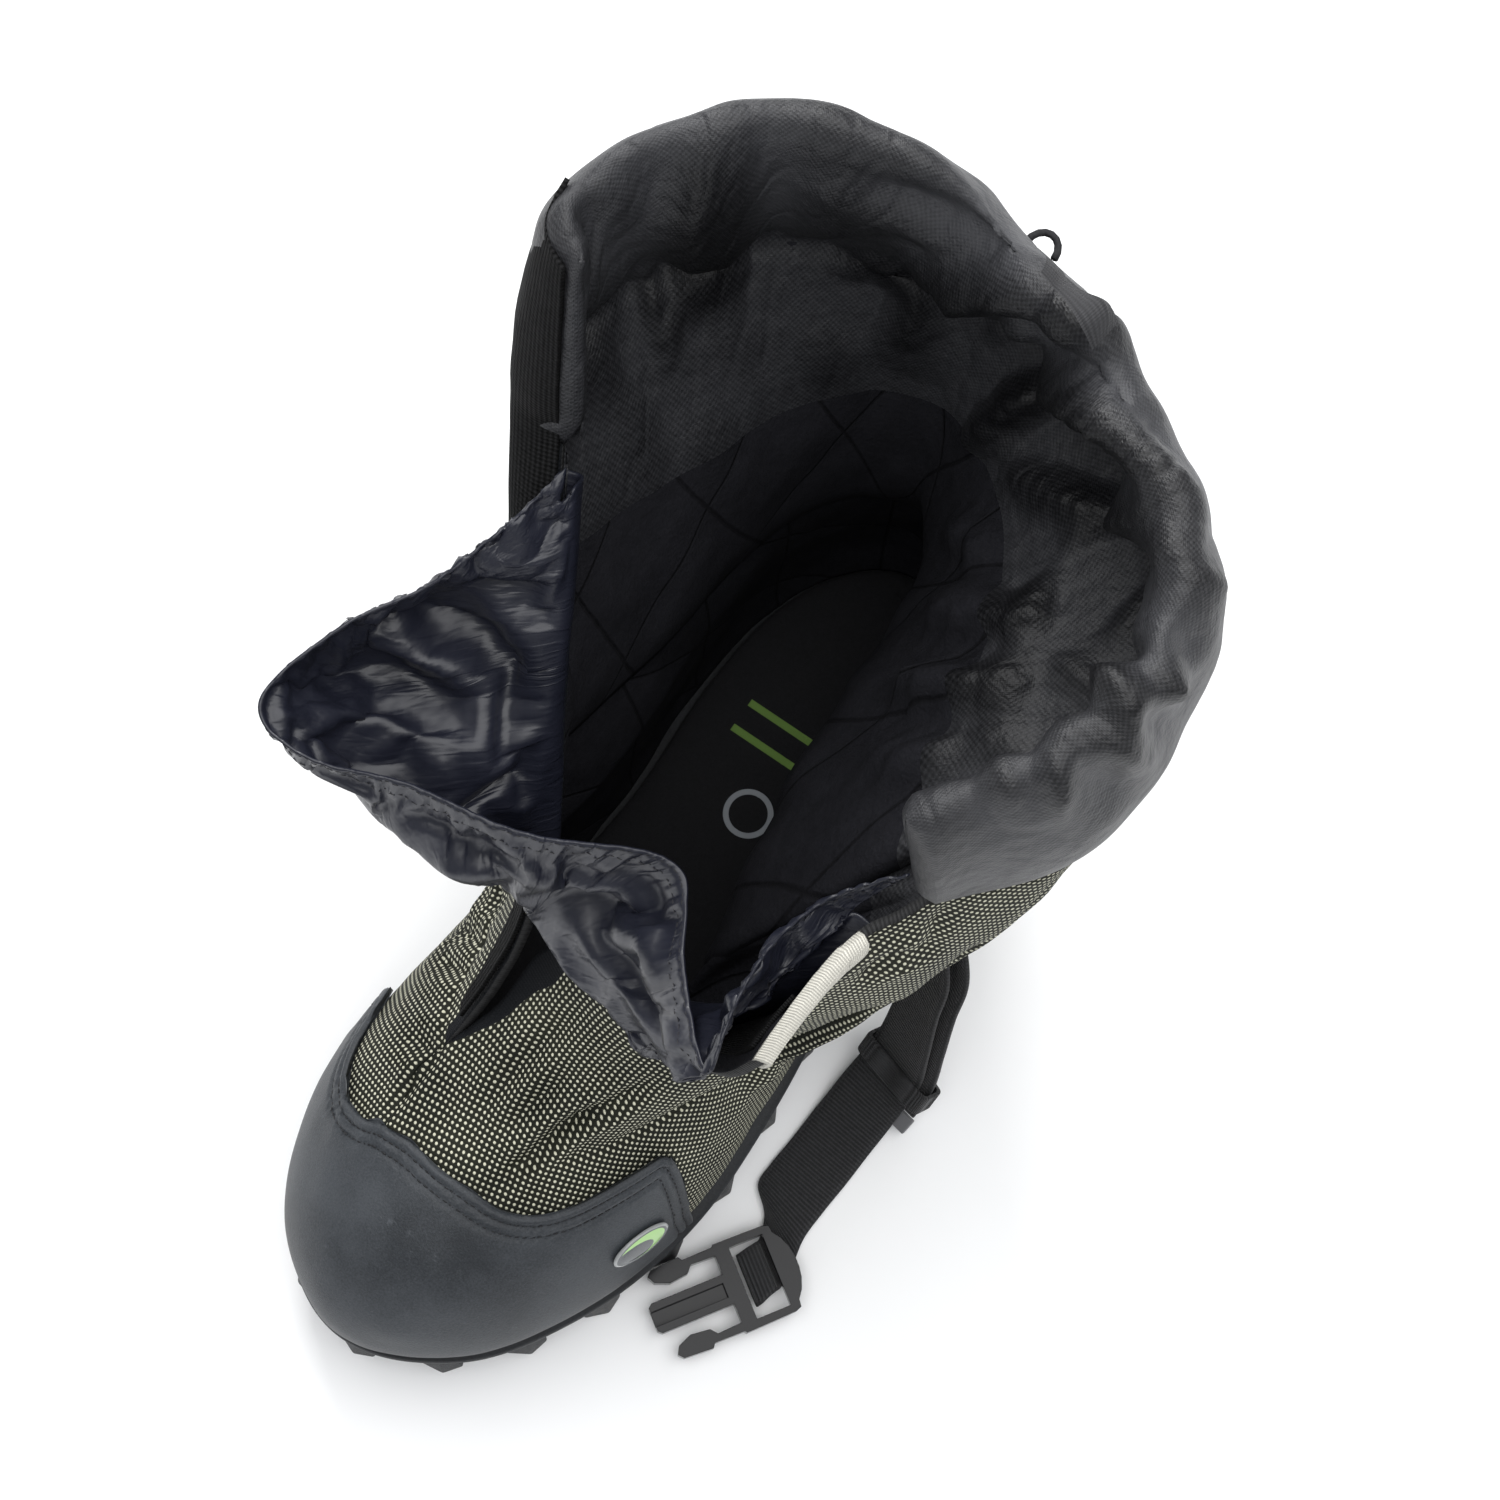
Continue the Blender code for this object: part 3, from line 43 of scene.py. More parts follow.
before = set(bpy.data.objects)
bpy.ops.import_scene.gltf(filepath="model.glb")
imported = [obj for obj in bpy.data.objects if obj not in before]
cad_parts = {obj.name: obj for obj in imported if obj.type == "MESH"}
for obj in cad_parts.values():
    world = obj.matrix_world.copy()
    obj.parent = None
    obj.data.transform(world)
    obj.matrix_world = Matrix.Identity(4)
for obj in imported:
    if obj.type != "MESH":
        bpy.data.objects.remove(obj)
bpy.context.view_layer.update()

MM = 0.001
MERGE = 0.01  # points nearer than this are one
CORNERS = ((-1, -1), (1, -1), (1, 1), (-1, 1))
GAP = 0.35  # between pieces that touch

# Sole
SOLE_LENGTH = 340.0
HEEL_BACK = 48.0  # the heel's back edge, along Y
LUG_HEIGHT = 7.0
LUG_PITCH = 29.0
LUG_REACH = 4.6  # how far an edge lug stands out from the sole's side
LUG_TOP = 5.5  # from the bead down to an edge lug's top
LUG_ROOT = 4.0  # how far the blocks run on into the sole
SOLE_POINTS, LUG_POINTS, FOOTBED_POINTS = 150, 34, 120  # along each side of an outline
SOLE_SPINE = ((0.02, 0.98), (0, -2.4))  # factors and shift that draw its outline to its middle
WELT_DROP = 4.5  # from the sole's top edge down to its bead

# Upper
WALL = 3.2  # shell fabric, insulation and lining
CROWN_POWER = 2.3  # roundness of the upper's section over the foot
RIDGE_END = -150  # behind this place along Y no top line closes the upper
OPEN_CROWN = 400.0
ROW_POINTS = 161
FOLLOW_ROWS = 2.5  # the rows follow the sole's top edge less and less up to this one
MEDIAL_COLUMNS = 24
LATERAL_COLUMNS = 32
FLAP_COLUMNS = 7  # of the lateral ones, those of the wrap flap
FOOT_STEPS = 2  # rows for each row of FOOT_ROWS
SHAFT_STEPS = 7
SHAFT_RUN = 5.0  # how far the shaft's foot runs on in the line of the rows below it
FLAP_START = 0.72  # share of a row from which the flap swells
FLAP_SWELL = (9.0, -8.0, -14.0)
ANKLE_IN = 8.0  # how far the shaft is drawn in over the heel
HEEL_SPAN = 0.12  # share of a row over which it is
MEDIAL_BLEND = 0.2  # share of a row over which the shaft is drawn to the slit's edge
LATERAL_BLEND = 0.36

# Overlays and trim
CAP_GAP = 0.75
CAP_THICK = 2.2
CAP_ROWS = 9
CAP_FOOT = 0.2  # row of the grid where the cap starts above the sole
TAPE_GAP = 1.1
TAPE_WIDTH = 25.0
TAPE_THICK = 1.4
# The tapes start this far from the slit's edge and this many rows above its foot; the hook tape
# widens by rows, and the loop tape keeps clear of the wall and of its last row
HOOK_START, HOOK_FOOT = 0.6, 0.4
HOOK_WIDTHS = ((0, 1, 2, 4, 5), (3, 8, 9, 20, TAPE_WIDTH))
LOOP_START, LOOP_FOOT = 4.0, 5
LOOP_CLEAR = 0.3
TAB_LENGTH = 48.0
TAB_WIDTH = 9.0
TAB_SECTIONS = 60
TAB_ROUND = 7.0  # it grows to its full width over this length at both ends
GUSSET_COLUMNS = 38
GUSSET_RISE_ROWS = 5
GUSSET_SEAM_MEDIAL = 14.0  # its seam lies this far behind the slit's edge
GUSSET_SEAM_LATERAL = (24.0, 56.0)  # at the slit's foot and at the top
GUSSET_BEND_MEDIAL = (-4.5, 1.4, 5.0)  # past the edge, clear of the wall inside, and over its face
GUSSET_SEWN = 1.2  # from the wall inside to its seam
GUSSET_TURN = 6.0  # it turns round no nearer to its seam than this
GUSSET_CLEAR_LATERAL = 7.3  # from the wall inside, to pass the loop tape
COLLAR_LIFT = 1.0  # above the shaft's top edge
COLLAR_END = 45.0  # the collar's padding thins out over this length at its two ends
COLLAR_THINNED = (0.75, 0.5)  # by these shares
COLLAR_TURN = 4  # its section leaves the shaft's direction over the first quarter of its height
INSOLE_INSET = 7.8
BADGE_SIZE = (22.0, 12.0, 1.8)
BADGE_PLACE = (9.05, 4.0)  # column from the seam and row of the cap
BADGE_STEP = 0.4  # of a column or row, to read the cap's slope
BADGE_POINTS = 72
WEBBING_WIDTH = 25.0
WEBBING_THICK = 1.8
STRAP_CLEAR = 1.2  # between the wall and a strap's seam
STRAP_SEAMS = ((-36.0, 82.0), (-50.0, 80.0))  # y and z where the strap is sewn to the quarter
TAIL_SPAN = (-70.0, -117.0)  # y where the spare end starts, and of its tip
TAIL_HEIGHTS = (10.0, 60.0)  # the spare end lies aside and behind the strap by the next two
TAIL_ASIDE = (4.0, 0.5)
TAIL_BENEATH = (2.7, 7.0)
TIP_SIZE = (6.5, 27.0, 2.2)
TIP_CLEAR = 0.8  # past the spare end
KEEPER_Y = -109.0
KEEPER_LENGTH = 9.0
KEEPER_THICK = 1.4
KEEPER_SLACK = 1.5
KEEPER_CLEAR = 0.6  # beside the strap
KEEPER_POINTS = 64
KEEPER_SQUARE = 0.28  # the smaller, the squarer its corners
# Its rounded face: shares of its length from its middle and of its thickness
KEEPER_EDGE = ((-0.5, 0.1), (-0.5, 0.9), (-0.44, 1.0), (0.44, 1.0), (0.5, 0.9), (0.5, 0.1))
BUCKLE_FRONT = (91.4, -202.0)  # middle of the plug's front bar
BUCKLE_ALONG = (-0.55, -0.835)
SOCKET_SEAMS = ((-30.0, 82.0), (-46.0, 80.0), (-58.0, 77.0))
SOCKET_PLACE = (-92.0, 68.0)
SOCKET_LIFT = 6.5
SOCKET_RUN = ((-21.0, -2.4), (-15.0, -2.2), (-11.8, -0.7), (-10.6, 1.6))  # the strap's end in it

# Half-widths of the sole's outline, by the share of its length from the heel's back
OUTLINE = (
    ("share", "medial", "lateral"),
    (0, 0, 0),
    (0.02, 17, 17),
    (0.06, 30, 30),
    (0.15, 42, 43),
    (0.25, 45, 48),
    (0.40, 44, 57),
    (0.50, 48, 63),
    (0.60, 56, 66),
    (0.70, 62, 66),
    (0.80, 63, 59),
    (0.88, 56, 47),
    (0.94, 45, 33),
    (0.98, 29, 15),
    (1, 8, -8),
)

# The sole from the side: height of the tread and of the top edge along Y
SIDE = (
    ("y", "tread", "top"),
    (-292, 13, 35),
    (-270, 7, 31),
    (-240, 1.6, 27.5),
    (-218, 0, 26),
    (-110, 0, 26),
    (-78, 2.5, 27.5),
    (-48, 0, 29.5),
    (30, 0, 30.5),
    (48, 2, 31),
)

# The gusset along the lateral edge: rows above the slit's foot, how far past the edge it bends
# (from its seam where it stays behind it), and its depth there
GUSSET_BEND_LATERAL = (
    ("height", "past", "over"),
    (3, -10, 5),
    (3.6, -6, 5),
    (4.4, -6, 5),
    (5.2, -6, -10.2),
    (5.7, 12, -10.2),
    (6.7, 50, -10.2),
)

# Top line of the foot, from the toe to the instep
RIDGE = (
    ("y", "height"),
    (-292.5, 40),
    (-291, 50),
    (-285, 63),
    (-270, 76),
    (-250, 85),
    (-228, 92),
    (-203, 101),
    (-180, 112),
    (-150, 130),
)

# Closed rows of the upper, from the sole's edge up to the bottom of the slit: front and back
# points, inset from the sole's outline, and where the seam line crosses the row
FOOT_ROWS = (
    ("front_y", "front_z", "back_y", "back_z", "inset", "seam_x"),
    (-289.4, 35.2, 45, 31.5, 2.6, -12),
    (-291.5, 47, 48, 46, 0.4, -14),
    (-284.5, 63.5, 48, 62, 0.8, -20),
    (-262, 80, 46.5, 77, 1.6, -27),
    (-238, 89, 45, 91, 2.4, -32),
    (-224, 94, 44, 104, 3, -28.5),
)

# Top edge of the shaft, from the medial front end round the back to the flap's corner
TOP_EDGE = (
    ("x", "y", "z"),
    (-78, -66, 257),
    (-90, -68, 257),
    (-99, -56, 256),
    (-100, -34, 256),
    (-86, 6, 255),
    (-46, 38, 254),
    (0, 46, 254),
    (46, 36, 254),
    (88, 2, 254),
    (107, -40, 254),
    (104, -84, 254),
    (80, -115, 254),
)

BACK_POINT = 6  # row of TOP_EDGE at the middle of the back

# The slit's two edges, from its foot up
MEDIAL_EDGE = (
    ("x", "y", "z"),
    (-28.5, -203.5, 94),
    (-25, -180, 113),
    (-24, -163, 136),
    (-33, -144, 162),
    (-45, -125, 190),
    (-57, -105, 216),
    (-68, -84, 240),
    (-78, -66, 257),
)

LATERAL_EDGE = (
    ("x", "y", "z"),
    (-28.5, -203.5, 94),
    (-22.5, -191, 103),
    (-18, -171, 118),
    (-15, -161, 132),
    (-2, -160, 146),
    (24, -169, 158),
    (50, -176, 178),
    (65, -171, 214),
)

# Top edge of the flap, from the shaft's lateral front end to the flap's free corner
FLAP_EDGE = (
    ("x", "y", "z"),
    (80, -115, 254),
    (69, -134, 240),
    (66, -153, 228),
    (65, -171, 214),
)

# Top edge of the toe cap, by column from the seam (lateral is positive): row of FOOT_ROWS
CAP_EDGE = (
    ("column", "row"),
    (-7.4, 1),
    (-7, 1.72),
    (-6.3, 2),
    (-5, 2.17),
    (-4, 2.34),
    (-3, 2.58),
    (-2, 2.86),
    (-1, 3.16),
    (0, 3.47),
    (1, 3.75),
    (2, 4),
    (3, 4.15),
    (4, 4.10),
    (5, 3.80),
    (6, 3.55),
    (7, 3.47),
    (8, 3.50),
    (9, 3.55),
    (9.7, 3.53),
    (10.1, 3.30),
    (10.5, 2.70),
    (10.8, 1.70),
)

# Rim of the collar, from the medial front end round the back to the lateral front end
RIM = (
    ("x", "y", "z"),
    (-88, -47, 326),
    (-96, -42, 328),
    (-98, -22, 331),
    (-74, 14, 331),
    (-30, 32, 328),
    (6, 28, 322),
    (48, 11, 319),
    (84, -15, 320),
    (95, -47, 320),
    (88, -82, 313),
    (68, -112, 300),
)

# Section of the collar: share of the way up from the upper's edge to the rim, and distance
# outwards from the line between them
COLLAR_SECTION = (
    ("up", "out"),
    (0, 0),
    (0.22, 5),
    (0.50, 7.5),
    (0.78, 6.5),
    (0.96, 2.5),
    (1.03, -3),
    (0.96, -8.5),
    (0.72, -11),
    (0.42, -9.5),
    (0.15, -6),
    (0, -3.2),
)

# Bellows gusset, from the medial side round its folds to the lateral side: its free hem, the
# belly of the cloth below the hem, and how many rows above the slit's foot it is sewn in
# (medial ones negative)
GUSSET = (
    ("hem_x", "hem_y", "hem_z", "belly_x", "belly_y", "belly_z", "sewn"),
    (-72, -73, 262, -69, -80, 256, -6.7),
    (-77, -94, 256, -76, -99, 246, -6.15),
    (-87, -120, 247, -87, -118, 231, -5.6),
    (-100, -142, 243, -94, -134, 218, -5.1),
    (-104, -175, 237, -88, -156, 209, -4.6),
    (-88, -177, 236, -77, -164, 206, -4.1),
    (-63, -166, 228, -55, -168, 198, -3.4),
    (-30, -157, 218, -28, -165, 182, -2.5),
    (17, -139, 206, -13, -162, 163, 2.7),
    (24, -152, 207, -3, -170, 162, 3.05),
    (36, -167, 210, 16, -177, 172, 3.5),
    (54, -182, 216, 44, -185, 192, 4.2),
    (50, -165, 222, 45, -172, 200, 4.9),
    (49, -146, 230, 43, -158, 206, 5.5),
    (58, -124, 244, 51, -138, 222, 6.1),
    (70, -113, 254, 62, -124, 238, 6.7),
)

# Centre line of the instep strap from its seam to the floor, and the direction of its width
STRAP_PATH = (
    ("x", "y", "z", "wide_x", "wide_y", "wide_z"),
    (62, -66, 77, 0.40, -0.10, 0.90),
    (76, -75, 73, 0.72, -0.30, 0.62),
    (85, -81, 64, 0.72, -0.50, 0.48),
    (88, -89.5, 51, 0.75, -0.52, 0.42),
    (91.5, -99, 34, 0.82, -0.45, 0.32),
    (93.6, -107, 19, 0.90, -0.33, 0.22),
    (93.2, -113.5, 11, 0.95, -0.25, 0.14),
    (92.4, -121, 6.8, 0.98, -0.16, 0.06),
    (91.9, -128, 4.2, 0.99, -0.11, 0.02),
    (91.2, -136, 2.2, 0.99, -0.10, 0),
    (90.3, -150, 1.4, 0.99, -0.10, 0),
    (89.2, -162, 1.4, 0.99, -0.12, 0),
    (89, -171.5, 1.4, 0.96, -0.26, 0),
)

# The strap's run through the buckle, in the buckle's directions, and half its gathered width
STRAP_END = (
    ("along", "across", "height", "half"),
    (-17.5, -7.5, 1.4, 11),
    (-13, -3, 2, 9.2),
    (-11, -2.4, 5.4, 9.2),
    (-8, -1.6, 6.2, 9.4),
    (-5.4, -0.8, 5.8, 9.6),
    (-3.4, -0.4, 4.2, 9.6),
)


def table(rows):
    """The columns of a table by name, as arrays."""
    values = np.array(rows[1:], float)
    return {name: values[:, i] for i, name in enumerate(rows[0])}


def spline(knots, values, at):
    """A smooth curve through values at the knots, read at the given places."""
    knots, values, at = (np.asarray(a, float) for a in (knots, values, at))
    flat = values.ndim == 1
    if flat:
        values = values[:, None]
    step = np.diff(knots)
    rise = np.diff(values, axis=0) / step[:, None]
    slope = np.empty_like(values)
    slope[0], slope[-1] = rise[0], rise[-1]
    weight = (step[1:] / (step[1:] + step[:-1]))[:, None]
    slope[1:-1] = weight * rise[:-1] + (1 - weight) * rise[1:]
    i = np.clip(np.searchsorted(knots, at) - 1, 0, len(step) - 1)
    h = step[i][:, None]
    t = np.clip((at - knots[i]) / step[i], 0, 1)[:, None]
    result = (
        (1 + 2 * t) * (1 - t) ** 2 * values[i]
        + t * (1 - t) ** 2 * h * slope[i]
        + t * t * (3 - 2 * t) * values[i + 1]
        - t * t * (1 - t) * h * slope[i + 1]
    )
    return result[:, 0] if flat else result


def read(columns, key, name, at):
    """A column of a table at values of its key."""
    return spline(columns[key], columns[name], np.atleast_1d(at))


def read_line(at, knots, points):
    """Points of a polyline at places along it, its own points lying at the knots."""
    return np.stack([np.interp(at, knots, column) for column in points.T], axis=-1)


def lengths(points):
    """Distance along a polyline at each of its points."""
    return np.concatenate([[0], np.cumsum(np.linalg.norm(np.diff(points, axis=0), axis=1))])


def spaced(points, count):
    """count + 1 points at even distances along a polyline."""
    along = lengths(points)
    return read_line(np.linspace(0, along[-1], count + 1), along, points)


def curve_through(rows, count):
    """count + 1 even points on a smooth curve through the rows of a table of x, y and z."""
    points = np.array(rows, float)
    knots = lengths(points)
    fine = spline(knots, points, np.linspace(0, knots[-1], 40 * len(points)))
    return spaced(fine, count)


def unit(vectors):
    """Vectors scaled to a length of one."""
    return vectors / np.maximum(np.linalg.norm(vectors, axis=-1, keepdims=True), 1e-9)


outline_columns = table(OUTLINE)
side_columns = table(SIDE)
ridge_columns = table(RIDGE)
foot_columns = table(FOOT_ROWS)


def tread_height(y):
    """Height of the sole's tread over the floor."""
    return np.maximum(read(side_columns, "y", "tread", y), 0.0)


def top_height(y):
    """Height of the sole's top edge."""
    return read(side_columns, "y", "top", y)


def half_widths(share, inset):
    """Medial and lateral half-widths of the outline, drawn in by inset."""
    angle = np.arccos(np.clip(1 - 2 * share, -1, 1))
    knots = np.arccos(1 - 2 * outline_columns["share"])
    medial = spline(knots, outline_columns["medial"], angle)
    lateral = spline(knots, outline_columns["lateral"], angle)
    narrow = inset * np.clip((medial + lateral) / 40, 0, 1)
    return medial - narrow, lateral - narrow


def sole_ring(count):
    """The sole's outline: up the medial side from the heel to the toe, then back."""
    share = (1 - np.cos(np.linspace(0, math.pi, count + 1))) / 2
    medial, lateral = half_widths(share, 0)
    y = HEEL_BACK - SOLE_LENGTH * share
    up = np.column_stack([-medial, y])
    back = np.column_stack([lateral, y])[-2:0:-1]
    return np.concatenate([up, back])


def ring_normals(ring):
    """Outward directions in plan at the points of a closed ring."""
    along = unit(np.roll(ring, -1, axis=0) - np.roll(ring, 1, axis=0))
    normal = np.column_stack([along[:, 1], -along[:, 0]])
    area = np.sum(ring[:, 0] * np.roll(ring[:, 1], -1) - np.roll(ring[:, 0], -1) * ring[:, 1])
    return normal if area > 0 else -normal


def foot_row(name, row):
    """A column of FOOT_ROWS at a row that may lie between two of them."""
    values = foot_columns[name]
    return float(spline(np.arange(len(values)), values, np.atleast_1d(row))[0])


def foot_loop(row):
    """Points of one closed row of the upper: a medial and a lateral branch from front to back."""
    front_y, front_z = foot_row("front_y", row), foot_row("front_z", row)
    back_y, back_z = foot_row("back_y", row), foot_row("back_z", row)
    inset, seam_x = foot_row("inset", row), foot_row("seam_x", row)
    share = (1 - np.cos(np.linspace(0, math.pi, ROW_POINTS))) / 2
    y = front_y + (back_y - front_y) * share
    toe_y = HEEL_BACK - SOLE_LENGTH + inset
    medial, lateral = half_widths((back_y - y) / (back_y - toe_y), inset)
    sole_top = top_height(y)
    front_top, back_top = sole_top[0], sole_top[-1]
    level = front_z + (back_z - front_z) * share
    follow = max(0.0, 1 - row / FOLLOW_ROWS)
    level = level + follow * (sole_top - (front_top + (back_top - front_top) * share))
    ridge = read(ridge_columns, "y", "height", np.minimum(y, RIDGE_END))
    crown = np.where(y < RIDGE_END, ridge, OPEN_CROWN)
    rise = np.clip((level - sole_top) / np.maximum(crown - sole_top, 1), 0, 1) if row > 0 else 0 * y
    close = (1 - rise**CROWN_POWER) ** (1 / CROWN_POWER)
    middle = (lateral - medial) / 2
    half = (lateral + medial) / 2 * close
    half[[0, -1]] = 0
    inner = np.column_stack([middle - half, y, level])
    outer = np.column_stack([middle + half, y, level])
    cut = int(np.argmax(inner[:, 0] < seam_x))
    share = (inner[cut - 1, 0] - seam_x) / (inner[cut - 1, 0] - inner[cut, 0])
    seam = inner[cut - 1] + share * (inner[cut] - inner[cut - 1])
    medial_branch = np.concatenate([[seam], inner[cut:]])
    lateral_branch = np.concatenate([[seam], inner[:cut][::-1], outer[1:]])
    medial_points = spaced(medial_branch, MEDIAL_COLUMNS)
    lateral_points = spaced(lateral_branch, LATERAL_COLUMNS)[::-1]
    return np.concatenate([medial_points, lateral_points[1:]])


def top_loop():
    """The open top edge of the upper, with the flap's edge at its lateral end."""
    rows = TOP_EDGE[1:]
    whole = curve_through(rows, 400)
    back = int(np.argmin(np.linalg.norm(whole - np.array(rows[BACK_POINT]), axis=1)))
    medial = spaced(whole[: back + 1], MEDIAL_COLUMNS)
    lateral = spaced(whole[back:], LATERAL_COLUMNS - FLAP_COLUMNS)
    flap = curve_through(FLAP_EDGE[1:], FLAP_COLUMNS)
    return np.concatenate([medial, lateral[1:], flap[1:]])


def fade(share):
    """One at zero, falling smoothly to nothing at one."""
    share = np.clip(share, 0, 1)
    return (1 - share) ** 2 * (1 + 2 * share)


def upper_grid():
    """All the rows of the upper's outer face, from the sole to the collar."""
    steps = FOOT_STEPS * (len(FOOT_ROWS) - 2)
    foot = [foot_loop(i / FOOT_STEPS) for i in range(steps + 1)]
    low, high = foot[-1], top_loop()
    run = (foot[-1] - foot[-2]) * SHAFT_RUN
    column = np.linspace(0, 1, len(low))
    flap = np.clip((column - FLAP_START) / (1 - FLAP_START), 0, 1)
    medial_edge = curve_through(MEDIAL_EDGE[1:], SHAFT_STEPS)
    lateral_edge = curve_through(LATERAL_EDGE[1:], SHAFT_STEPS)
    heel = np.exp(-(((column - 0.5) / HEEL_SPAN) ** 2))
    shaft = []
    for step in range(1, SHAFT_STEPS + 1):
        t = step / SHAFT_STEPS
        rise = t * t * (3 - 2 * t) * 0.35 + t * 0.65
        line = low + rise * (high - low)
        line = line + (t * (1 - t) ** 2) * run
        swell = math.sin(math.pi * t)
        line += swell * np.outer(np.sin(math.pi * flap), FLAP_SWELL)
        line[:, 1] -= swell * ANKLE_IN * heel
        line += fade(column / MEDIAL_BLEND)[:, None] * (medial_edge[step] - line[0])
        drawn = np.clip(1 - (1 - column) / LATERAL_BLEND, 0, 1) ** 2
        line += drawn[:, None] * (lateral_edge[step] - line[-1])
        shaft.append(line)
    return np.array(foot + shaft)


grid = upper_grid()
slit_row = FOOT_STEPS * (len(FOOT_ROWS) - 2)
last_row = len(grid) - 1
corner_column = MEDIAL_COLUMNS + LATERAL_COLUMNS - FLAP_COLUMNS
last_column = MEDIAL_COLUMNS + LATERAL_COLUMNS


def grid_normals(points):
    """Outward normals of a grid of rows and columns."""
    across = np.gradient(points, axis=1)
    up = np.gradient(points, axis=0)
    return unit(np.cross(up, across))


def closed_grid_normals():
    """Normals of the upper's grid, the same at both ends of a row below the slit."""
    normals = grid_normals(grid)
    for row in range(slit_row + 1):
        around = grid[row]
        across = (around[1] - around[-2])[None]
        up = (grid[min(row + 1, slit_row)][0] - grid[max(row - 1, 0)][0])[None]
        normals[row, 0] = normals[row, -1] = unit(np.cross(up, across))[0]
    for row in range(slit_row + 3, len(grid)):
        normals[row, -4:] = normals[row, -5]
    return normals


normals = closed_grid_normals()


def sheet_faces(rows, columns):
    """Faces of a grid of points."""
    faces = []
    for row in range(rows - 1):
        for column in range(columns - 1):
            a = row * columns + column
            faces.append((a, a + columns, a + columns + 1, a + 1))
    return faces


def collar_sections():
    """Rings of the collar, each from its outer foot over the rim to its inner foot."""
    base = grid[last_row, : corner_column + 1]
    wall_out = normals[last_row, : corner_column + 1]
    rim = curve_through(RIM[1:], corner_column)
    section = table(COLLAR_SECTION)
    along = unit(np.gradient(base, axis=0))
    from_end = lengths(base)
    thin = (fade(run / COLLAR_END) for run in (from_end, from_end[-1] - from_end))
    bulge = 1 - sum(share * each for share, each in zip(COLLAR_THINNED, thin))
    rings = []
    for b, r, n, t, swell in zip(base, rim, wall_out, along, bulge):
        up = r - b
        out = unit(np.cross(up, t))
        if out @ n < 0:
            out = -out
        ring = []
        for share, distance in zip(section["up"], section["out"]):
            turn = min(share * COLLAR_TURN, 1)
            lean = unit((1 - turn) * n + turn * out)
            distance = distance * swell if distance > 0 else distance
            ring.append(b + up * share + unit(up) * COLLAR_LIFT + lean * distance)
        rings.append(ring)
    return np.array(rings)


collar_rings = collar_sections()
collar_rows = int(np.sum(np.diff(table(COLLAR_SECTION)["up"][:5]) > 0))

medial_grid = np.concatenate(
    [grid[:, : corner_column + 1], collar_rings[:, 1 : collar_rows + 1].transpose(1, 0, 2)]
)

medial_normals = np.concatenate(
    [normals[:, : corner_column + 1], grid_normals(medial_grid)[last_row + 1 :]]
)


def near_slit(row, distance, side):
    """Point, outward normal and direction past the edge, this far along a row from the slit.

    A distance below zero lies ahead of the edge, square to it and out over the slit. Medial rows
    go on up the collar.
    """
    if side == "medial":
        lines, leans = medial_grid, medial_normals
    else:
        lines, leans = grid[:, ::-1], normals[:, ::-1]
    low = int(np.clip(math.floor(row), 0, len(lines) - 2))
    part = row - low
    line = (1 - part) * lines[low] + part * lines[low + 1]
    lean = (1 - part) * leans[low] + part * leans[low + 1]
    along = lengths(line)
    ahead = unit(line[0] - line[1])
    rise = np.gradient(lines[:, 0], axis=0)
    up = unit((1 - part) * rise[low] + part * rise[low + 1])
    ahead = unit(ahead - (ahead @ up) * up)
    at = max(distance, 0.0)
    place, normal = read_line(at, along, line), unit(read_line(at, along, lean))
    return place + ahead * max(-distance, 0.0), normal, ahead


def wall_point(y, z, side):
    """Point and outward normal of the upper's outer face at a height and place along it."""
    columns = np.arange(0, MEDIAL_COLUMNS + 1)
    if side == "lateral":
        columns = np.arange(last_column, MEDIAL_COLUMNS - 1, -1)
    places, leans = [], []
    for row in range(1, last_row):
        line = grid[row, columns]
        places.append(read_line(y, line[:, 1], line))
        leans.append(read_line(y, line[:, 1], normals[row, columns]))
    places, leans = np.array(places), np.array(leans)
    return read_line(z, places[:, 2], places), unit(read_line(z, places[:, 2], leans))


def around_seam(row_values, column):
    """Values of a row at a column counted from the seam, lateral columns positive."""
    low = math.floor(column)
    part = column - low
    ends = [row_values[-1 - c] if c > 0 else row_values[-c] for c in (low, low + 1)]
    return (1 - part) * ends[0] + part * ends[1]


def cap_levels(top):
    """Rows of the grid at which the cap has its points: the grid's own, then the cap's edge."""
    whole = np.arange(1, math.floor(top - 0.2) + 1, dtype=float)
    levels = np.concatenate([[CAP_FOOT], whole, np.full(CAP_ROWS, top)])
    return levels[: CAP_ROWS + 1]


def cap_columns():
    """Columns of the cap's grid, close together at its two steep ends."""
    ends = table(CAP_EDGE)["column"]
    whole = np.arange(math.ceil(ends[0]), math.floor(ends[-1]) + 1)
    return np.unique(np.concatenate([ends[[0, 1, 2, -5, -4, -3, -2, -1]], whole]))


def cap_grid(offset):
    """The toe cap's face at a distance from the upper's own outer face."""
    edge = table(CAP_EDGE)
    columns = cap_columns()
    tops = np.interp(columns, edge["column"], edge["row"]) * FOOT_STEPS
    rows = np.arange(slit_row + 1)
    face = np.empty((CAP_ROWS + 1, len(columns), 3))
    for j, column in enumerate(columns):
        path = np.array([around_seam(grid[r], column) for r in rows])
        lean = np.array([around_seam(normals[r], column) for r in rows])
        levels = cap_levels(tops[j])
        face[:, j] = read_line(levels, rows, path) + unit(read_line(levels, rows, lean)) * offset
    return face


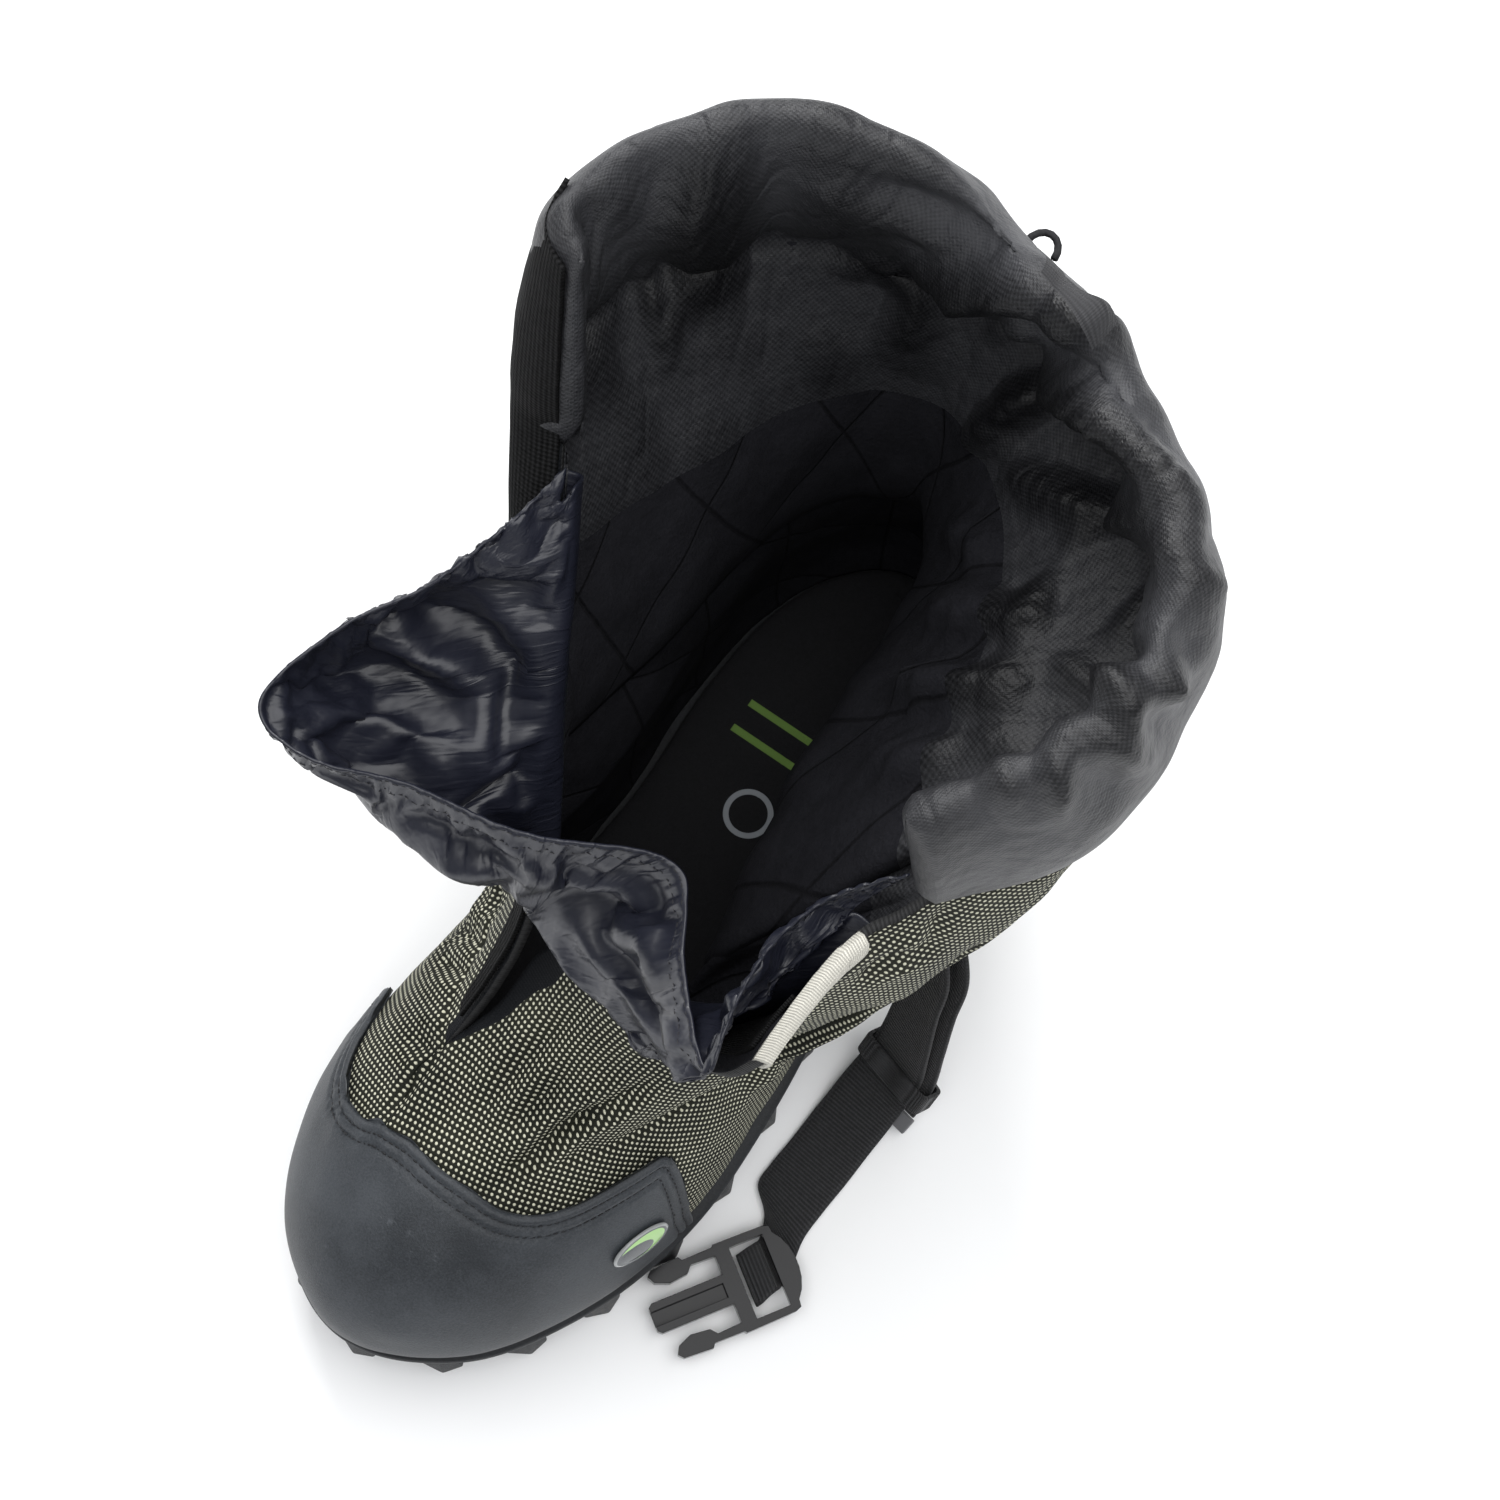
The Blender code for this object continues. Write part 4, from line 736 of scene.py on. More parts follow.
def gusset_seam(sewn):
    """The gusset's way out from its seam: along the wall inside, then round the slit's edge."""
    height = abs(sewn)
    share = height / (last_row - slit_row)
    if sewn < 0:
        side = "medial"
        behind = GUSSET_SEAM_MEDIAL
        past, clear, over = GUSSET_BEND_MEDIAL
    else:
        side = "lateral"
        low, high = GUSSET_SEAM_LATERAL
        behind = low + share * (high - low)
        bend = table(GUSSET_BEND_LATERAL)
        past = min(float(np.interp(height, bend["height"], bend["past"])), behind - GUSSET_TURN)
        clear = GUSSET_CLEAR_LATERAL
        over = float(np.interp(height, bend["height"], bend["over"]))
    row = slit_row + height
    way = ((behind, -WALL - GUSSET_SEWN), ((behind + past) / 2, -WALL - clear))
    way += ((past, -WALL - clear), (past - 1.0, over))
    points = []
    for distance, depth in way:
        point, normal, _ = near_slit(row, distance, side)
        points.append(point + normal * depth)
    return np.array(points)


def gusset_grid():
    """Rows of the gusset from its seam inside the upper, past the slit's edge, to its hem."""
    rows = table(GUSSET)
    key_hem = np.column_stack([rows[f"hem_{axis}"] for axis in "xyz"])
    key_belly = np.column_stack([rows[f"belly_{axis}"] for axis in "xyz"])
    along = lengths(key_hem)
    at = np.linspace(0, along[-1], GUSSET_COLUMNS)
    hem, belly = spline(along, key_hem, at), spline(along, key_belly, at)
    turn = int(np.argmax(rows["sewn"] > 0))
    last_medial, first_lateral = along[turn - 1], along[turn]
    ways = []
    for place, sewn in zip(at, spline(along, rows["sewn"], at)):
        if last_medial < place < first_lateral:
            share = (place - last_medial) / (first_lateral - last_medial)
            ends = [gusset_seam(rows["sewn"][i]) for i in (turn - 1, turn)]
            ways.append((1 - share) * ends[0] + share * ends[1])
        else:
            ways.append(gusset_seam(sewn))
    lines = list(np.array(ways).transpose(1, 0, 2))
    edge = lines[-1]
    control = 2 * belly - (edge + hem) / 2
    for step in range(1, GUSSET_RISE_ROWS + 1):
        t = step / GUSSET_RISE_ROWS
        lines.append((1 - t) ** 2 * edge + 2 * t * (1 - t) * control + t * t * hem)
    return np.array(lines)


def tape_reach(lines, rows, start, width):
    """Distances from the slit's edge across a tape, at the columns of the upper where they fit."""
    reach = []
    for row, wide in zip(rows, width):
        pitch = lengths(lines[min(round(row), len(lines) - 1)])[1:3]
        inner = np.minimum(pitch, (start + 0.4 * (wide - start), start + 0.75 * (wide - start)))
        reach.append([start, *inner, wide])
    return np.array(reach)


def smooth_path(points, wide, step):
    """A path and its widths, drawn smooth with points a step apart."""
    knots = lengths(points)
    at = np.linspace(0, knots[-1], max(2, round(knots[-1] / step)))
    return spline(knots, points, at), spline(knots, wide, at)


def buckle_place(u, v, w):
    """A place on the plug buckle: along it, across it and up."""
    along = np.array([*BUCKLE_ALONG, 0.0])
    across = np.array([-BUCKLE_ALONG[1], BUCKLE_ALONG[0], 0.0])
    start = np.array([*BUCKLE_FRONT, 0.0])
    u, v, w = (np.asarray(a, float)[..., None] for a in (u, v, w))
    return start + u * along + v * across + w * np.array([0.0, 0.0, 1.0])


def seam_run(places, side):
    """The start of a strap along the wall, and half its width there."""
    points, wide = [], []
    for y, z in places:
        point, normal = wall_point(y, z, side)
        points.append(point + normal * (WEBBING_THICK / 2 + STRAP_CLEAR))
        wide.append(unit(np.cross(normal, (0.0, 1.0, 0.0))) * -WEBBING_WIDTH / 2)
    return points, wide


def strap_way():
    """The instep strap's whole path, from its seam on the quarter into the buckle."""
    points, wide = seam_run(STRAP_SEAMS, "lateral")
    rows = np.array(STRAP_PATH[1:], float)
    end = table(STRAP_END)
    middle = buckle_place(end["along"], end["across"], end["height"])
    side = buckle_place(end["along"], end["across"] + end["half"], end["height"]) - middle
    points = np.concatenate([points, rows[:, :3], middle])
    wide = np.concatenate([wide, unit(rows[:, 3:]) * WEBBING_WIDTH / 2, side])
    return points, wide


def strap_frame(points, wide):
    """Directions along a strap, across it and out of the face that ends up on top."""
    along = unit(np.gradient(points, axis=0))
    across = unit(wide)
    return along, across, unit(np.cross(along, across))


def tail_offset(height):
    """How far the spare end lies to the side of the strap and behind it."""
    aside = np.interp(height, TAIL_HEIGHTS, TAIL_ASIDE)
    return aside, np.interp(height, TAIL_HEIGHTS, TAIL_BENEATH)


def socket_place(u, v, w):
    """A place on the socket buckle, which hangs against the inner quarter."""
    point, normal = wall_point(*SOCKET_PLACE, "medial")
    ahead = wall_point(SOCKET_PLACE[0] - 10, SOCKET_PLACE[1] - 2, "medial")[0] - point
    along = unit(ahead - (ahead @ normal) * normal)
    across = np.cross(normal, along)
    u, v, w = (np.asarray(a, float)[..., None] for a in (u, v, w))
    return point + u * along + v * across + (w + SOCKET_LIFT) * normal


def refine(points, rows, columns):
    """A grid drawn finer: so many steps for each of its own, between rows and between columns."""
    for steps in (rows, columns):
        count = len(points)
        at = np.linspace(0, count - 1, (count - 1) * steps + 1)
        flat = points.reshape(count, -1)
        fine = spline(np.arange(count), flat, at)
        points = fine.reshape(len(at), *points.shape[1:]).swapaxes(0, 1)
    return points


SEED_STEP = 17.3


def noise_field(points, size, seed):
    """Smooth noise of about one unit at the points, with features of this size."""
    flat = points.reshape(-1, 3) / size + seed * SEED_STEP
    values = [noise.noise(p) for p in flat.tolist()]
    return np.array(values).reshape(points.shape[:-1])


FOLD_POINTS = 24
# A fold's side, as shares of its width and depth
SHOULDER_PLACE, SHOULDER_WIDTH, SHOULDER_HEIGHT = 1.9, 0.9, 0.35


def fold_heights(points, folds):
    """Heights of the given folds at points: troughs where the depth is positive.

    A fold is (depth, width, places), its places on the part's surface. Its sides stand up a
    little, and it fades out at its ends.
    """
    flat = points.reshape(-1, 3)
    total = np.zeros(len(flat))
    for depth, width, places in folds:
        path = curve_through(places, FOLD_POINTS)
        away = np.linalg.norm(flat[:, None] - path[None], axis=2)
        nearest = np.argmin(away, axis=1)
        distance = away[np.arange(len(flat)), nearest] / width
        ends = np.sin(np.pi * np.clip(nearest / FOLD_POINTS, 0.02, 0.98)) ** 0.6
        trough = np.exp(-(distance**1.3))
        shoulder = np.exp(-(((distance - SHOULDER_PLACE) / SHOULDER_WIDTH) ** 2))
        total += -depth * ends * (trough - SHOULDER_HEIGHT * shoulder)
    return total.reshape(points.shape[:-1])


STIFFNESS = 8.0  # of the cloth that crumples, in its own plane


def crumpled(points, pinned, growth, bending, frames, cap):
    """A grid of cloth let out by growth and held at its pinned points, so that it crumples.

    No point moves by more than cap in millimetres.
    """
    made = make_sheet("crumple", points)
    holds = made.vertex_groups.new(name="held")
    for value in np.unique(pinned):
        if value > 0:
            holds.add(np.flatnonzero(pinned.reshape(-1) == value).tolist(), float(value), "REPLACE")
    cloth = made.modifiers.new("cloth", "CLOTH")
    settings = {
        "vertex_group_mass": "held", "shrink_min": -growth, "tension_stiffness": STIFFNESS,
        "compression_stiffness": STIFFNESS, "shear_stiffness": STIFFNESS,
        "bending_stiffness": bending, "pin_stiffness": 6.0, "quality": 4,
    }
    for name, value in settings.items():
        setattr(cloth.settings, name, value)
    cloth.settings.effector_weights.gravity = 0.0
    cloth.collision_settings.use_collision = False
    scene = bpy.context.scene
    for number in range(1, frames + 1):
        scene.frame_set(number)
    graph = bpy.context.evaluated_depsgraph_get()
    settled = np.empty(points.size)
    made.evaluated_get(graph).data.vertices.foreach_get("co", settled)
    settled = settled.reshape(points.shape) / MM
    scene.frame_set(1)
    bpy.data.objects.remove(made)
    moved = settled - points
    size = np.linalg.norm(moved, axis=-1, keepdims=True)
    return points + moved * np.tanh(size / cap) * cap / np.maximum(size, 1e-6)


def added(name, data):
    """A new object of this data, in the scene."""
    made = bpy.data.objects.new(name, data)
    bpy.context.scene.collection.objects.link(made)
    return made


def make_mesh(name, points, faces, material=None, weave=None):
    """A piece from points in millimetres; weave holds its cloth's own coordinates at them."""
    mesh = bpy.data.meshes.new(name)
    mesh.from_pydata((np.asarray(points, float) * MM).tolist(), [], faces)
    if weave is not None:
        places = mesh.attributes.new("weave", "FLOAT_VECTOR", "POINT")
        places.data.foreach_set("vector", np.asarray(weave, np.float32).reshape(-1))
    mesh.update()
    mesh.shade_smooth()
    if material:
        mesh.materials.append(material)
    return added(name, mesh)


def make_sheet(name, face, material=None, weave=None):
    """A sheet through a grid of points in millimetres."""
    return make_mesh(name, face.reshape(-1, 3), sheet_faces(*face.shape[:2]), material, weave)


def weave_marks(face, across, along, third=0.0):
    """A cloth's own coordinates at the points of a grid, with a third mark."""
    marks = np.empty(face.shape)
    marks[..., 0], marks[..., 1], marks[..., 2] = across, along, third
    return marks


def reworked(made, change):
    """A piece whose mesh is changed in place."""
    work = bmesh.new()
    work.from_mesh(made.data)
    change(work)
    work.to_mesh(made.data)
    work.free()
    return made


def merged(made):
    """Merges a piece's points that lie together."""
    return reworked(
        made, lambda work: bmesh.ops.remove_doubles(work, verts=work.verts, dist=MERGE * MM)
    )


def turned_outwards(made):
    """Points a closed piece's faces out."""
    return reworked(made, lambda work: bmesh.ops.recalc_face_normals(work, faces=work.faces))


def walled(made, thickness, inside=0, rim=0):
    """Gives a sheet its wall, inwards from its faces."""
    wall = made.modifiers.new("wall", "SOLIDIFY")
    wall.thickness = thickness * MM
    wall.offset = -1
    wall.use_quality_normals = False
    wall.material_offset = inside
    wall.material_offset_rim = rim
    return made


def line_in(face, distance):
    """The line on a grid this far in from its last row."""
    paths = face[::-1].swapaxes(0, 1)
    return np.array([read_line(distance, lengths(path), path) for path in paths])


STITCH_LENGTH = 0.4  # half of a stitch, as a share of the pitch


def stitch_tree():
    """A node tree that sets stitches along the edges of a mesh."""
    tree = bpy.data.node_groups.new("stitches", "GeometryNodeTree")
    for name, way, kind in (
        ("Geometry", "INPUT", "Geometry"), ("Pitch", "INPUT", "Float"),
        ("Thickness", "INPUT", "Float"), ("Thread", "INPUT", "Material"),
        ("Geometry", "OUTPUT", "Geometry"),
    ):
        tree.interface.new_socket(name, in_out=way, socket_type=f"NodeSocket{kind}")
    kinds = {
        "start": "NodeGroupInput", "curve": "GeometryNodeMeshToCurve",
        "spaced": "GeometryNodeResampleCurve", "bead": "GeometryNodeMeshUVSphere",
        "tangent": "GeometryNodeInputTangent", "turn": "FunctionNodeAlignRotationToVector",
        "long": "ShaderNodeMath", "size": "ShaderNodeCombineXYZ",
        "set": "GeometryNodeInstanceOnPoints", "real": "GeometryNodeRealizeInstances",
        "dress": "GeometryNodeSetMaterial", "end": "NodeGroupOutput",
    }
    nodes = {name: tree.nodes.new(kind) for name, kind in kinds.items()}
    nodes["spaced"].mode = "LENGTH"
    nodes["turn"].axis = "Z"
    nodes["long"].operation = "MULTIPLY"
    nodes["long"].inputs[1].default_value = STITCH_LENGTH
    nodes["bead"].inputs["Segments"].default_value = 6
    nodes["bead"].inputs["Rings"].default_value = 4
    nodes["bead"].inputs["Radius"].default_value = 1.0
    for source, out, target, into in (
        ("start", "Geometry", "curve", "Mesh"), ("curve", "Curve", "spaced", "Curve"),
        ("start", "Pitch", "spaced", "Length"), ("spaced", "Curve", "set", "Points"),
        ("bead", "Mesh", "set", "Instance"), ("tangent", "Tangent", "turn", "Vector"),
        ("turn", "Rotation", "set", "Rotation"), ("start", "Pitch", "long", 0),
        ("start", "Thickness", "size", "X"), ("start", "Thickness", "size", "Y"),
        ("long", 0, "size", "Z"), ("size", "Vector", "set", "Scale"),
        ("set", "Instances", "real", "Geometry"), ("real", "Geometry", "dress", "Geometry"),
        ("start", "Thread", "dress", "Material"), ("dress", "Geometry", "end", "Geometry"),
    ):
        tree.links.new(nodes[source].outputs[out], nodes[target].inputs[into])
    return tree


def stitches(name, paths, pitch, thickness, thread):
    """Lines of stitches along paths in millimetres, as one piece."""
    points, edges = [], []
    for path in paths:
        start = len(points)
        points += (np.asarray(path) * MM).tolist()
        edges += [(i, i + 1) for i in range(start, len(points) - 1)]
    lines = bpy.data.meshes.new(name)
    lines.from_pydata(points, edges, [])
    made = added(name, lines)
    tree = bpy.data.node_groups.get("stitches") or stitch_tree()
    sewn = made.modifiers.new("sewn", "NODES")
    sewn.node_group = tree
    values = {"Pitch": pitch * MM, "Thickness": thickness * MM, "Thread": thread}
    for item in tree.interface.items_tree:
        if item.name in values:
            sewn[item.identifier] = values[item.name]
    graph = bpy.context.evaluated_depsgraph_get()
    mesh = bpy.data.meshes.new_from_object(made.evaluated_get(graph))
    bpy.data.objects.remove(made)
    mesh.shade_smooth()
    mesh.materials.clear()
    mesh.materials.append(thread)
    return added(name, mesh)


def lean_out(face, column):
    """Normals of a fine grid along one of its columns."""
    along = np.gradient(face[:, column], axis=0)
    return unit(np.cross(along, face[:, column + 1] - face[:, column - 1]))


def settle(piece, slot, *nodes):
    """Rides a piece on the shoe and hides the solids that it stands for; slot is not used."""
    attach(piece, "root")
    if nodes:
        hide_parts(*nodes)
    return piece


class Value:
    """A value on a surface: arithmetic on it adds the Math nodes."""

    def __init__(self, tree, socket):
        self.tree = tree
        self.socket = socket

    def math(self, operation, *others):
        node = self.tree.nodes.new("ShaderNodeMath")
        node.operation = operation
        for place, value in enumerate((self, *others)):
            join(self.tree, node.inputs[place], value)
        return Value(self.tree, node.outputs[0])

    def __add__(self, other):
        return self.math("ADD", other)

    __radd__ = __add__

    def __sub__(self, other):
        return self.math("SUBTRACT", other)

    def __rsub__(self, other):
        return self * -1 + other

    def __mul__(self, other):
        return self.math("MULTIPLY", other)

    __rmul__ = __mul__

    def __truediv__(self, other):
        return self.math("DIVIDE", other)

    def __pow__(self, other):
        return self.math("POWER", other)

    def from_half(self):
        """Distance from a half."""
        return (self - 0.5).math("ABSOLUTE")

    def to_cell(self):
        """Distance from the middle of a repeat of one, from 0 to 0.5."""
        return self.math("FRACT").from_half()

    def lines(self, width):
        """Thin lines where the value passes a half."""
        return 1 - self.from_half().between(0.0, width)

    def length(self, other):
        """Length of a vector with these two parts."""
        return (self ** 2 + other ** 2).math("SQRT")

    def between(self, low, high):
        """0 below low, 1 above high and a smooth step from one to the other."""
        node = self.tree.nodes.new("ShaderNodeMapRange")
        node.interpolation_type = "SMOOTHSTEP"
        for name, value in (("Value", self), ("From Min", low), ("From Max", high)):
            join(self.tree, node.inputs[name], value)
        return Value(self.tree, node.outputs[0])


def join(tree, socket, value):
    """Links a value to a socket, or sets the socket to a constant."""
    if isinstance(value, Value):
        tree.links.new(value.socket, socket)
    else:
        socket.default_value = value


class Finish:
    """The nodes of one finish on a Principled shader."""

    def __init__(self, name, **settings):
        self.material = bpy.data.materials.new(name)
        self.material.use_nodes = True
        self.tree = self.material.node_tree
        self.shader = self.tree.nodes["Principled BSDF"]
        for key, value in settings.items():
            title = key.replace("_", " ").title().replace("Ior", "IOR")
            self.shader.inputs[title].default_value = value

    def node(self, kind, settings=None, sockets=None, output=0):
        node = self.tree.nodes.new(kind)
        for key, value in (settings or {}).items():
            setattr(node, key, value)
        for key, value in (sockets or {}).items():
            join(self.tree, node.inputs[key], value)
        return Value(self.tree, node.outputs[output])

    def place(self):
        """Where the point lies on the shoe, in metres."""
        return self.node("ShaderNodeTexCoord", output="Object")

    def weave(self):
        """A cloth's own coordinates in millimetres: across, along and a third mark."""
        return self.split(self.node("ShaderNodeAttribute", {"attribute_name": "weave"}, output="Vector"))

    def drawn(self, across, along, share):
        """A place on the cloth, whose features are drawn out along it as the share grows small."""
        sockets = {"X": across * MM, "Y": along * MM * share, "Z": 0.0}
        return self.node("ShaderNodeCombineXYZ", None, sockets)

    def split(self, vector):
        node = self.tree.nodes.new("ShaderNodeSeparateXYZ")
        join(self.tree, node.inputs[0], vector)
        return [Value(self.tree, socket) for socket in node.outputs]

    def noise(self, size, detail=3.0, roughness=0.55, at=None):
        """Noise from 0 to 1 with features of this size in millimetres."""
        sockets = {"Vector": at or self.place(), "Scale": 1000.0 / size, "Detail": detail}
        sockets["Roughness"] = roughness
        return self.node("ShaderNodeTexNoise", {"noise_dimensions": "3D"}, sockets)

    def mix(self, factor, first, second):
        """A colour between two others."""
        node = self.tree.nodes.new("ShaderNodeMix")
        node.data_type = "RGBA"
        for place, value in ((0, factor), (6, first), (7, second)):
            if not isinstance(value, (Value, float, int)):
                value = (*value, 1.0)
            join(self.tree, node.inputs[place], value)
        return Value(self.tree, node.outputs[2])

    def bump(self, height, distance, strength=1.0, under=None):
        """A relief of this height in millimetres, over another if it is given."""
        sockets = {"Height": height, "Distance": distance * MM, "Strength": strength}
        if under:
            sockets["Normal"] = under
        return self.node("ShaderNodeBump", None, sockets)

    def ends(self, color=None, roughness=None, normal=None, **others):
        """Links what varies to the shader and gives the material."""
        links = {"Base Color": color, "Roughness": roughness, "Normal": normal, **others}
        for name, value in links.items():
            if value is not None:
                if isinstance(value, tuple):
                    value = (*value, 1.0)
                join(self.tree, self.shader.inputs[name], value)
        return self.material


BARE_EDGE = 6.4  # the shell's cloth is bare and black this far in from its edge
NYLON_PITCH = 0.28
THREAD_PITCH = 0.45  # of the coated nylon
QUILT_PITCH = 46.0  # of the lining's diamonds
RIB_PITCH = 1.35  # of the webbing
BRAID_PITCH = 0.0011  # of the cord, in metres


def dotted_cloth(options):
    """Dark olive basket weave with a pale dot in each cell."""
    finish = Finish("shell_weave", specular_ior_level=0.25)
    across, along, edge = finish.weave()
    wander = finish.noise(9.0, 2.0)
    u = (across + wander * 0.5) / options.dot_pitch
    v = (along + wander * 0.5) / options.dot_pitch
    dot = 1 - u.to_cell().length(v.to_cell()).between(0.20, 0.33)
    yarn = (u * 2).to_cell() + (v * 2).to_cell()
    worn = finish.noise(28.0, 4.0).between(0.25, 0.75)
    fleck = finish.noise(1.6, 2.0)
    ground = finish.mix(worn, (0.007, 0.008, 0.005), (0.020, 0.021, 0.013))
    pale = finish.mix(fleck, options.dot_color, (0.84, 0.83, 0.66))
    bare = edge.between(BARE_EDGE - 0.4, BARE_EDGE)
    ground = finish.mix(bare, (0.004, 0.005, 0.007), ground)
    dot = dot * bare
    color = finish.mix(dot * (worn * 0.25 + 0.75), ground, pale)
    relief = dot * 0.8 + yarn * 0.5 + fleck * 0.2
    return finish.ends(color, 0.78 - dot * 0.15, finish.bump(relief, 0.35))


def plain_cloth():
    """The collar's plain-woven nylon, with painted shade in its folds and painted light on their crests.
    """
    finish = Finish("collar_nylon", specular_ior_level=0.5)
    across, along, lift = finish.weave()
    u, v = across / NYLON_PITCH, along / NYLON_PITCH
    weft = (u * 0.5).to_cell() * 2
    warp = (v * 0.5).to_cell() * 2
    cross = (u.math("SINE") * v.math("SINE") + 1) * 0.5
    fleck = finish.noise(2.2, 3.0)
    cloud = finish.noise(35.0, 3.0)
    relief = cross * 0.6 + weft * 0.2 + warp * 0.2
    # painted shade and light: lift, the fold's height, darkens the troughs and lightens the crests
    tone = cross * 0.2 + fleck * 0.2 + cloud * 0.2 + lift.between(-9.0, 11.0) * 0.6
    color = finish.mix(tone.between(0.2, 1.0), (0.003, 0.003, 0.004), (0.070, 0.071, 0.078))
    crease = finish.noise(22.0, 2.0, 0.5, finish.drawn(across, along, 0.4)).lines(0.08)
    crinkle = finish.noise(7.0, 4.0, 0.6) + finish.noise(22.0, 2.0) * 0.8 - crease * 0.3
    under = finish.bump(crinkle, 1.6, 0.8)
    return finish.ends(color, 0.43 + fleck * 0.12, finish.bump(relief, 0.16, 0.8, under))


def coated_cloth():
    """Thin shiny coated nylon with sharp small creases."""
    finish = Finish("coated_nylon", specular_ior_level=0.75)
    across, along, _ = finish.weave()
    u, v = across / THREAD_PITCH, along / THREAD_PITCH
    thread = (u.math("SINE") * v.math("SINE") + 1) * 0.5
    broad = finish.noise(26.0, 3.0)
    fine = finish.noise(9.0, 3.0, 0.5, finish.drawn(across, along, 0.3))
    color = finish.mix(broad, (0.004, 0.005, 0.011), (0.022, 0.024, 0.039))
    facet = finish.noise(20.0, 2.0, 0.5).lines(0.2)
    under = finish.bump(fine * 1.2 + fine.lines(0.07) * 0.25 + facet * 0.4, 1.0, 0.5)
    return finish.ends(color, 0.32 + broad * 0.14, finish.bump(thread, 0.05, 0.5, under))


def fleece():
    """Black needled fleece, quilted in long diamonds."""
    finish = Finish("lining_fleece", specular_ior_level=0.15)
    across, along, _ = finish.weave()
    pile = finish.noise(1.3, 4.0, 0.7)
    clump = finish.noise(6.0, 3.0, 0.6)
    one = ((across + along * 0.45) / QUILT_PITCH).to_cell()
    two = ((across - along * 0.45) / QUILT_PITCH).to_cell()
    seam = 1 - one.between(0.0, 0.022) * two.between(0.0, 0.022)
    puff = one.between(0.0, 0.3) * two.between(0.0, 0.3)
    color = finish.mix(pile * 0.6 + clump * 0.4, (0.006, 0.006, 0.008), (0.030, 0.030, 0.036))
    color = finish.mix(seam * 0.5, color, (0.003, 0.003, 0.003))
    under = finish.bump(puff - seam * 0.5, 1.8, 0.8)
    return finish.ends(color, 0.92, finish.bump(pile + clump, 0.7, 0.9, under))


def tape_cloth(name, color, rib, gloss=0.7):
    """Narrow woven tape with ribs across it."""
    finish = Finish(name)
    across, along, _ = finish.weave()
    ribs = (along / rib).to_cell() * 2
    rows = (across / (rib * 0.6)).to_cell() * 2
    fleck = finish.noise(1.5, 3.0)
    dark = tuple(channel * 0.55 for channel in color)
    shade = finish.mix(ribs * 0.6 + fleck * 0.4, dark, color)
    return finish.ends(shade, gloss + fleck * 0.15, finish.bump(ribs + rows * 0.4, 0.35, 0.9))


def hook_cloth(name, size, height):
    """Hook or loop tape: a dense field of small hooks or loops."""
    finish = Finish(name, specular_ior_level=0.15)
    across, along, _ = finish.weave()
    row = (across / size).to_cell() * 2
    pick = (along / (size * 0.8)).to_cell() * 2
    tangle = finish.noise(size * 0.9, 3.0, 0.7)
    tuft = (1 - row) * 0.5 + (1 - pick) * 0.3 + tangle * 0.6
    color = finish.mix(tuft.between(0.3, 1.2), (0.002, 0.002, 0.002), (0.020, 0.020, 0.021))
    return finish.ends(color, 0.85, finish.bump(tuft, height, 1.0))


def rubber(name, dark, pale, gloss, grain, dust=0.0):
    """Moulded rubber: fine grain, cloudy bloom, scuffs and a little dust."""
    finish = Finish(name, specular_ior_level=0.4)
    fine = finish.noise(grain, 4.0, 0.65)
    bloom = finish.noise(30.0, 4.0)
    streak = finish.noise(8.0, 6.0, 0.75).between(0.60, 0.72)
    color = finish.mix((bloom * 0.5 + fine * 0.5).between(0.3, 0.7), dark, pale)
    soil = tuple(min(1.0, channel * 2.2 + 0.02) for channel in pale)
    color = finish.mix(streak * 0.25, color, soil)
    if dust:
        _, _, height = finish.split(finish.place())
        low = 1 - (height * 1000).between(2.0, 22.0)
        grime = finish.noise(5.0, 5.0, 0.7).between(0.4, 0.75)
        color = finish.mix(low * grime * dust, color, (0.16, 0.155, 0.145))
    rough = gloss + bloom * 0.12 + streak * 0.1
    return finish.ends(color, rough, finish.bump(fine + streak * 0.3, 0.22, 0.9))


def moulded(name, dark, gloss):
    """Injection-moulded plastic with a faint mould texture."""
    finish = Finish(name, specular_ior_level=0.4)
    fine = finish.noise(0.8, 3.0)
    cloud = finish.noise(14.0, 3.0)
    pale = tuple(channel * 1.7 for channel in dark)
    scratch = finish.noise(3.0, 6.0, 0.8).between(0.62, 0.70)
    color = finish.mix(cloud, dark, pale)
    rough = gloss + fine * 0.06 + scratch * 0.12
    return finish.ends(color, rough, finish.bump(fine + scratch * 0.4, 0.02, 0.3))


def badge_gloss():
    """Glossy dark dome with a plain pale-green crescent and a pale grey rim, a chrome-like edge with a
    painted highlight.
    """
    finish = Finish("badge_gloss", coat_weight=0.8, coat_roughness=0.08)
    across, up, _ = finish.weave()
    ring = (across * across + up * up).math("SQRT")
    inner = (across + 0.30).length(up + 0.08)
    crescent = inner.between(0.66, 0.69) * (1 - ring.between(0.82, 0.85))
    edge = ring.between(0.90, 0.93)
    fleck = finish.noise(1.2, 2.0)
    color = finish.mix(fleck, (0.030, 0.036, 0.042), (0.050, 0.058, 0.066))
    color = finish.mix(crescent, color, (0.36, 0.60, 0.22))
    # the pale grey rim: a chrome-like edge with a painted highlight
    color = finish.mix(edge, color, (0.30, 0.31, 0.31))
    return finish.ends(color, 0.22 + fleck * 0.06, finish.bump(crescent, 0.06, 0.5))


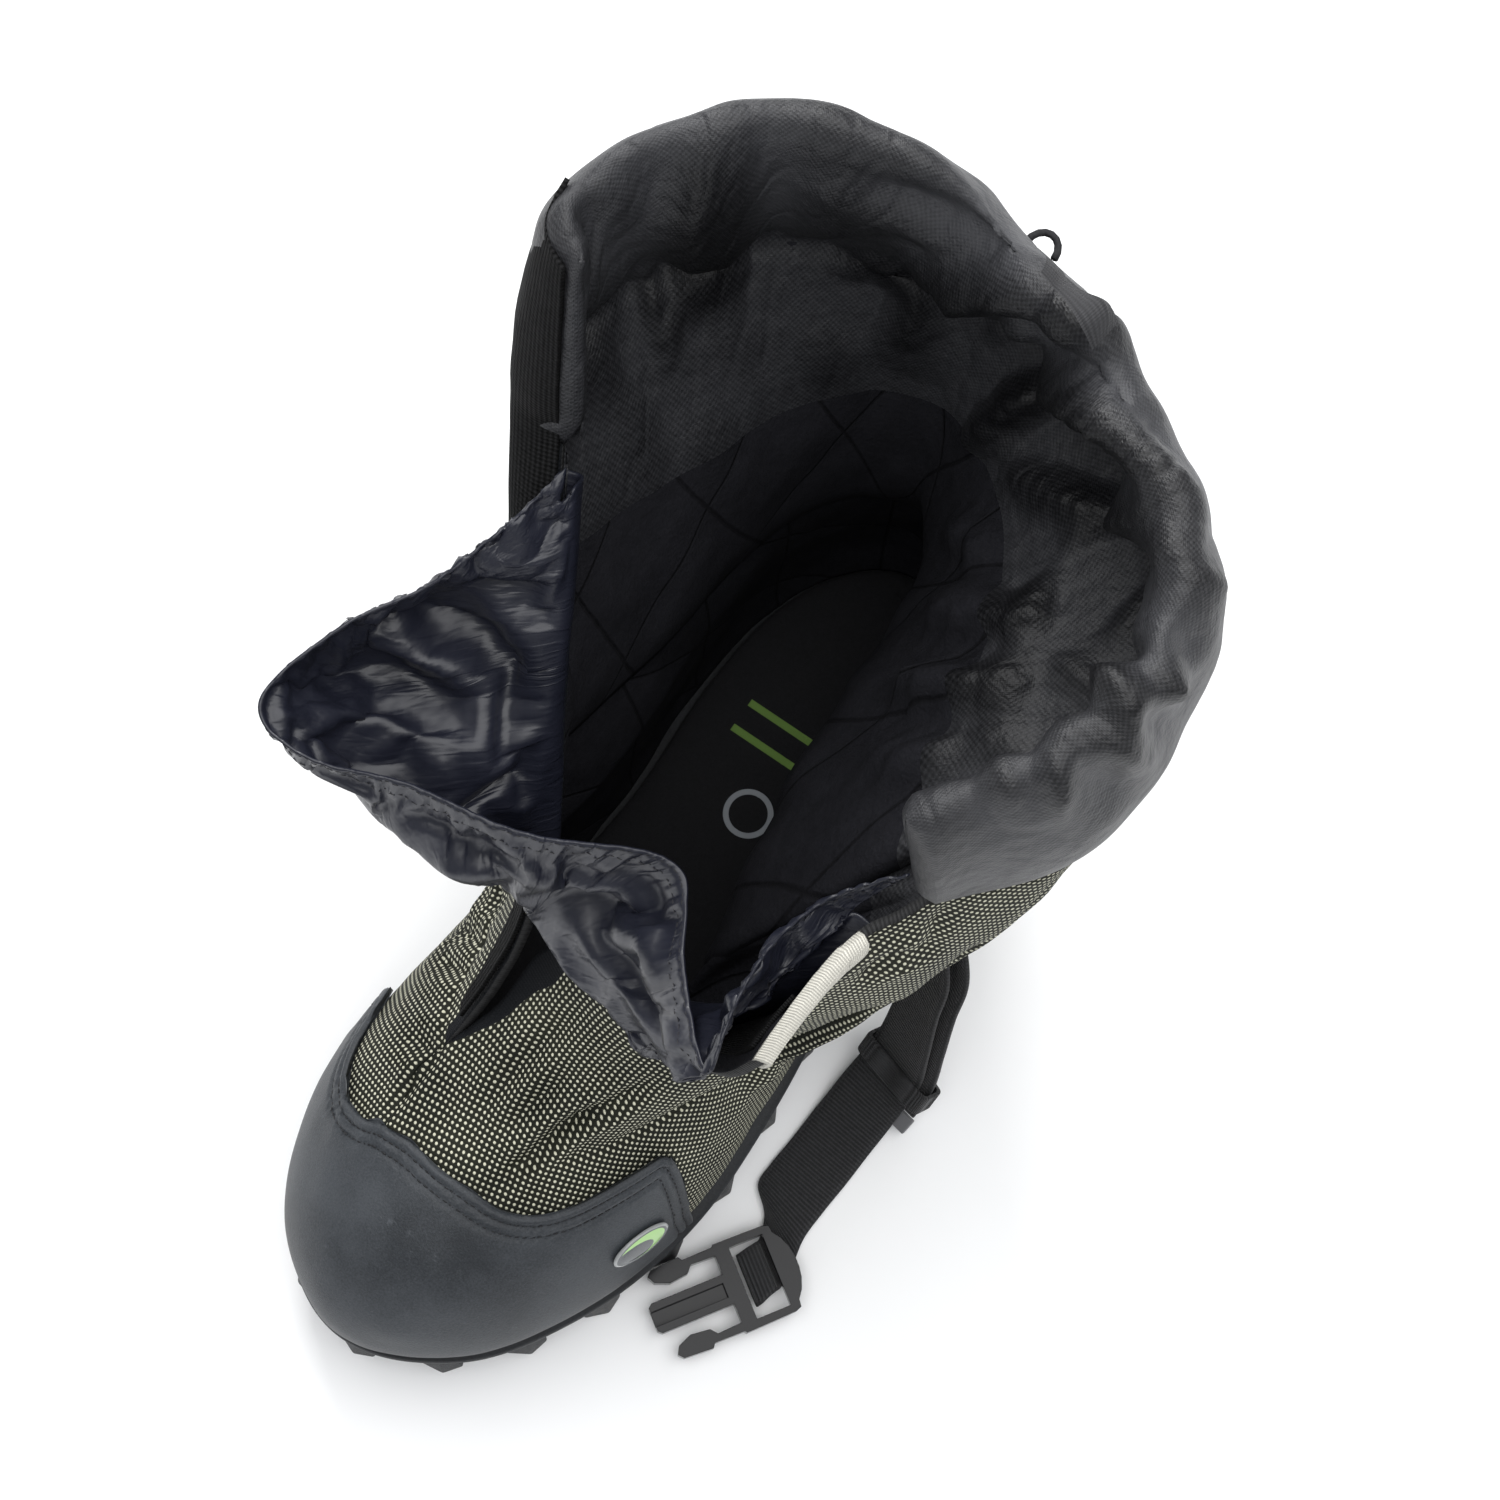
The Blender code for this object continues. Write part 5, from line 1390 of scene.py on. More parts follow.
def footbed_felt():
    """Dark felt footbed with a plain printed ring and two bars."""
    finish = Finish("footbed_felt")
    across, along, _ = finish.weave()
    pile = finish.noise(1.0, 4.0, 0.7)
    ring = (across - 1.4).length(along + 67.0)
    print_ring = ring.between(6.8, 7.1) * (1 - ring.between(8.8, 9.1))
    width = (across + 4.0).math("ABSOLUTE")
    bars = (along / 11.0).to_cell().between(0.36, 0.39)
    block = (1 - width.between(17.0, 17.4)) * along.between(-52.0, -51.6)
    block = block * (1 - along.between(-30.4, -30.0))
    base = finish.mix(pile, (0.004, 0.004, 0.005), (0.016, 0.016, 0.019))
    color = finish.mix(print_ring * 0.9, base, (0.42, 0.45, 0.48))
    color = finish.mix(bars * block * 0.8, color, (0.24, 0.42, 0.09))
    return finish.ends(color, 0.9, finish.bump(pile, 0.5, 0.8))


THREAD = (0.012, 0.012, 0.014)


def stitch_thread(color):
    """Bonded thread with a little twist."""
    finish = Finish("thread")
    twist = finish.noise(0.5, 2.0)
    pale = tuple(channel * 2.2 for channel in color)
    return finish.ends(finish.mix(twist, color, pale), 0.55, finish.bump(twist, 0.05))


def floor_white():
    """The plain white floor."""
    finish = Finish("floor")
    fine = finish.noise(40.0, 3.0)
    return finish.ends(finish.mix(fine, (0.90, 0.90, 0.90), (0.92, 0.92, 0.92)), 0.7 + fine * 0.05)


class OvershoeCloth(bpy.types.PropertyGroup):
    """Sizes and colours of the shell's cloth."""

    dot_pitch: bpy.props.FloatProperty(
        name="Dot pitch", description="Distance between two dots in mm", default=1.95, min=0.5, max=8
    )
    dot_color: bpy.props.FloatVectorProperty(
        name="Dot color", description="Colour of the pale dots", subtype="COLOR", size=3,
        default=(0.52, 0.51, 0.38), min=0, max=1,
    )
    crumple: bpy.props.FloatProperty(
        name="Crumple", description="Share by which the nylon is let out before it settles",
        subtype="FACTOR", default=0.08, min=0, max=0.3,
    )


class OvershoeStage(bpy.types.PropertyGroup):
    """The view and the light."""

    lens: bpy.props.FloatProperty(
        name="Lens", description="Focal length in mm on a 36 mm frame", default=66.0, min=20, max=200
    )
    light: bpy.props.FloatProperty(
        name="Light", description="Power of the key light", subtype="POWER", default=15.0, min=0
    )


FLOOR_HALF, FLOOR_HEIGHT = 3000.0, -0.2  # half its width, and just below the tread

# The camera, in metres
CAMERA_PLACE = (0.0996, -0.3085, 0.972)
CAMERA_AIM = (-0.0022, -0.0687, 0.110)
CAMERA_UP = (-0.546, 0.765, 0.342)

# Soft lights: where they stand in metres, their size and their share of the key's power
LIGHTS = (
    ("name", "x", "y", "z", "size", "share"),
    ("key", -1.2, 1.0, 1.4, 0.6, 1.5),
    ("above", 0.1, 0.1, 2.2, 3.0, 3.6),
)

SKY, SKY_MIRRORED = 0.66, 0.16  # the sky's strength, and what glossy surfaces see of it
SKY_COLOR = (0.95, 0.97, 1.0, 1.0)
FRAME_WIDTH = 36.0  # of the camera


class OVERSHOE_OT_stage(bpy.types.Operator):
    """Lays the floor and sets the lights and the camera"""

    bl_idname = "overshoe.stage"
    bl_label = "Stage"

    def execute(self, context):
        options = context.scene.overshoe_stage
        corners = [(a * FLOOR_HALF, b * FLOOR_HALF, FLOOR_HEIGHT) for a, b in CORNERS]
        floor = make_mesh("floor", corners, [(0, 1, 2, 3)], floor_white())
        middle = Vector(CAMERA_AIM)
        for name, x, y, z, size, share in LIGHTS[1:]:
            lamp = bpy.data.lights.new(name, "AREA")
            lamp.energy = options.light * share
            lamp.size = size
            made = added(name, lamp)
            made.location = (x, y, z)
            made.rotation_euler = (made.location - middle).to_track_quat("Z", "Y").to_euler()
        world = bpy.data.worlds.new("studio")
        world.use_nodes = True
        sky = world.node_tree.nodes["Background"]
        sky.inputs["Color"].default_value = SKY_COLOR
        path = world.node_tree.nodes.new("ShaderNodeLightPath")
        mirrored = Value(world.node_tree, path.outputs["Is Glossy Ray"])
        join(world.node_tree, sky.inputs["Strength"], mirrored * (SKY_MIRRORED - SKY) + SKY)
        context.scene.world = world
        back = (Vector(CAMERA_PLACE) - middle).normalized()
        right = Vector(CAMERA_UP).cross(back).normalized()
        up = back.cross(right)
        lens = bpy.data.cameras.new("camera")
        lens.lens = options.lens
        lens.sensor_width = FRAME_WIDTH
        camera = added("camera", lens)
        turn = Matrix((right, up, back)).transposed().to_4x4()
        camera.matrix_world = Matrix.Translation(CAMERA_PLACE) @ turn
        context.scene.camera = camera
        context.scene.view_settings.view_transform = "Standard"
        return {"FINISHED"}


# Folds of the shell: depth and width, then places along it
SHELL_FOLDS = (
    (7, 2.8, ((11, -232, 89), (14, -218, 92), (20, -204, 103), (28, -189, 111), (34, -180, 120))),
    (3, 2.2, ((-29, -205, 94), (-31, -218, 89), (-32, -230, 85))),
    (3.4, 3.6, ((6, -173, 136), (-1, -187, 117), (-5, -206, 103), (-5, -221, 95))),
    (3.4, 3, ((12, -190, 116), (7, -203, 106), (2, -218, 97))),
    (4, 4, ((-50, -178, 78), (-37, -179, 96))),
    (4, 4, ((-53, -164, 66), (-37, -171, 101))),
    (3, 4, ((-42, -207, 84), (-31, -205, 93))),
    (1.8, 2.6, ((83, -113, 251), (84, -117, 239), (86, -121, 222))),
    (4, 4.5, ((74, -137, 214), (79, -129, 225), (86, -120, 225))),
)

SHELL_STEPS = 6  # of the fine shell for each of the grid's own

# Soft unevenness of the cloths: height, size of its features, seed, and a factor on Z that draws
# it out upwards the smaller it is
SHELL_WAVES = ((1.3, 30.0, 1.0, 1.0), (0.5, 12.0, 2.0, 1.0))
SHELL_GATHERS = ((2.2, 15.0, 3.0, 0.3),)
GATHERS_START, GATHERS_END = (130.0, 200.0), (265.0, 235.0)  # heights over which they come and go

# The bare black wedge beside the slit: its width by the share of the slit's height
WEDGE_HEIGHTS, WEDGE_WIDTHS = (0.0, 0.3, 0.45), (0.0, 13.0, 0.0)
FAR_FROM_EDGE = 50.0


def waves(points, layers):
    """Heights of a cloth's soft unevenness at points."""
    return sum(
        height * noise_field(points * [1.0, 1.0, drawn], size, seed)
        for height, size, seed, drawn in layers
    )


def ramp(values, low, high):
    """Values as shares of the way from low to high, kept between 0 and 1."""
    return np.clip((values - low) / (high - low), 0, 1)


def shell_places(points):
    """The shell's outer face developed flat: coordinates in millimetres for its weave."""
    rows, columns = points.shape[:2]
    made = make_sheet("develop", points)
    made.data.uv_layers.new(name="flat")
    for other in bpy.context.selected_objects:
        other.select_set(False)
    bpy.context.view_layer.objects.active = made
    made.select_set(True)
    bpy.ops.object.mode_set(mode="EDIT")
    bpy.ops.mesh.select_all(action="SELECT")
    bpy.ops.uv.unwrap(method="MINIMUM_STRETCH", margin=0.0)
    bpy.ops.object.mode_set(mode="OBJECT")
    loops = len(made.data.loops)
    corner, spot = np.empty(loops, int), np.empty(loops * 2)
    made.data.loops.foreach_get("vertex_index", corner)
    made.data.uv_layers["flat"].data.foreach_get("uv", spot)
    flat = np.zeros((rows * columns, 2))
    flat[corner] = spot.reshape(-1, 2)
    bpy.data.objects.remove(made)
    flat = flat.reshape(rows, columns, 2)
    steps = np.linalg.norm(np.diff(points, axis=1), axis=2)
    flat_steps = np.linalg.norm(np.diff(flat, axis=1), axis=2)
    flat *= np.median(steps[8:] / np.maximum(flat_steps[8:], 1e-9))
    ahead = unit(flat[slit_row - 4, -3] - flat[slit_row, -3])
    turned = np.stack([flat @ np.array([-ahead[1], ahead[0]]), flat @ ahead], axis=2)
    if np.cross(flat[slit_row, -6] - flat[slit_row, -3], ahead) < 0:
        turned[..., 0] *= -1
    return turned


class OVERSHOE_OT_shell(bpy.types.Operator):
    """Makes the quilted shell: dotted cloth outside and fleece inside"""

    bl_idname = "overshoe.shell"
    bl_label = "Shell"

    def execute(self, context):
        face, flat, lean = (
            refine(each, SHELL_STEPS, SHELL_STEPS) for each in (grid, shell_places(grid), normals)
        )
        closed = slit_row * SHELL_STEPS
        seam = (face[: closed + 1, 0] + face[: closed + 1, -1]) / 2
        face[: closed + 1, 0] = face[: closed + 1, -1] = seam
        height = fold_heights(face, SHELL_FOLDS) + waves(face, SHELL_WAVES)
        hangs = ramp(face[..., 2], *GATHERS_START) * ramp(face[..., 2], *GATHERS_END)
        height += waves(face, SHELL_GATHERS) * hangs
        face = face + unit(lean) * height[..., None]
        edge = np.array([lengths(line) for line in face])
        span = ((np.arange(len(face)) - closed) / (len(face) - 1 - closed))[:, None]
        wedge = BARE_EDGE - np.interp(span, WEDGE_HEIGHTS, WEDGE_WIDTHS)
        bare = np.minimum(edge, edge[:, -1:] - edge + wedge)
        bare = np.where(span > -0.01, bare, FAR_FROM_EDGE)
        marks = weave_marks(face, flat[..., 0], flat[..., 1], bare)
        shell = make_sheet("shell", face, dotted_cloth(context.scene.overshoe_cloth), marks)
        shell.data.materials.append(fleece())
        shell.data.materials.append(tape_cloth("binding", (0.02, 0.02, 0.021), rib=1.2))
        walled(shell, WALL, inside=1, rim=2)
        settle(shell, "shell_fabric", "upper")
        return {"FINISHED"}


# The collar's inner side, by column of the shell: the row where its nylon facing is sewn to the
# lining, the row where the loose lining meets the wall, and how far in both hang at the seam
FACING = (
    ("column", "seam_row", "foot_row", "drape"),
    (0, 15.4, 12.6, 0.6),
    (5, 14.6, 12, 3),
    (12, 14, 11.4, 5),
    (20, 14.3, 11, 7),
    (27, 14.8, 9.5, 16),
    (33, 14.9, 8.8, 32),
    (38, 14.6, 8.4, 40),
    (44, 14.4, 8.6, 33),
    (49, 15, 10.5, 6),
)
FACING_ROWS = 8
LINING_ROWS = 6
FACING_CLEAR = 1.6  # of the facing from the shell's own wall
SEWN_LINES = 4  # over which the folds grow from the sewn edges
CREASE_ROOM = (9.0, 0.6)  # how far the cloth may stand out, outside and inside

# Share of the drape from the rim (0) to the seam (1) and to the lining's foot (2)
HANG = ((0, 0.35, 0.7, 1.1, 1.5, 1.8, 2.0), (0.0, 0.3, 0.65, 0.9, 1.0, 0.75, 0.0))

# Steps of the collar's and the gusset's cloth for each of their grids' own, before and after
# they crumple, and their thickness
COLLAR_ACROSS, COLLAR_DOWN = 4, 2
GUSSET_STEPS = 4
FINE = 2
NYLON_THICK = 0.9
GUSSET_GROWTH = 1.6  # how much more than the collar the gusset is let out
HEM_LINES = (1.6, 6.5)  # how far in its hem's two seams lie
SEAM_COLUMNS = 3  # from the facing's seam to the stitches on both its sides
STITCH_LIFT = 0.4  # of these stitches over the cloth
END_DRAWN = 0.4  # share by which the collar's ends are drawn together before they close
END_REACH = (3.0, 4.0)  # how far they stand out there, and where they close

# Soft unevenness, as for the shell
COLLAR_WAVES = ((1.8, 42.0, 3.0, 1.0), (0.9, 19.0, 4.0, 1.0), (2.6, 17.0, 5.0, 0.35))
GUSSET_WAVES = ((1.2, 16.0, 7.0, 1.0),)

PATCH_PLACE = (22.0, 28.0, 316.0)  # the square of loop tape sewn on the rim beside the loop
PATCH_SIZE = 26.0

# Folds of the collar and of the gusset: depth and width, then places along them
COLLAR_FOLDS = (
    (9.6, 6.6, ((-79, -1, 332), (-78, -8, 308), (-82, -5, 252), (-75, -18, 232))),
    (11.2, 8.5, ((-72, 5, 330), (-70, 3, 299), (-75, 4, 251), (-71, -8, 234))),
    (-6.4, 7.6, ((-66, 9, 329), (-63, 9, 294), (-66, 11, 246))),
    (6.5, 8.5, ((-49, 25, 247), (-38, 35, 255), (-26, 37, 250), (-22, 28, 224))),
    (9.6, 6.6, ((-29, 28, 277), (-10, 25, 288), (7, 20, 310), (13, 25, 323))),
    (-6.4, 7.6, ((-46, 18, 319), (-23, 24, 317), (3, 24, 323))),
    (8, 5.7, ((17, 18, 321), (33, 20, 322))),
    (7, 6.6, ((8, 19, 199), (15, 24, 230), (22, 30, 244), (32, 10, 308))),
    (-8, 5.7, ((6, 32, 238), (27, 14, 297), (46, 7, 322), (68, 3, 319))),
    (9.6, 5.7, ((16, 30, 241), (44, 4, 312), (63, -4, 321), (76, -4, 321))),
    (7.5, 8.5, ((24, 16, 229), (41, 8, 239), (59, 9, 249), (71, -12, 319))),
    (-8, 6.6, ((66, 8, 252), (67, -8, 247), (64, -24, 242))),
    (5, 6.6, ((75, -18, 317), (87, -24, 323), (97, -19, 309))),
    (8, 5.7, ((70, -33, 243), (81, -36, 247), (93, -62, 322))),
    (6.4, 4.8, ((89, -73, 319), (98, -71, 313), (104, -68, 299))),
    (6.4, 4.8, ((70, -61, 235), (80, -94, 310), (88, -97, 302))),
    (4.8, 3.8, ((84, -83, 316), (91, -88, 310), (95, -91, 300))),
    (8, 5.7, ((94, -52, 323), (104, -49, 308))),
    (11.2, 7.6, ((30, -26, 194), (52, -28, 232), (65, -22, 243))),
    (11.2, 8.5, ((33, -44, 192), (53, -48, 227), (69, -39, 241))),
    (-8, 7.6, ((17, -29, 154), (35, -35, 201), (54, -36, 231))),
    (8, 6.6, ((38, -69, 190), (54, -69, 220), (67, -58, 234))),
    (6.4, 5.7, ((13, 9, 177), (33, -10, 215), (43, -23, 224))),
    (-7, 6, ((-95, -32, 332), (-86, -28, 290), (-77, -26, 232))),
    (6, 4, ((-92, -27, 329), (-90, -10, 259), (-76, -20, 234))),
    (-8, 7, ((-5, 16, 300), (27, 19, 302))),
    (6, 6.5, ((13, 16, 219), (49, 6, 255), (81, -13, 324))),
    (-8, 7, ((69, -17, 310), (66, -15, 245), (68, -35, 243))),
    (7, 5, ((73, -35, 246), (93, -63, 321), (106, -63, 293))),
    (-7, 6, ((71, -47, 239), (99, -77, 303))),
)

GUSSET_FOLDS = (
    (8.4, 7, ((-102, -170, 227), (-89, -155, 210), (-67, -144, 203), (-48, -130, 202))),
    (-7, 6, ((-91, -128, 224), (-78, -117, 223), (-62, -117, 218), (-47, -129, 201))),
    (7, 5, ((-100, -141, 224), (-89, -129, 219), (-67, -129, 210))),
    (5.6, 5, ((-70, -108, 230), (-52, -118, 214), (-36, -131, 186))),
    (5.6, 5, ((-4, -146, 195), (12, -145, 198), (26, -159, 205), (37, -169, 210))),
    (7, 5, ((-13, -156, 174), (-5, -154, 179), (11, -150, 194), (21, -154, 202))),
    (4.2, 4, ((-4, -159, 175), (12, -168, 182), (34, -179, 194))),
    (5.6, 5, ((-60, -168, 219), (-26, -161, 201))),
    (5.6, 5, ((-49, -168, 210), (-39, -166, 204), (-25, -163, 188))),
)


def collar_cloth_grid():
    """The collar's cloth: up its outside, over the rim, down inside and on as the lining."""
    columns = np.arange(corner_column + 1)
    rings = collar_rings
    facing = table(FACING)
    seam, foot, drape = (
        spline(facing["column"], facing[key], columns) for key in ("seam_row", "foot_row", "drape")
    )
    lining = 1 + np.linspace(0, 1, LINING_ROWS + 1)[1:]
    step = np.concatenate([np.linspace(0, 1, FACING_ROWS + 1), lining])
    hang = np.interp(step, *HANG)
    rows = np.arange(len(grid))
    inside = np.empty((len(columns), len(step), 3))
    for j, column in enumerate(columns):
        row = np.interp(step, (0, 1, 2), (last_row, seam[j], foot[j]))
        depth = (WALL + FACING_CLEAR + drape[j] * hang)[:, None]
        path, lean = (read_line(row, rows, each[:, column]) for each in (grid, normals))
        inside[j] = path - lean * depth
    inside[:, 0] = rings[:, -1] * 0.5 + inside[:, 0] * 0.5
    return np.concatenate([rings[:, :-1], inside], axis=1)


def closed_end(face, end, onward):
    """Columns that close the padded collar's end: its two sides brought together and rounded."""
    last = face[end]
    top = int(np.argmax(last[:, 2]))
    outside, inside = last[: top + 1], last[top:][::-1]
    middle = last.copy()
    for k, place in enumerate(last):
        if place[2] > outside[0, 2]:
            both = [read_line(place[2], side[:, 2], side[:, :2]) for side in (outside, inside)]
            middle[k, :2] = np.mean(both, axis=0)
    ahead = unit(last - face[onward])
    raised = (last[:, 2] > outside[0, 2])[:, None]
    near = last * (1 - END_DRAWN) + middle * END_DRAWN + ahead * END_REACH[0] * raised
    return near, middle + ahead * END_REACH[1] * raised


def kept_inside(face, start, lean, lines):
    """Cloth put back on its own side of the wall; its first lines, outside, have more room."""
    through = np.sum((face - start) * lean, axis=2)
    allowed = np.where(np.arange(face.shape[1]) < lines, *CREASE_ROOM)
    over = np.maximum(through - allowed[None], 0)
    return face - lean * over[..., None]


class OVERSHOE_OT_collar(bpy.types.Operator):
    """Makes the padded nylon collar with its facing and the loose lining, and crumples them"""

    bl_idname = "overshoe.collar"
    bl_label = "Collar"

    def execute(self, context):
        options = context.scene.overshoe_cloth
        coarse = refine(collar_cloth_grid(), COLLAR_ACROSS, COLLAR_DOWN)
        first, last = closed_end(coarse, 0, 2), closed_end(coarse, -1, -3)
        coarse = np.concatenate([first[::-1], coarse, last])
        lean = grid_normals(coarse)
        line = np.arange(coarse.shape[1])
        loose = np.clip(np.minimum(line, line[::-1]) / SEWN_LINES, 0, 1)
        height = fold_heights(coarse, COLLAR_FOLDS) + waves(coarse, COLLAR_WAVES)
        start = coarse + lean * (height * loose[None])[..., None]
        held = np.zeros(coarse.shape[:2])
        held[:, [0, -1]] = 1.0  # its two sewn edges
        held[:, [1, -2]] = 0.5
        held[[0, 1, 2, -3, -2, -1]] = 1.0  # its closed ends
        outside = (len(COLLAR_SECTION) - 2) * COLLAR_DOWN
        seam = outside + FACING_ROWS * COLLAR_DOWN
        held[:, seam] = 0.35
        settled = crumpled(start, held, options.crumple, bending=0.3, frames=24, cap=5.0)
        settled = kept_inside(settled, coarse, lean, outside)
        face = refine(settled, FINE, FINE)
        rows, columns = face.shape[:2]
        around = np.mean([lengths(face[:, i]) for i in (columns // 4, columns // 2)], axis=0)
        down = np.mean([lengths(face[i]) for i in (rows // 3, rows // 2)], axis=0)
        # how far the settled cloth stands out from its start; the collar's nylon paints shade in the
        # troughs and light on the crests from it
        lift = refine(np.sum((settled - coarse) * lean, axis=2)[..., None], FINE, FINE)
        marks = weave_marks(face, around[:, None], down[None], lift[..., 0])
        collar = make_sheet("collar_cloth", face, plain_cloth(), marks)
        collar.data.materials.append(fleece())
        collar.data.materials.append(tape_cloth("loop_patch", (0.050, 0.050, 0.054), rib=1.3))
        spot = np.argmin(np.linalg.norm(face - PATCH_PLACE, axis=2))
        apart = np.abs(marks[..., :2] - marks.reshape(-1, 3)[spot, :2]).max(axis=2)[:-1, :-1]
        kinds = np.broadcast_to(np.arange(columns - 1) >= seam * FINE, apart.shape).astype(int)
        kinds = np.where(apart < PATCH_SIZE / 2, 2, kinds)
        collar.data.polygons.foreach_set("material_index", kinds.reshape(-1))
        walled(collar, NYLON_THICK)
        settle(collar, "collar_nylon", "collar")
        paths = [
            face[:, column] - lean_out(face, column) * STITCH_LIFT
            for column in (seam * FINE - SEAM_COLUMNS, seam * FINE + SEAM_COLUMNS)
        ]
        seams = stitches("collar_stitches", paths, 2.8, 0.25, stitch_thread(THREAD))
        settle(seams, "collar_nylon")
        return {"FINISHED"}


class OVERSHOE_OT_gusset(bpy.types.Operator):
    """Makes the coated nylon gusset with its folds and crumples"""

    bl_idname = "overshoe.gusset"
    bl_label = "Gusset"

    def execute(self, context):
        options = context.scene.overshoe_cloth
        coarse = refine(gusset_grid(), GUSSET_STEPS, GUSSET_STEPS)
        held = np.zeros(coarse.shape[:2])
        held[: 3 * GUSSET_STEPS + 1] = 1.0  # from the seam round the slit's edge
        held[-1] = 1.0  # its hem
        held[-2] = 0.6
        held[:, [0, -1]] = 1.0
        lean = grid_normals(coarse)
        height = fold_heights(coarse, GUSSET_FOLDS) + waves(coarse, GUSSET_WAVES)
        start = coarse - lean * (height * np.clip(1.0 - held, 0.15, 1.0))[..., None]
        growth = options.crumple * GUSSET_GROWTH
        settled = crumpled(start, held, growth, bending=1.5, frames=30, cap=7.0)
        face = refine(settled, FINE, FINE)
        hem, depth = lengths(face[-1]), lengths(face[:, face.shape[1] // 2])
        marks = weave_marks(face, hem[None], depth[:, None])
        gusset = make_sheet("gusset_cloth", face, coated_cloth(), marks)
        gusset.data.flip_normals()
        walled(gusset, NYLON_THICK)
        settle(gusset, "coated_nylon", "gusset")
        paths = [line_in(face, distance) for distance in HEM_LINES]
        settle(stitches("hem_stitches", paths, 2.4, 0.22, stitch_thread(THREAD)), "coated_nylon")
        return {"FINISHED"}


def sections_mesh(name, sections, material, weave=None, caps=True):
    """A piece through closed sections with the same count of points."""
    sections = np.asarray(sections, float)
    steps, count = sections.shape[:2]
    faces = []
    for step in range(steps - 1):
        for i in range(count):
            j = (i + 1) % count
            low, high = step * count, (step + 1) * count
            faces.append((low + i, low + j, high + j, high + i))
    if caps:
        faces += [tuple(range(count)), tuple(range((steps - 1) * count, steps * count))]
    return turned_outwards(make_mesh(name, sections.reshape(-1, 3), faces, material, weave))


def softened(made, width, angle):
    """Rounds a piece's edges that are sharper than an angle in degrees."""
    bevel = made.modifiers.new("edges", "BEVEL")
    bevel.width = width * MM
    bevel.segments = 3
    bevel.limit_method = "ANGLE"
    bevel.angle_limit = math.radians(angle)
    bevel.harden_normals = False
    made.data.set_sharp_from_angle(angle=math.radians(angle))
    return made


CAP_STEPS = 10  # of the fine cap for each of its grid's own
CAP_SEAMS = (3.45, 7.25)  # how far in from its border its two seams lie
SEAM_POINTS = 8  # shorter lines aren't sewn

# Profile of the cap's edge: distance in from its border in mm, and height over its face
CAP_PROFILE = (
    ("inward", "height"),
    (0, -1.6),
    (0.5, -0.5),
    (1.4, 0.15),
    (2.4, 0.15),
    (3.1, -0.9),
    (3.8, -0.9),
    (4.5, 0.05),
    (6.2, 0.05),
    (6.9, -0.9),
    (7.6, -0.9),
    (8.4, 0),
    (30, 0),
)

# Rings of the badge: share of its size and of its height
BADGE_DOME = (
    (0.98, 0.0), (1.0, 0.15), (1.0, 0.45), (0.96, 0.62), (0.88, 0.68), (0.84, 0.66), (0.70, 0.84),
    (0.50, 0.95), (0.25, 1.0), (0.02, 1.0),
)


def nearest_edge(face, border):
    """How far each point of a grid lies from a border, in millimetres."""
    spots = face.reshape(-1, 3)
    away = [
        np.linalg.norm(spots[start : start + 4000, None] - border[None], axis=2).min(axis=1)
        for start in range(0, len(spots), 4000)
    ]
    return np.concatenate(away).reshape(face.shape[:2])


def cap_face():
    """The cap's face drawn fine, with its border's relief, and the lines of its two seams."""
    face, under = (
        refine(cap_grid(offset), CAP_STEPS, CAP_STEPS) for offset in (CAP_GAP + CAP_THICK, CAP_GAP)
    )
    lean = unit(face - under)
    top = nearest_edge(face, face[-1])
    side = nearest_edge(face, np.concatenate([face[:, 0], face[:, -1]]))
    inward = np.minimum(top, side)
    profile = table(CAP_PROFILE)
    raised = face + lean * np.interp(inward, profile["inward"], profile["height"])[..., None]
    middle = face.shape[1] // 2
    seams = []
    for distance in CAP_SEAMS:
        lines = (
            contour(raised[:, :middle], side[:, :middle], top[:, :middle], distance),
            contour(raised.swapaxes(0, 1)[:, ::-1], top.T[:, ::-1], side.T[:, ::-1], distance),
            contour(raised[:, : middle : -1], side[:, : middle : -1], top[:, : middle : -1], distance),
        )
        seams += [line for line in lines if len(line) > SEAM_POINTS]
    return raised, under, seams


def contour(face, inward, other, distance):
    """Points of a grid this far from an edge, walking each row in from it, clear of another."""
    line = []
    for points, run, beyond in zip(face, inward, other):
        i = int(np.argmax(run > distance))
        if i == 0 or beyond[i] < distance:
            continue
        share = (distance - run[i - 1]) / (run[i] - run[i - 1])
        line.append(points[i - 1] + share * (points[i] - points[i - 1]))
    return line


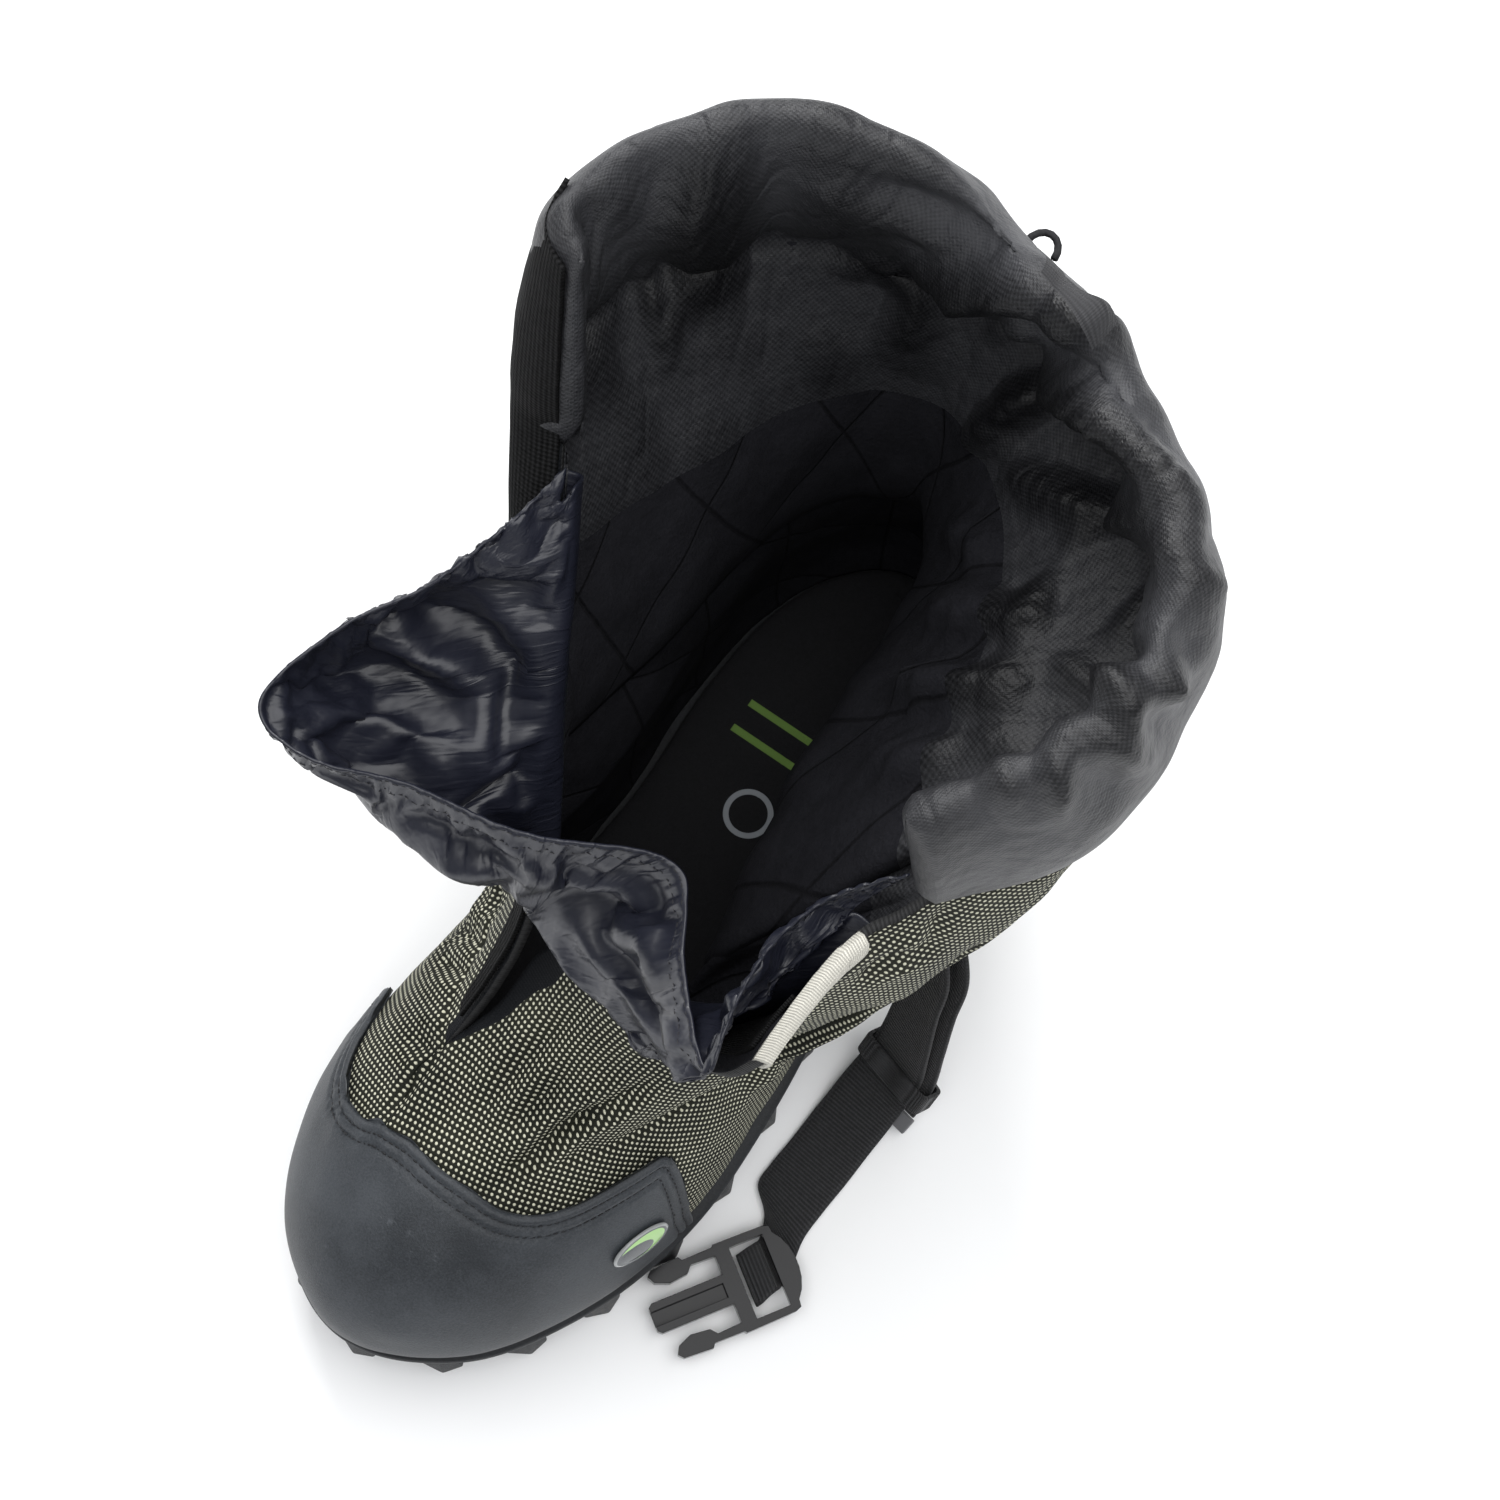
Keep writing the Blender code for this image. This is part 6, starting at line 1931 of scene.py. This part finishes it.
class OVERSHOE_OT_cap(bpy.types.Operator):
    """Makes the rubber toe cap with its rolled border and the domed badge"""

    bl_idname = "overshoe.cap"
    bl_label = "Toe cap"

    def execute(self, context):
        face, under, seams = cap_face()
        sewn = stitches("cap_stitches", seams, 2.6, 0.3, stitch_thread((0.006, 0.006, 0.007)))
        settle(sewn, "cap_rubber")
        whole = np.concatenate([under[:1], face, under[-1:]])
        dark, pale = (0.018, 0.021, 0.025), (0.054, 0.060, 0.068)
        finish = rubber("cap_rubber", dark, pale, gloss=0.42, grain=0.7)
        settle(make_sheet("toe_cap_rubber", whole, finish), "cap_rubber", "toe_cap")
        settle(self.badge(), "badge_plastic", "badge")
        return {"FINISHED"}

    def badge(self):
        """The domed oval on the cap's outer ear."""
        face = cap_grid(CAP_GAP + CAP_THICK + GAP)
        columns = cap_columns()
        middle = float(np.interp(BADGE_PLACE[0], columns, np.arange(len(columns))))

        def on_cap(across, up):
            column, row = middle + across, BADGE_PLACE[1] + up
            c, r = int(column), int(row)
            a, b = column - c, row - r
            low = (1 - a) * face[r, c] + a * face[r, c + 1]
            high = (1 - a) * face[r + 1, c] + a * face[r + 1, c + 1]
            return (1 - b) * low + b * high

        step_across = on_cap(BADGE_STEP, 0) - on_cap(-BADGE_STEP, 0)
        normal = unit(np.cross(step_across, on_cap(0, BADGE_STEP) - on_cap(0, -BADGE_STEP)))
        normal = normal if normal[0] > 0 else -normal
        along = unit(step_across)
        over = np.cross(normal, along)
        angle = np.linspace(0, 2 * math.pi, BADGE_POINTS, endpoint=False)
        rings, places = [], []
        for share, height in BADGE_DOME:
            u, v = share * np.cos(angle), share * np.sin(angle)
            reach = 0.5 * BADGE_SIZE[0] * u[:, None] * along + 0.5 * BADGE_SIZE[1] * v[:, None] * over
            rings.append(on_cap(0, 0) + reach + (BADGE_SIZE[2] * height + GAP * 0.5) * normal)
            places.append(np.column_stack([u, v, np.zeros(len(u))]))
        return sections_mesh("badge_dome", rings, badge_gloss(), np.concatenate(places))


# Side of the sole from its tread up: distance out from its outline, height above the tread
# line (or below the top where negative)
SOLE_SIDE = (
    (-5, 7),
    (-3.4, 7),
    (-1.4, 7.8),
    (-0.4, 9.4),
    (0.4, 12),
    (1, -12),
    (1.2, -9),
    (0.1, -8.2),
    (-0.2, -7.4),
    (0.2, -6.6),
    (1.7, -5.8),
    (2.3, -4.8),
    (2.6, -3.4),
    (2.5, -2),
    (1.9, -1),
    (0.6, -0.8),
    (-0.4, -0.2),
    (-3, 0),
)


# An edge lug's tread and its root, out from the sole's outline and along it
LUG_FOOT = ((-13, -6.5), (-13, 6.5), (1.5, 7.5), (LUG_REACH, 0.8), (1.5, -7.5))
LUG_HEAD = ((-12, -4.0), (-12, 4.0), (0.1, 4.0), (1.3, 0.6), (0.1, -4.0))

# Rows of blocks across the tread, two and one in turn: their place across, width and length
BLOCK_ROWS = (26.0, 0.0, -26.0, -104.0, -130.0, -156.0, -182.0, -208.0, -234.0)
BLOCKS = (((-16.0, 20, 18), (18.0, 20, 18)), ((1.0, 26, 19),))
BLOCK_ENDS = ((-0.5, -0.25), (0, -0.5), (0.5, -0.25), (0.5, 0.25), (0, 0.5), (-0.5, 0.25))


class OVERSHOE_OT_sole(bpy.types.Operator):
    """Makes the rubber cupsole with its bead, side band and claw lugs"""

    bl_idname = "overshoe.sole"
    bl_label = "Sole"

    def execute(self, context):
        dark, pale = (0.012, 0.013, 0.015), (0.026, 0.028, 0.032)
        finish = rubber("sole_rubber", dark, pale, gloss=0.5, grain=0.9, dust=0.5)
        ring = sole_ring(SOLE_POINTS)
        normal = ring_normals(ring)
        tread, top = tread_height(ring[:, 1]), top_height(ring[:, 1])
        rings = []
        for out, height in SOLE_SIDE:
            level = top + height if height <= 0 else tread + height
            rings.append(np.column_stack([ring + out * normal, level]))
        spine = ring * SOLE_SPINE[0] + SOLE_SPINE[1]
        bottom, middle = (np.column_stack([spine, rings[end][:, 2]]) for end in (0, -1))
        body = sections_mesh("sole_body", [bottom, *rings, middle], finish, caps=False)
        settle(merged(body), "sole_rubber", "outsole")
        settle(self.lugs(finish), "sole_rubber")
        return {"FINISHED"}

    def lugs(self, finish):
        """All the lugs, in one piece with rounded edges."""
        points, faces = [], []
        ring = sole_ring(LUG_POINTS)
        for low, high, low_z, high_z in lug_plans(ring, ring_normals(ring)):
            start, count = len(points), len(low)
            points += [(*p, low_z) for p in low] + [(*p, high_z) for p in high]
            faces += [tuple(start + i for i in range(count))]
            faces += [tuple(start + count + i for i in range(count))]
            for i in range(count):
                j = (i + 1) % count
                faces.append((start + i, start + j, start + count + j, start + count + i))
        made = turned_outwards(make_mesh("sole_lugs", points, faces, finish))
        return softened(made, width=0.8, angle=20.0)


def lug_plans(ring, normal):
    """Plan shapes and heights of the claw lugs round the edge and the blocks between them."""
    closed = np.concatenate([ring, ring[:1]])
    along = lengths(closed)
    count = round(along[-1] / LUG_PITCH)
    for k in range(count):
        at = (k + 0.5) * along[-1] / count
        i = int(np.searchsorted(along, at)) - 1
        share = (at - along[i]) / (along[i + 1] - along[i])
        place = closed[i] + share * (closed[i + 1] - closed[i])
        outward = normal[i]
        side = np.array([-outward[1], outward[0]])
        tread, top = float(tread_height(place[1])[0]), float(top_height(place[1])[0])
        shapes = [
            [place + a * outward + b * side for a, b in shape] for shape in (LUG_FOOT, LUG_HEAD)
        ]
        yield *shapes, tread, top - WELT_DROP - LUG_TOP
    for row, y in enumerate(BLOCK_ROWS):
        tread = float(tread_height(y)[0])
        for x, width, length in BLOCKS[row % 2]:
            low, high = (
                [np.array([x + size * a * width, y + size * b * length]) for a, b in BLOCK_ENDS]
                for size in (1.0, 1.15)
            )
            yield low, high, tread, tread + LUG_HEIGHT + LUG_ROOT


# The footbed's rounded edge, in from its outline and up from the sole, and its inner rings
FOOTBED_EDGE = ((0.4, 0.0), (0.0, 0.8), (0.0, 3.0), (0.6, 3.8), (3.0, 4.2), (9.0, 4.0))
FOOTBED_RINGS = (0.7, 0.4, 0.12, 0.02)
FOOTBED_SPINE = ((0, 0.9), (1, -10))


class OVERSHOE_OT_footbed(bpy.types.Operator):
    """Makes the felt footbed with its plain print"""

    bl_idname = "overshoe.footbed"
    bl_label = "Footbed"

    def execute(self, context):
        ring = sole_ring(FOOTBED_POINTS)
        lean = ring_normals(ring)
        bottom = top_height(ring[:, 1]) + GAP
        rings = []
        for inset, up in FOOTBED_EDGE:
            edge = ring - (INSOLE_INSET + inset) * lean
            rings.append(np.column_stack([edge, bottom + up]))
        middle = ring * FOOTBED_SPINE[0] + FOOTBED_SPINE[1]
        for share in FOOTBED_RINGS:
            across = middle + share * (edge - middle)
            rings.append(np.column_stack([across, top_height(across[:, 1]) + GAP + up]))
        bed = sections_mesh("footbed", rings, footbed_felt(), rings)
        settle(bed, "footbed_felt", "insole")
        return {"FINISHED"}


TAPE_ACROSS, TAPE_DOWN = 6, 4  # steps of a tape's cloth for each of its rows' own
TAPE_WAVES = ((0.35, 14.0, 8.0, 1.0),)


def strip_between(name, side, rows, reach, depth, material):
    """A tape laid on a face of the shell beside the slit, with its own coordinates."""
    face = np.empty((*np.shape(reach), 3))
    lean = np.empty_like(face)
    for i, row in enumerate(rows):
        for j, distance in enumerate(reach[i]):
            point, normal, _ = near_slit(row, distance, side)
            face[i, j], lean[i, j] = point + normal * depth, normal
    face, lean = (refine(each, TAPE_DOWN, TAPE_ACROSS) for each in (face, lean))
    face = face + unit(lean) * waves(face, TAPE_WAVES)[..., None]
    along = lengths(face[:, face.shape[1] // 2])[:, None]
    return make_sheet(name, face, material, weave_marks(face, [lengths(row) for row in face], along))


# Section of the pale tape round the flap's edge: out from its face, and up from the edge
TAB_SECTION = (
    (-WALL - 0.2, -3.0), (-WALL - 0.6, 0.2), (-WALL * 0.5, TAPE_THICK + 0.6),
    (GAP + 1.0, TAPE_THICK), (GAP + TAPE_THICK + 0.3, -1.5), (GAP + TAPE_THICK + 0.4, -5.0),
    (GAP + TAPE_THICK, -TAB_WIDTH + 1.0), (GAP + 0.6, -TAB_WIDTH), (GAP, -TAB_WIDTH + 1.0),
    (GAP, -2.0), (-0.4, -0.2), (-WALL + 0.3, -0.4),
)


class OVERSHOE_OT_tapes(bpy.types.Operator):
    """Makes the hook tape, the loop tape inside the flap and the pale edge tape"""

    bl_idname = "overshoe.tapes"
    bl_label = "Tapes"

    def execute(self, context):
        rows = np.concatenate([[slit_row + HOOK_FOOT], np.arange(slit_row + 1, len(medial_grid))])
        width = np.interp(rows - slit_row, *HOOK_WIDTHS)
        reach = tape_reach(medial_grid, rows, HOOK_START, width)
        finish = hook_cloth("hook_tape", size=1.6, height=0.9)
        hook = strip_between("hook_tape", "medial", rows, reach, TAPE_GAP + TAPE_THICK, finish)
        settle(walled(hook, TAPE_THICK), "hook_and_loop", "hook_strip")
        rows = np.concatenate([np.arange(slit_row + LOOP_FOOT, last_row), [last_row - LOOP_CLEAR]])
        reach = tape_reach(grid[:, ::-1], rows, LOOP_START, np.full(len(rows), TAPE_WIDTH))
        finish = hook_cloth("loop_tape", size=0.9, height=0.8)
        depth = -WALL - TAPE_GAP - LOOP_CLEAR
        loop = strip_between("loop_tape", "lateral", rows, reach, depth, finish)
        settle(walled(loop, TAPE_THICK), "hook_and_loop", "loop_strip")
        settle(self.tab(), "pale_tape", "pull_tab")
        return {"FINISHED"}

    def tab(self):
        """Pale tape bound over the flap's top edge."""
        sections, marks = [], []
        for distance in np.linspace(0.5, TAB_LENGTH, TAB_SECTIONS):
            point = near_slit(last_row, distance, "lateral")[0]
            onward = near_slit(last_row, distance + 1, "lateral")[0] - point
            up = unit(point - near_slit(last_row - 1, distance, "lateral")[0])
            out = unit(np.cross(onward, up))
            edge = min(distance, TAB_LENGTH - distance)
            full = 0.6 + 0.4 * min(1.0, max(edge, 0.0) / TAB_ROUND) ** 0.5
            sections.append(
                [point + out * a + up * b * (full if b < 0 else 1.0) for a, b in TAB_SECTION]
            )
            marks += [(a + b, distance, 0.0) for a, b in TAB_SECTION]
        finish = tape_cloth("pale_tape", (0.90, 0.87, 0.77), rib=0.9, gloss=0.75)
        return sections_mesh("edge_tape", sections, finish, marks)


# Section of webbing: shares of half its width and of its thickness
WEBBING_SECTION = (
    (-1.0, -0.25), (-0.97, -0.42), (-0.6, -0.5), (0.0, -0.5), (0.6, -0.5), (0.97, -0.42),
    (1.0, -0.25), (1.0, 0.25), (0.97, 0.42), (0.6, 0.5), (0.0, 0.5), (-0.6, 0.5), (-0.97, 0.42),
    (-1.0, 0.25),
)


def webbing(name, path, wide, material):
    """Webbing along a path with rounded edges and its own coordinates along it."""
    along = unit(np.gradient(path, axis=0))
    front = unit(np.cross(wide, along)) * WEBBING_THICK
    run = lengths(path)
    sections = np.stack([path + a * wide + b * front for a, b in WEBBING_SECTION], axis=1)
    half = WEBBING_WIDTH / 2
    marks = [(a * half + half, distance, b) for distance in run for a, b in WEBBING_SECTION]
    return sections_mesh(name, sections, material, marks)


WEBBING_STEP = 1.2  # between its sections

# The two lines of a box with a cross: shares of its length and of half its width
BOX_LINES = ((0, -1), (0, 1), (1, 1), (1, -1), (0, -1), (1, 1)), ((0, 1), (1, -1))
BOX_POINTS = 30  # on each side
BOX_START, BOX_WIDTH = 3.0, 0.8  # from the webbing's end, and share of its width


def box_stitches(name, path, wide, size):
    """A stitched box with a cross over webbing's end, on both faces."""
    run = lengths(path)
    front = unit(np.cross(wide, unit(np.gradient(path, axis=0)))) * (WEBBING_THICK / 2 + 0.1)
    paths = []
    for corners in BOX_LINES:
        last = len(corners) - 1
        share = np.linspace(0, last, BOX_POINTS * last)
        along, aside = read_line(share, np.arange(last + 1), np.array(corners, float)).T
        spot, width, out = (
            read_line(BOX_START + size * along, run, each) for each in (path, wide, front)
        )
        line = spot + width * (BOX_WIDTH * aside)[:, None]
        paths += [line + out, line - out]
    return stitches(name, paths, 2.6, 0.28, stitch_thread((0.02, 0.02, 0.021)))


class OVERSHOE_OT_straps(bpy.types.Operator):
    """Makes the webbing straps, the keeper round them and the clip at the tip"""

    bl_idname = "overshoe.straps"
    bl_label = "Straps"

    def execute(self, context):
        cloth = webbing_cloth()
        points, wide = smooth_path(*strap_way(), WEBBING_STEP)
        settle(webbing("strap_webbing", points, wide, cloth), "webbing", "instep_strap")
        settle(box_stitches("strap_stitches", points, wide, size=18.0), "webbing")
        along, across, face = strap_frame(points, wide)
        aside, beneath = tail_offset(points[:, 2:])
        tail = points + across * aside - face * beneath
        first, last = (int(np.argmax(points[:, 1] < y)) for y in TAIL_SPAN)
        tail, wide, across_end = tail[first:last], wide[first:last], across[last - 1]
        settle(webbing("tail_webbing", tail, wide, cloth), "webbing", "strap_tail")
        way = unit(tail[-1] - tail[-2])
        side = across_end * TIP_SIZE[1] / 2
        thick = unit(np.cross(side, way)) * TIP_SIZE[2] / 2
        sections = [
            [tail[-1] + way * distance + a * side + b * thick for a, b in CORNERS]
            for distance in (TIP_CLEAR, TIP_CLEAR + TIP_SIZE[0])
        ]
        finish = moulded("tip_plastic", (0.10, 0.10, 0.105), gloss=0.45)
        tip = sections_mesh("tip_clip", sections, finish)
        settle(softened(tip, width=0.5, angle=35.0), "tip_plastic", "strap_tip")
        settle(self.keeper(points, along, across, face, cloth), "webbing", "strap_keeper")
        settle(self.medial(cloth), "webbing", "medial_strap")
        return {"FINISHED"}

    def keeper(self, points, along, across, face, finish):
        """A rounded loop of webbing."""
        i = int(np.argmax(points[:, 1] < KEEPER_Y))
        aside, beneath = tail_offset(points[i, 2])
        half, thick = WEBBING_WIDTH / 2 + KEEPER_CLEAR, WEBBING_THICK / 2 + KEEPER_SLACK
        low, high = np.array((-half, -thick - beneath)), np.array((half + aside, thick))
        angle = np.linspace(0, 2 * math.pi, KEEPER_POINTS, endpoint=False)
        middle, reach = (low + high) / 2, (high - low) / 2
        corner = np.column_stack([np.cos(angle), np.sin(angle)])
        square = np.sign(corner) * np.abs(corner) ** KEEPER_SQUARE
        sections, marks = [], []
        for end, rise in KEEPER_EDGE:
            spots = middle + square * (reach + KEEPER_THICK * rise)
            place = points[i] + along[i] * end * KEEPER_LENGTH
            sections.append(place + spots[:, :1] * across[i] + spots[:, 1:] * face[i])
            marks += [(end * KEEPER_LENGTH + 12, a * half * 0.6, 0.0) for a in angle]
        return sections_mesh("keeper_webbing", sections, finish, marks, caps=False)

    def medial(self, finish):
        """The short strap on the inner quarter."""
        points, wide = seam_run(SOCKET_SEAMS, "medial")
        side = socket_place(0, WEBBING_WIDTH / 2, 0) - socket_place(0, 0, 0)
        side = side if side @ wide[0] > 0 else -side
        points = np.array(points + [socket_place(u, 0, w) for u, w in SOCKET_RUN])
        wide = np.array(wide + [side] * len(SOCKET_RUN))
        points, wide = smooth_path(points, wide, WEBBING_STEP)
        settle(box_stitches("medial_stitches", points, wide, size=16.0), "webbing")
        return webbing("medial_webbing", points, wide, finish)


def webbing_cloth():
    """Heavy webbing: ribs across it, with two plain selvedges."""
    finish = Finish("webbing_cloth", sheen_weight=0.1)
    across, along, _ = finish.weave()
    rib = (along / RIB_PITCH).to_cell() * 2
    pick = ((across / 1.1) + (along / RIB_PITCH).math("FLOOR") * 0.5).to_cell() * 2
    edge = 1 - (across - WEBBING_WIDTH / 2).math("ABSOLUTE").between(10.6, 11.0)
    fleck = finish.noise(1.4, 3.0)
    tone = (1 - rib) * 0.6 + fleck * 0.5 - pick * 0.15
    color = finish.mix(tone.between(0.1, 1.0), (0.006, 0.006, 0.007), (0.036, 0.036, 0.039))
    relief = (1 - rib) * edge + pick * 0.25 + fleck * 0.2
    return finish.ends(color, 0.72 + fleck * 0.12, finish.bump(relief, 0.45))


def solid_copy(node, name, finish):
    """A copy of one of the part's solids in a finish of its own."""
    made = merged(added(name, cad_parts[node].data.copy()))
    made.data.materials.clear()
    made.data.materials.append(finish)
    made.data.shade_smooth()
    return made


def flattened(work):
    """Dissolves the edges between faces that lie in one plane."""
    flat = math.radians(2)
    bmesh.ops.dissolve_limit(work, angle_limit=flat, verts=work.verts, edges=work.edges)


def braided_cord():
    """Round braided cord."""
    finish = Finish("braided_cord", specular_ior_level=0.3)
    x, y, z = finish.split(finish.place())
    one = ((x + y) / BRAID_PITCH + (z / BRAID_PITCH)).math("SINE")
    two = ((x + y) / BRAID_PITCH - (z / BRAID_PITCH)).math("SINE")
    fleck = finish.noise(0.7, 2.0)
    color = finish.mix(fleck, (0.008, 0.008, 0.009), (0.030, 0.030, 0.033))
    return finish.ends(color, 0.7 + fleck * 0.1, finish.bump(one * two, 0.2))


class OVERSHOE_OT_buckles(bpy.types.Operator):
    """Gives the two halves of the buckle rounded moulded edges"""

    bl_idname = "overshoe.buckles"
    bl_label = "Buckles"

    def execute(self, context):
        finish = moulded("buckle_plastic", (0.004, 0.004, 0.005), gloss=0.16)
        for node in ("male_buckle", "female_buckle"):
            made = solid_copy(node, f"{node}_moulding", finish)
            reworked(made, flattened)
            settle(softened(made, width=0.6, angle=25.0), "buckle_plastic", node)
        return {"FINISHED"}


class OVERSHOE_OT_loop(bpy.types.Operator):
    """Makes the small round cord loop at the collar's back"""

    bl_idname = "overshoe.loop"
    bl_label = "Cord loop"

    def execute(self, context):
        settle(solid_copy("cord_loop", "cord_loop_braid", braided_cord()), "cord", "cord_loop")
        return {"FINISHED"}


class OVERSHOE_PT_panel(bpy.types.Panel):
    """The overshoe's sizes and pieces in the 3D view's sidebar"""

    bl_idname = "OVERSHOE_PT_panel"
    bl_label = "Overshoe"
    bl_space_type = "VIEW_3D"
    bl_region_type = "UI"
    bl_category = "Overshoe"

    def draw(self, context):
        for group in (context.scene.overshoe_cloth, context.scene.overshoe_stage):
            for name in group.__annotations__:
                self.layout.prop(group, name)
        for step in STEPS:
            self.layout.operator(step.bl_idname)


STEPS = (
    OVERSHOE_OT_stage,
    OVERSHOE_OT_shell,
    OVERSHOE_OT_collar,
    OVERSHOE_OT_gusset,
    OVERSHOE_OT_cap,
    OVERSHOE_OT_sole,
    OVERSHOE_OT_footbed,
    OVERSHOE_OT_tapes,
    OVERSHOE_OT_straps,
    OVERSHOE_OT_buckles,
    OVERSHOE_OT_loop,
)
CLASSES = (OvershoeCloth, OvershoeStage, *STEPS, OVERSHOE_PT_panel)


def register():
    for each in CLASSES:
        bpy.utils.register_class(each)
    bpy.types.Scene.overshoe_cloth = bpy.props.PointerProperty(type=OvershoeCloth)
    bpy.types.Scene.overshoe_stage = bpy.props.PointerProperty(type=OvershoeStage)


def unregister():
    del bpy.types.Scene.overshoe_cloth
    del bpy.types.Scene.overshoe_stage
    for each in reversed(CLASSES):
        bpy.utils.unregister_class(each)


def main():
    register()
    for step in STEPS:
        family, name = step.bl_idname.split(".")
        getattr(getattr(bpy.ops, family), name)()


if __name__ == "__main__":
    main()
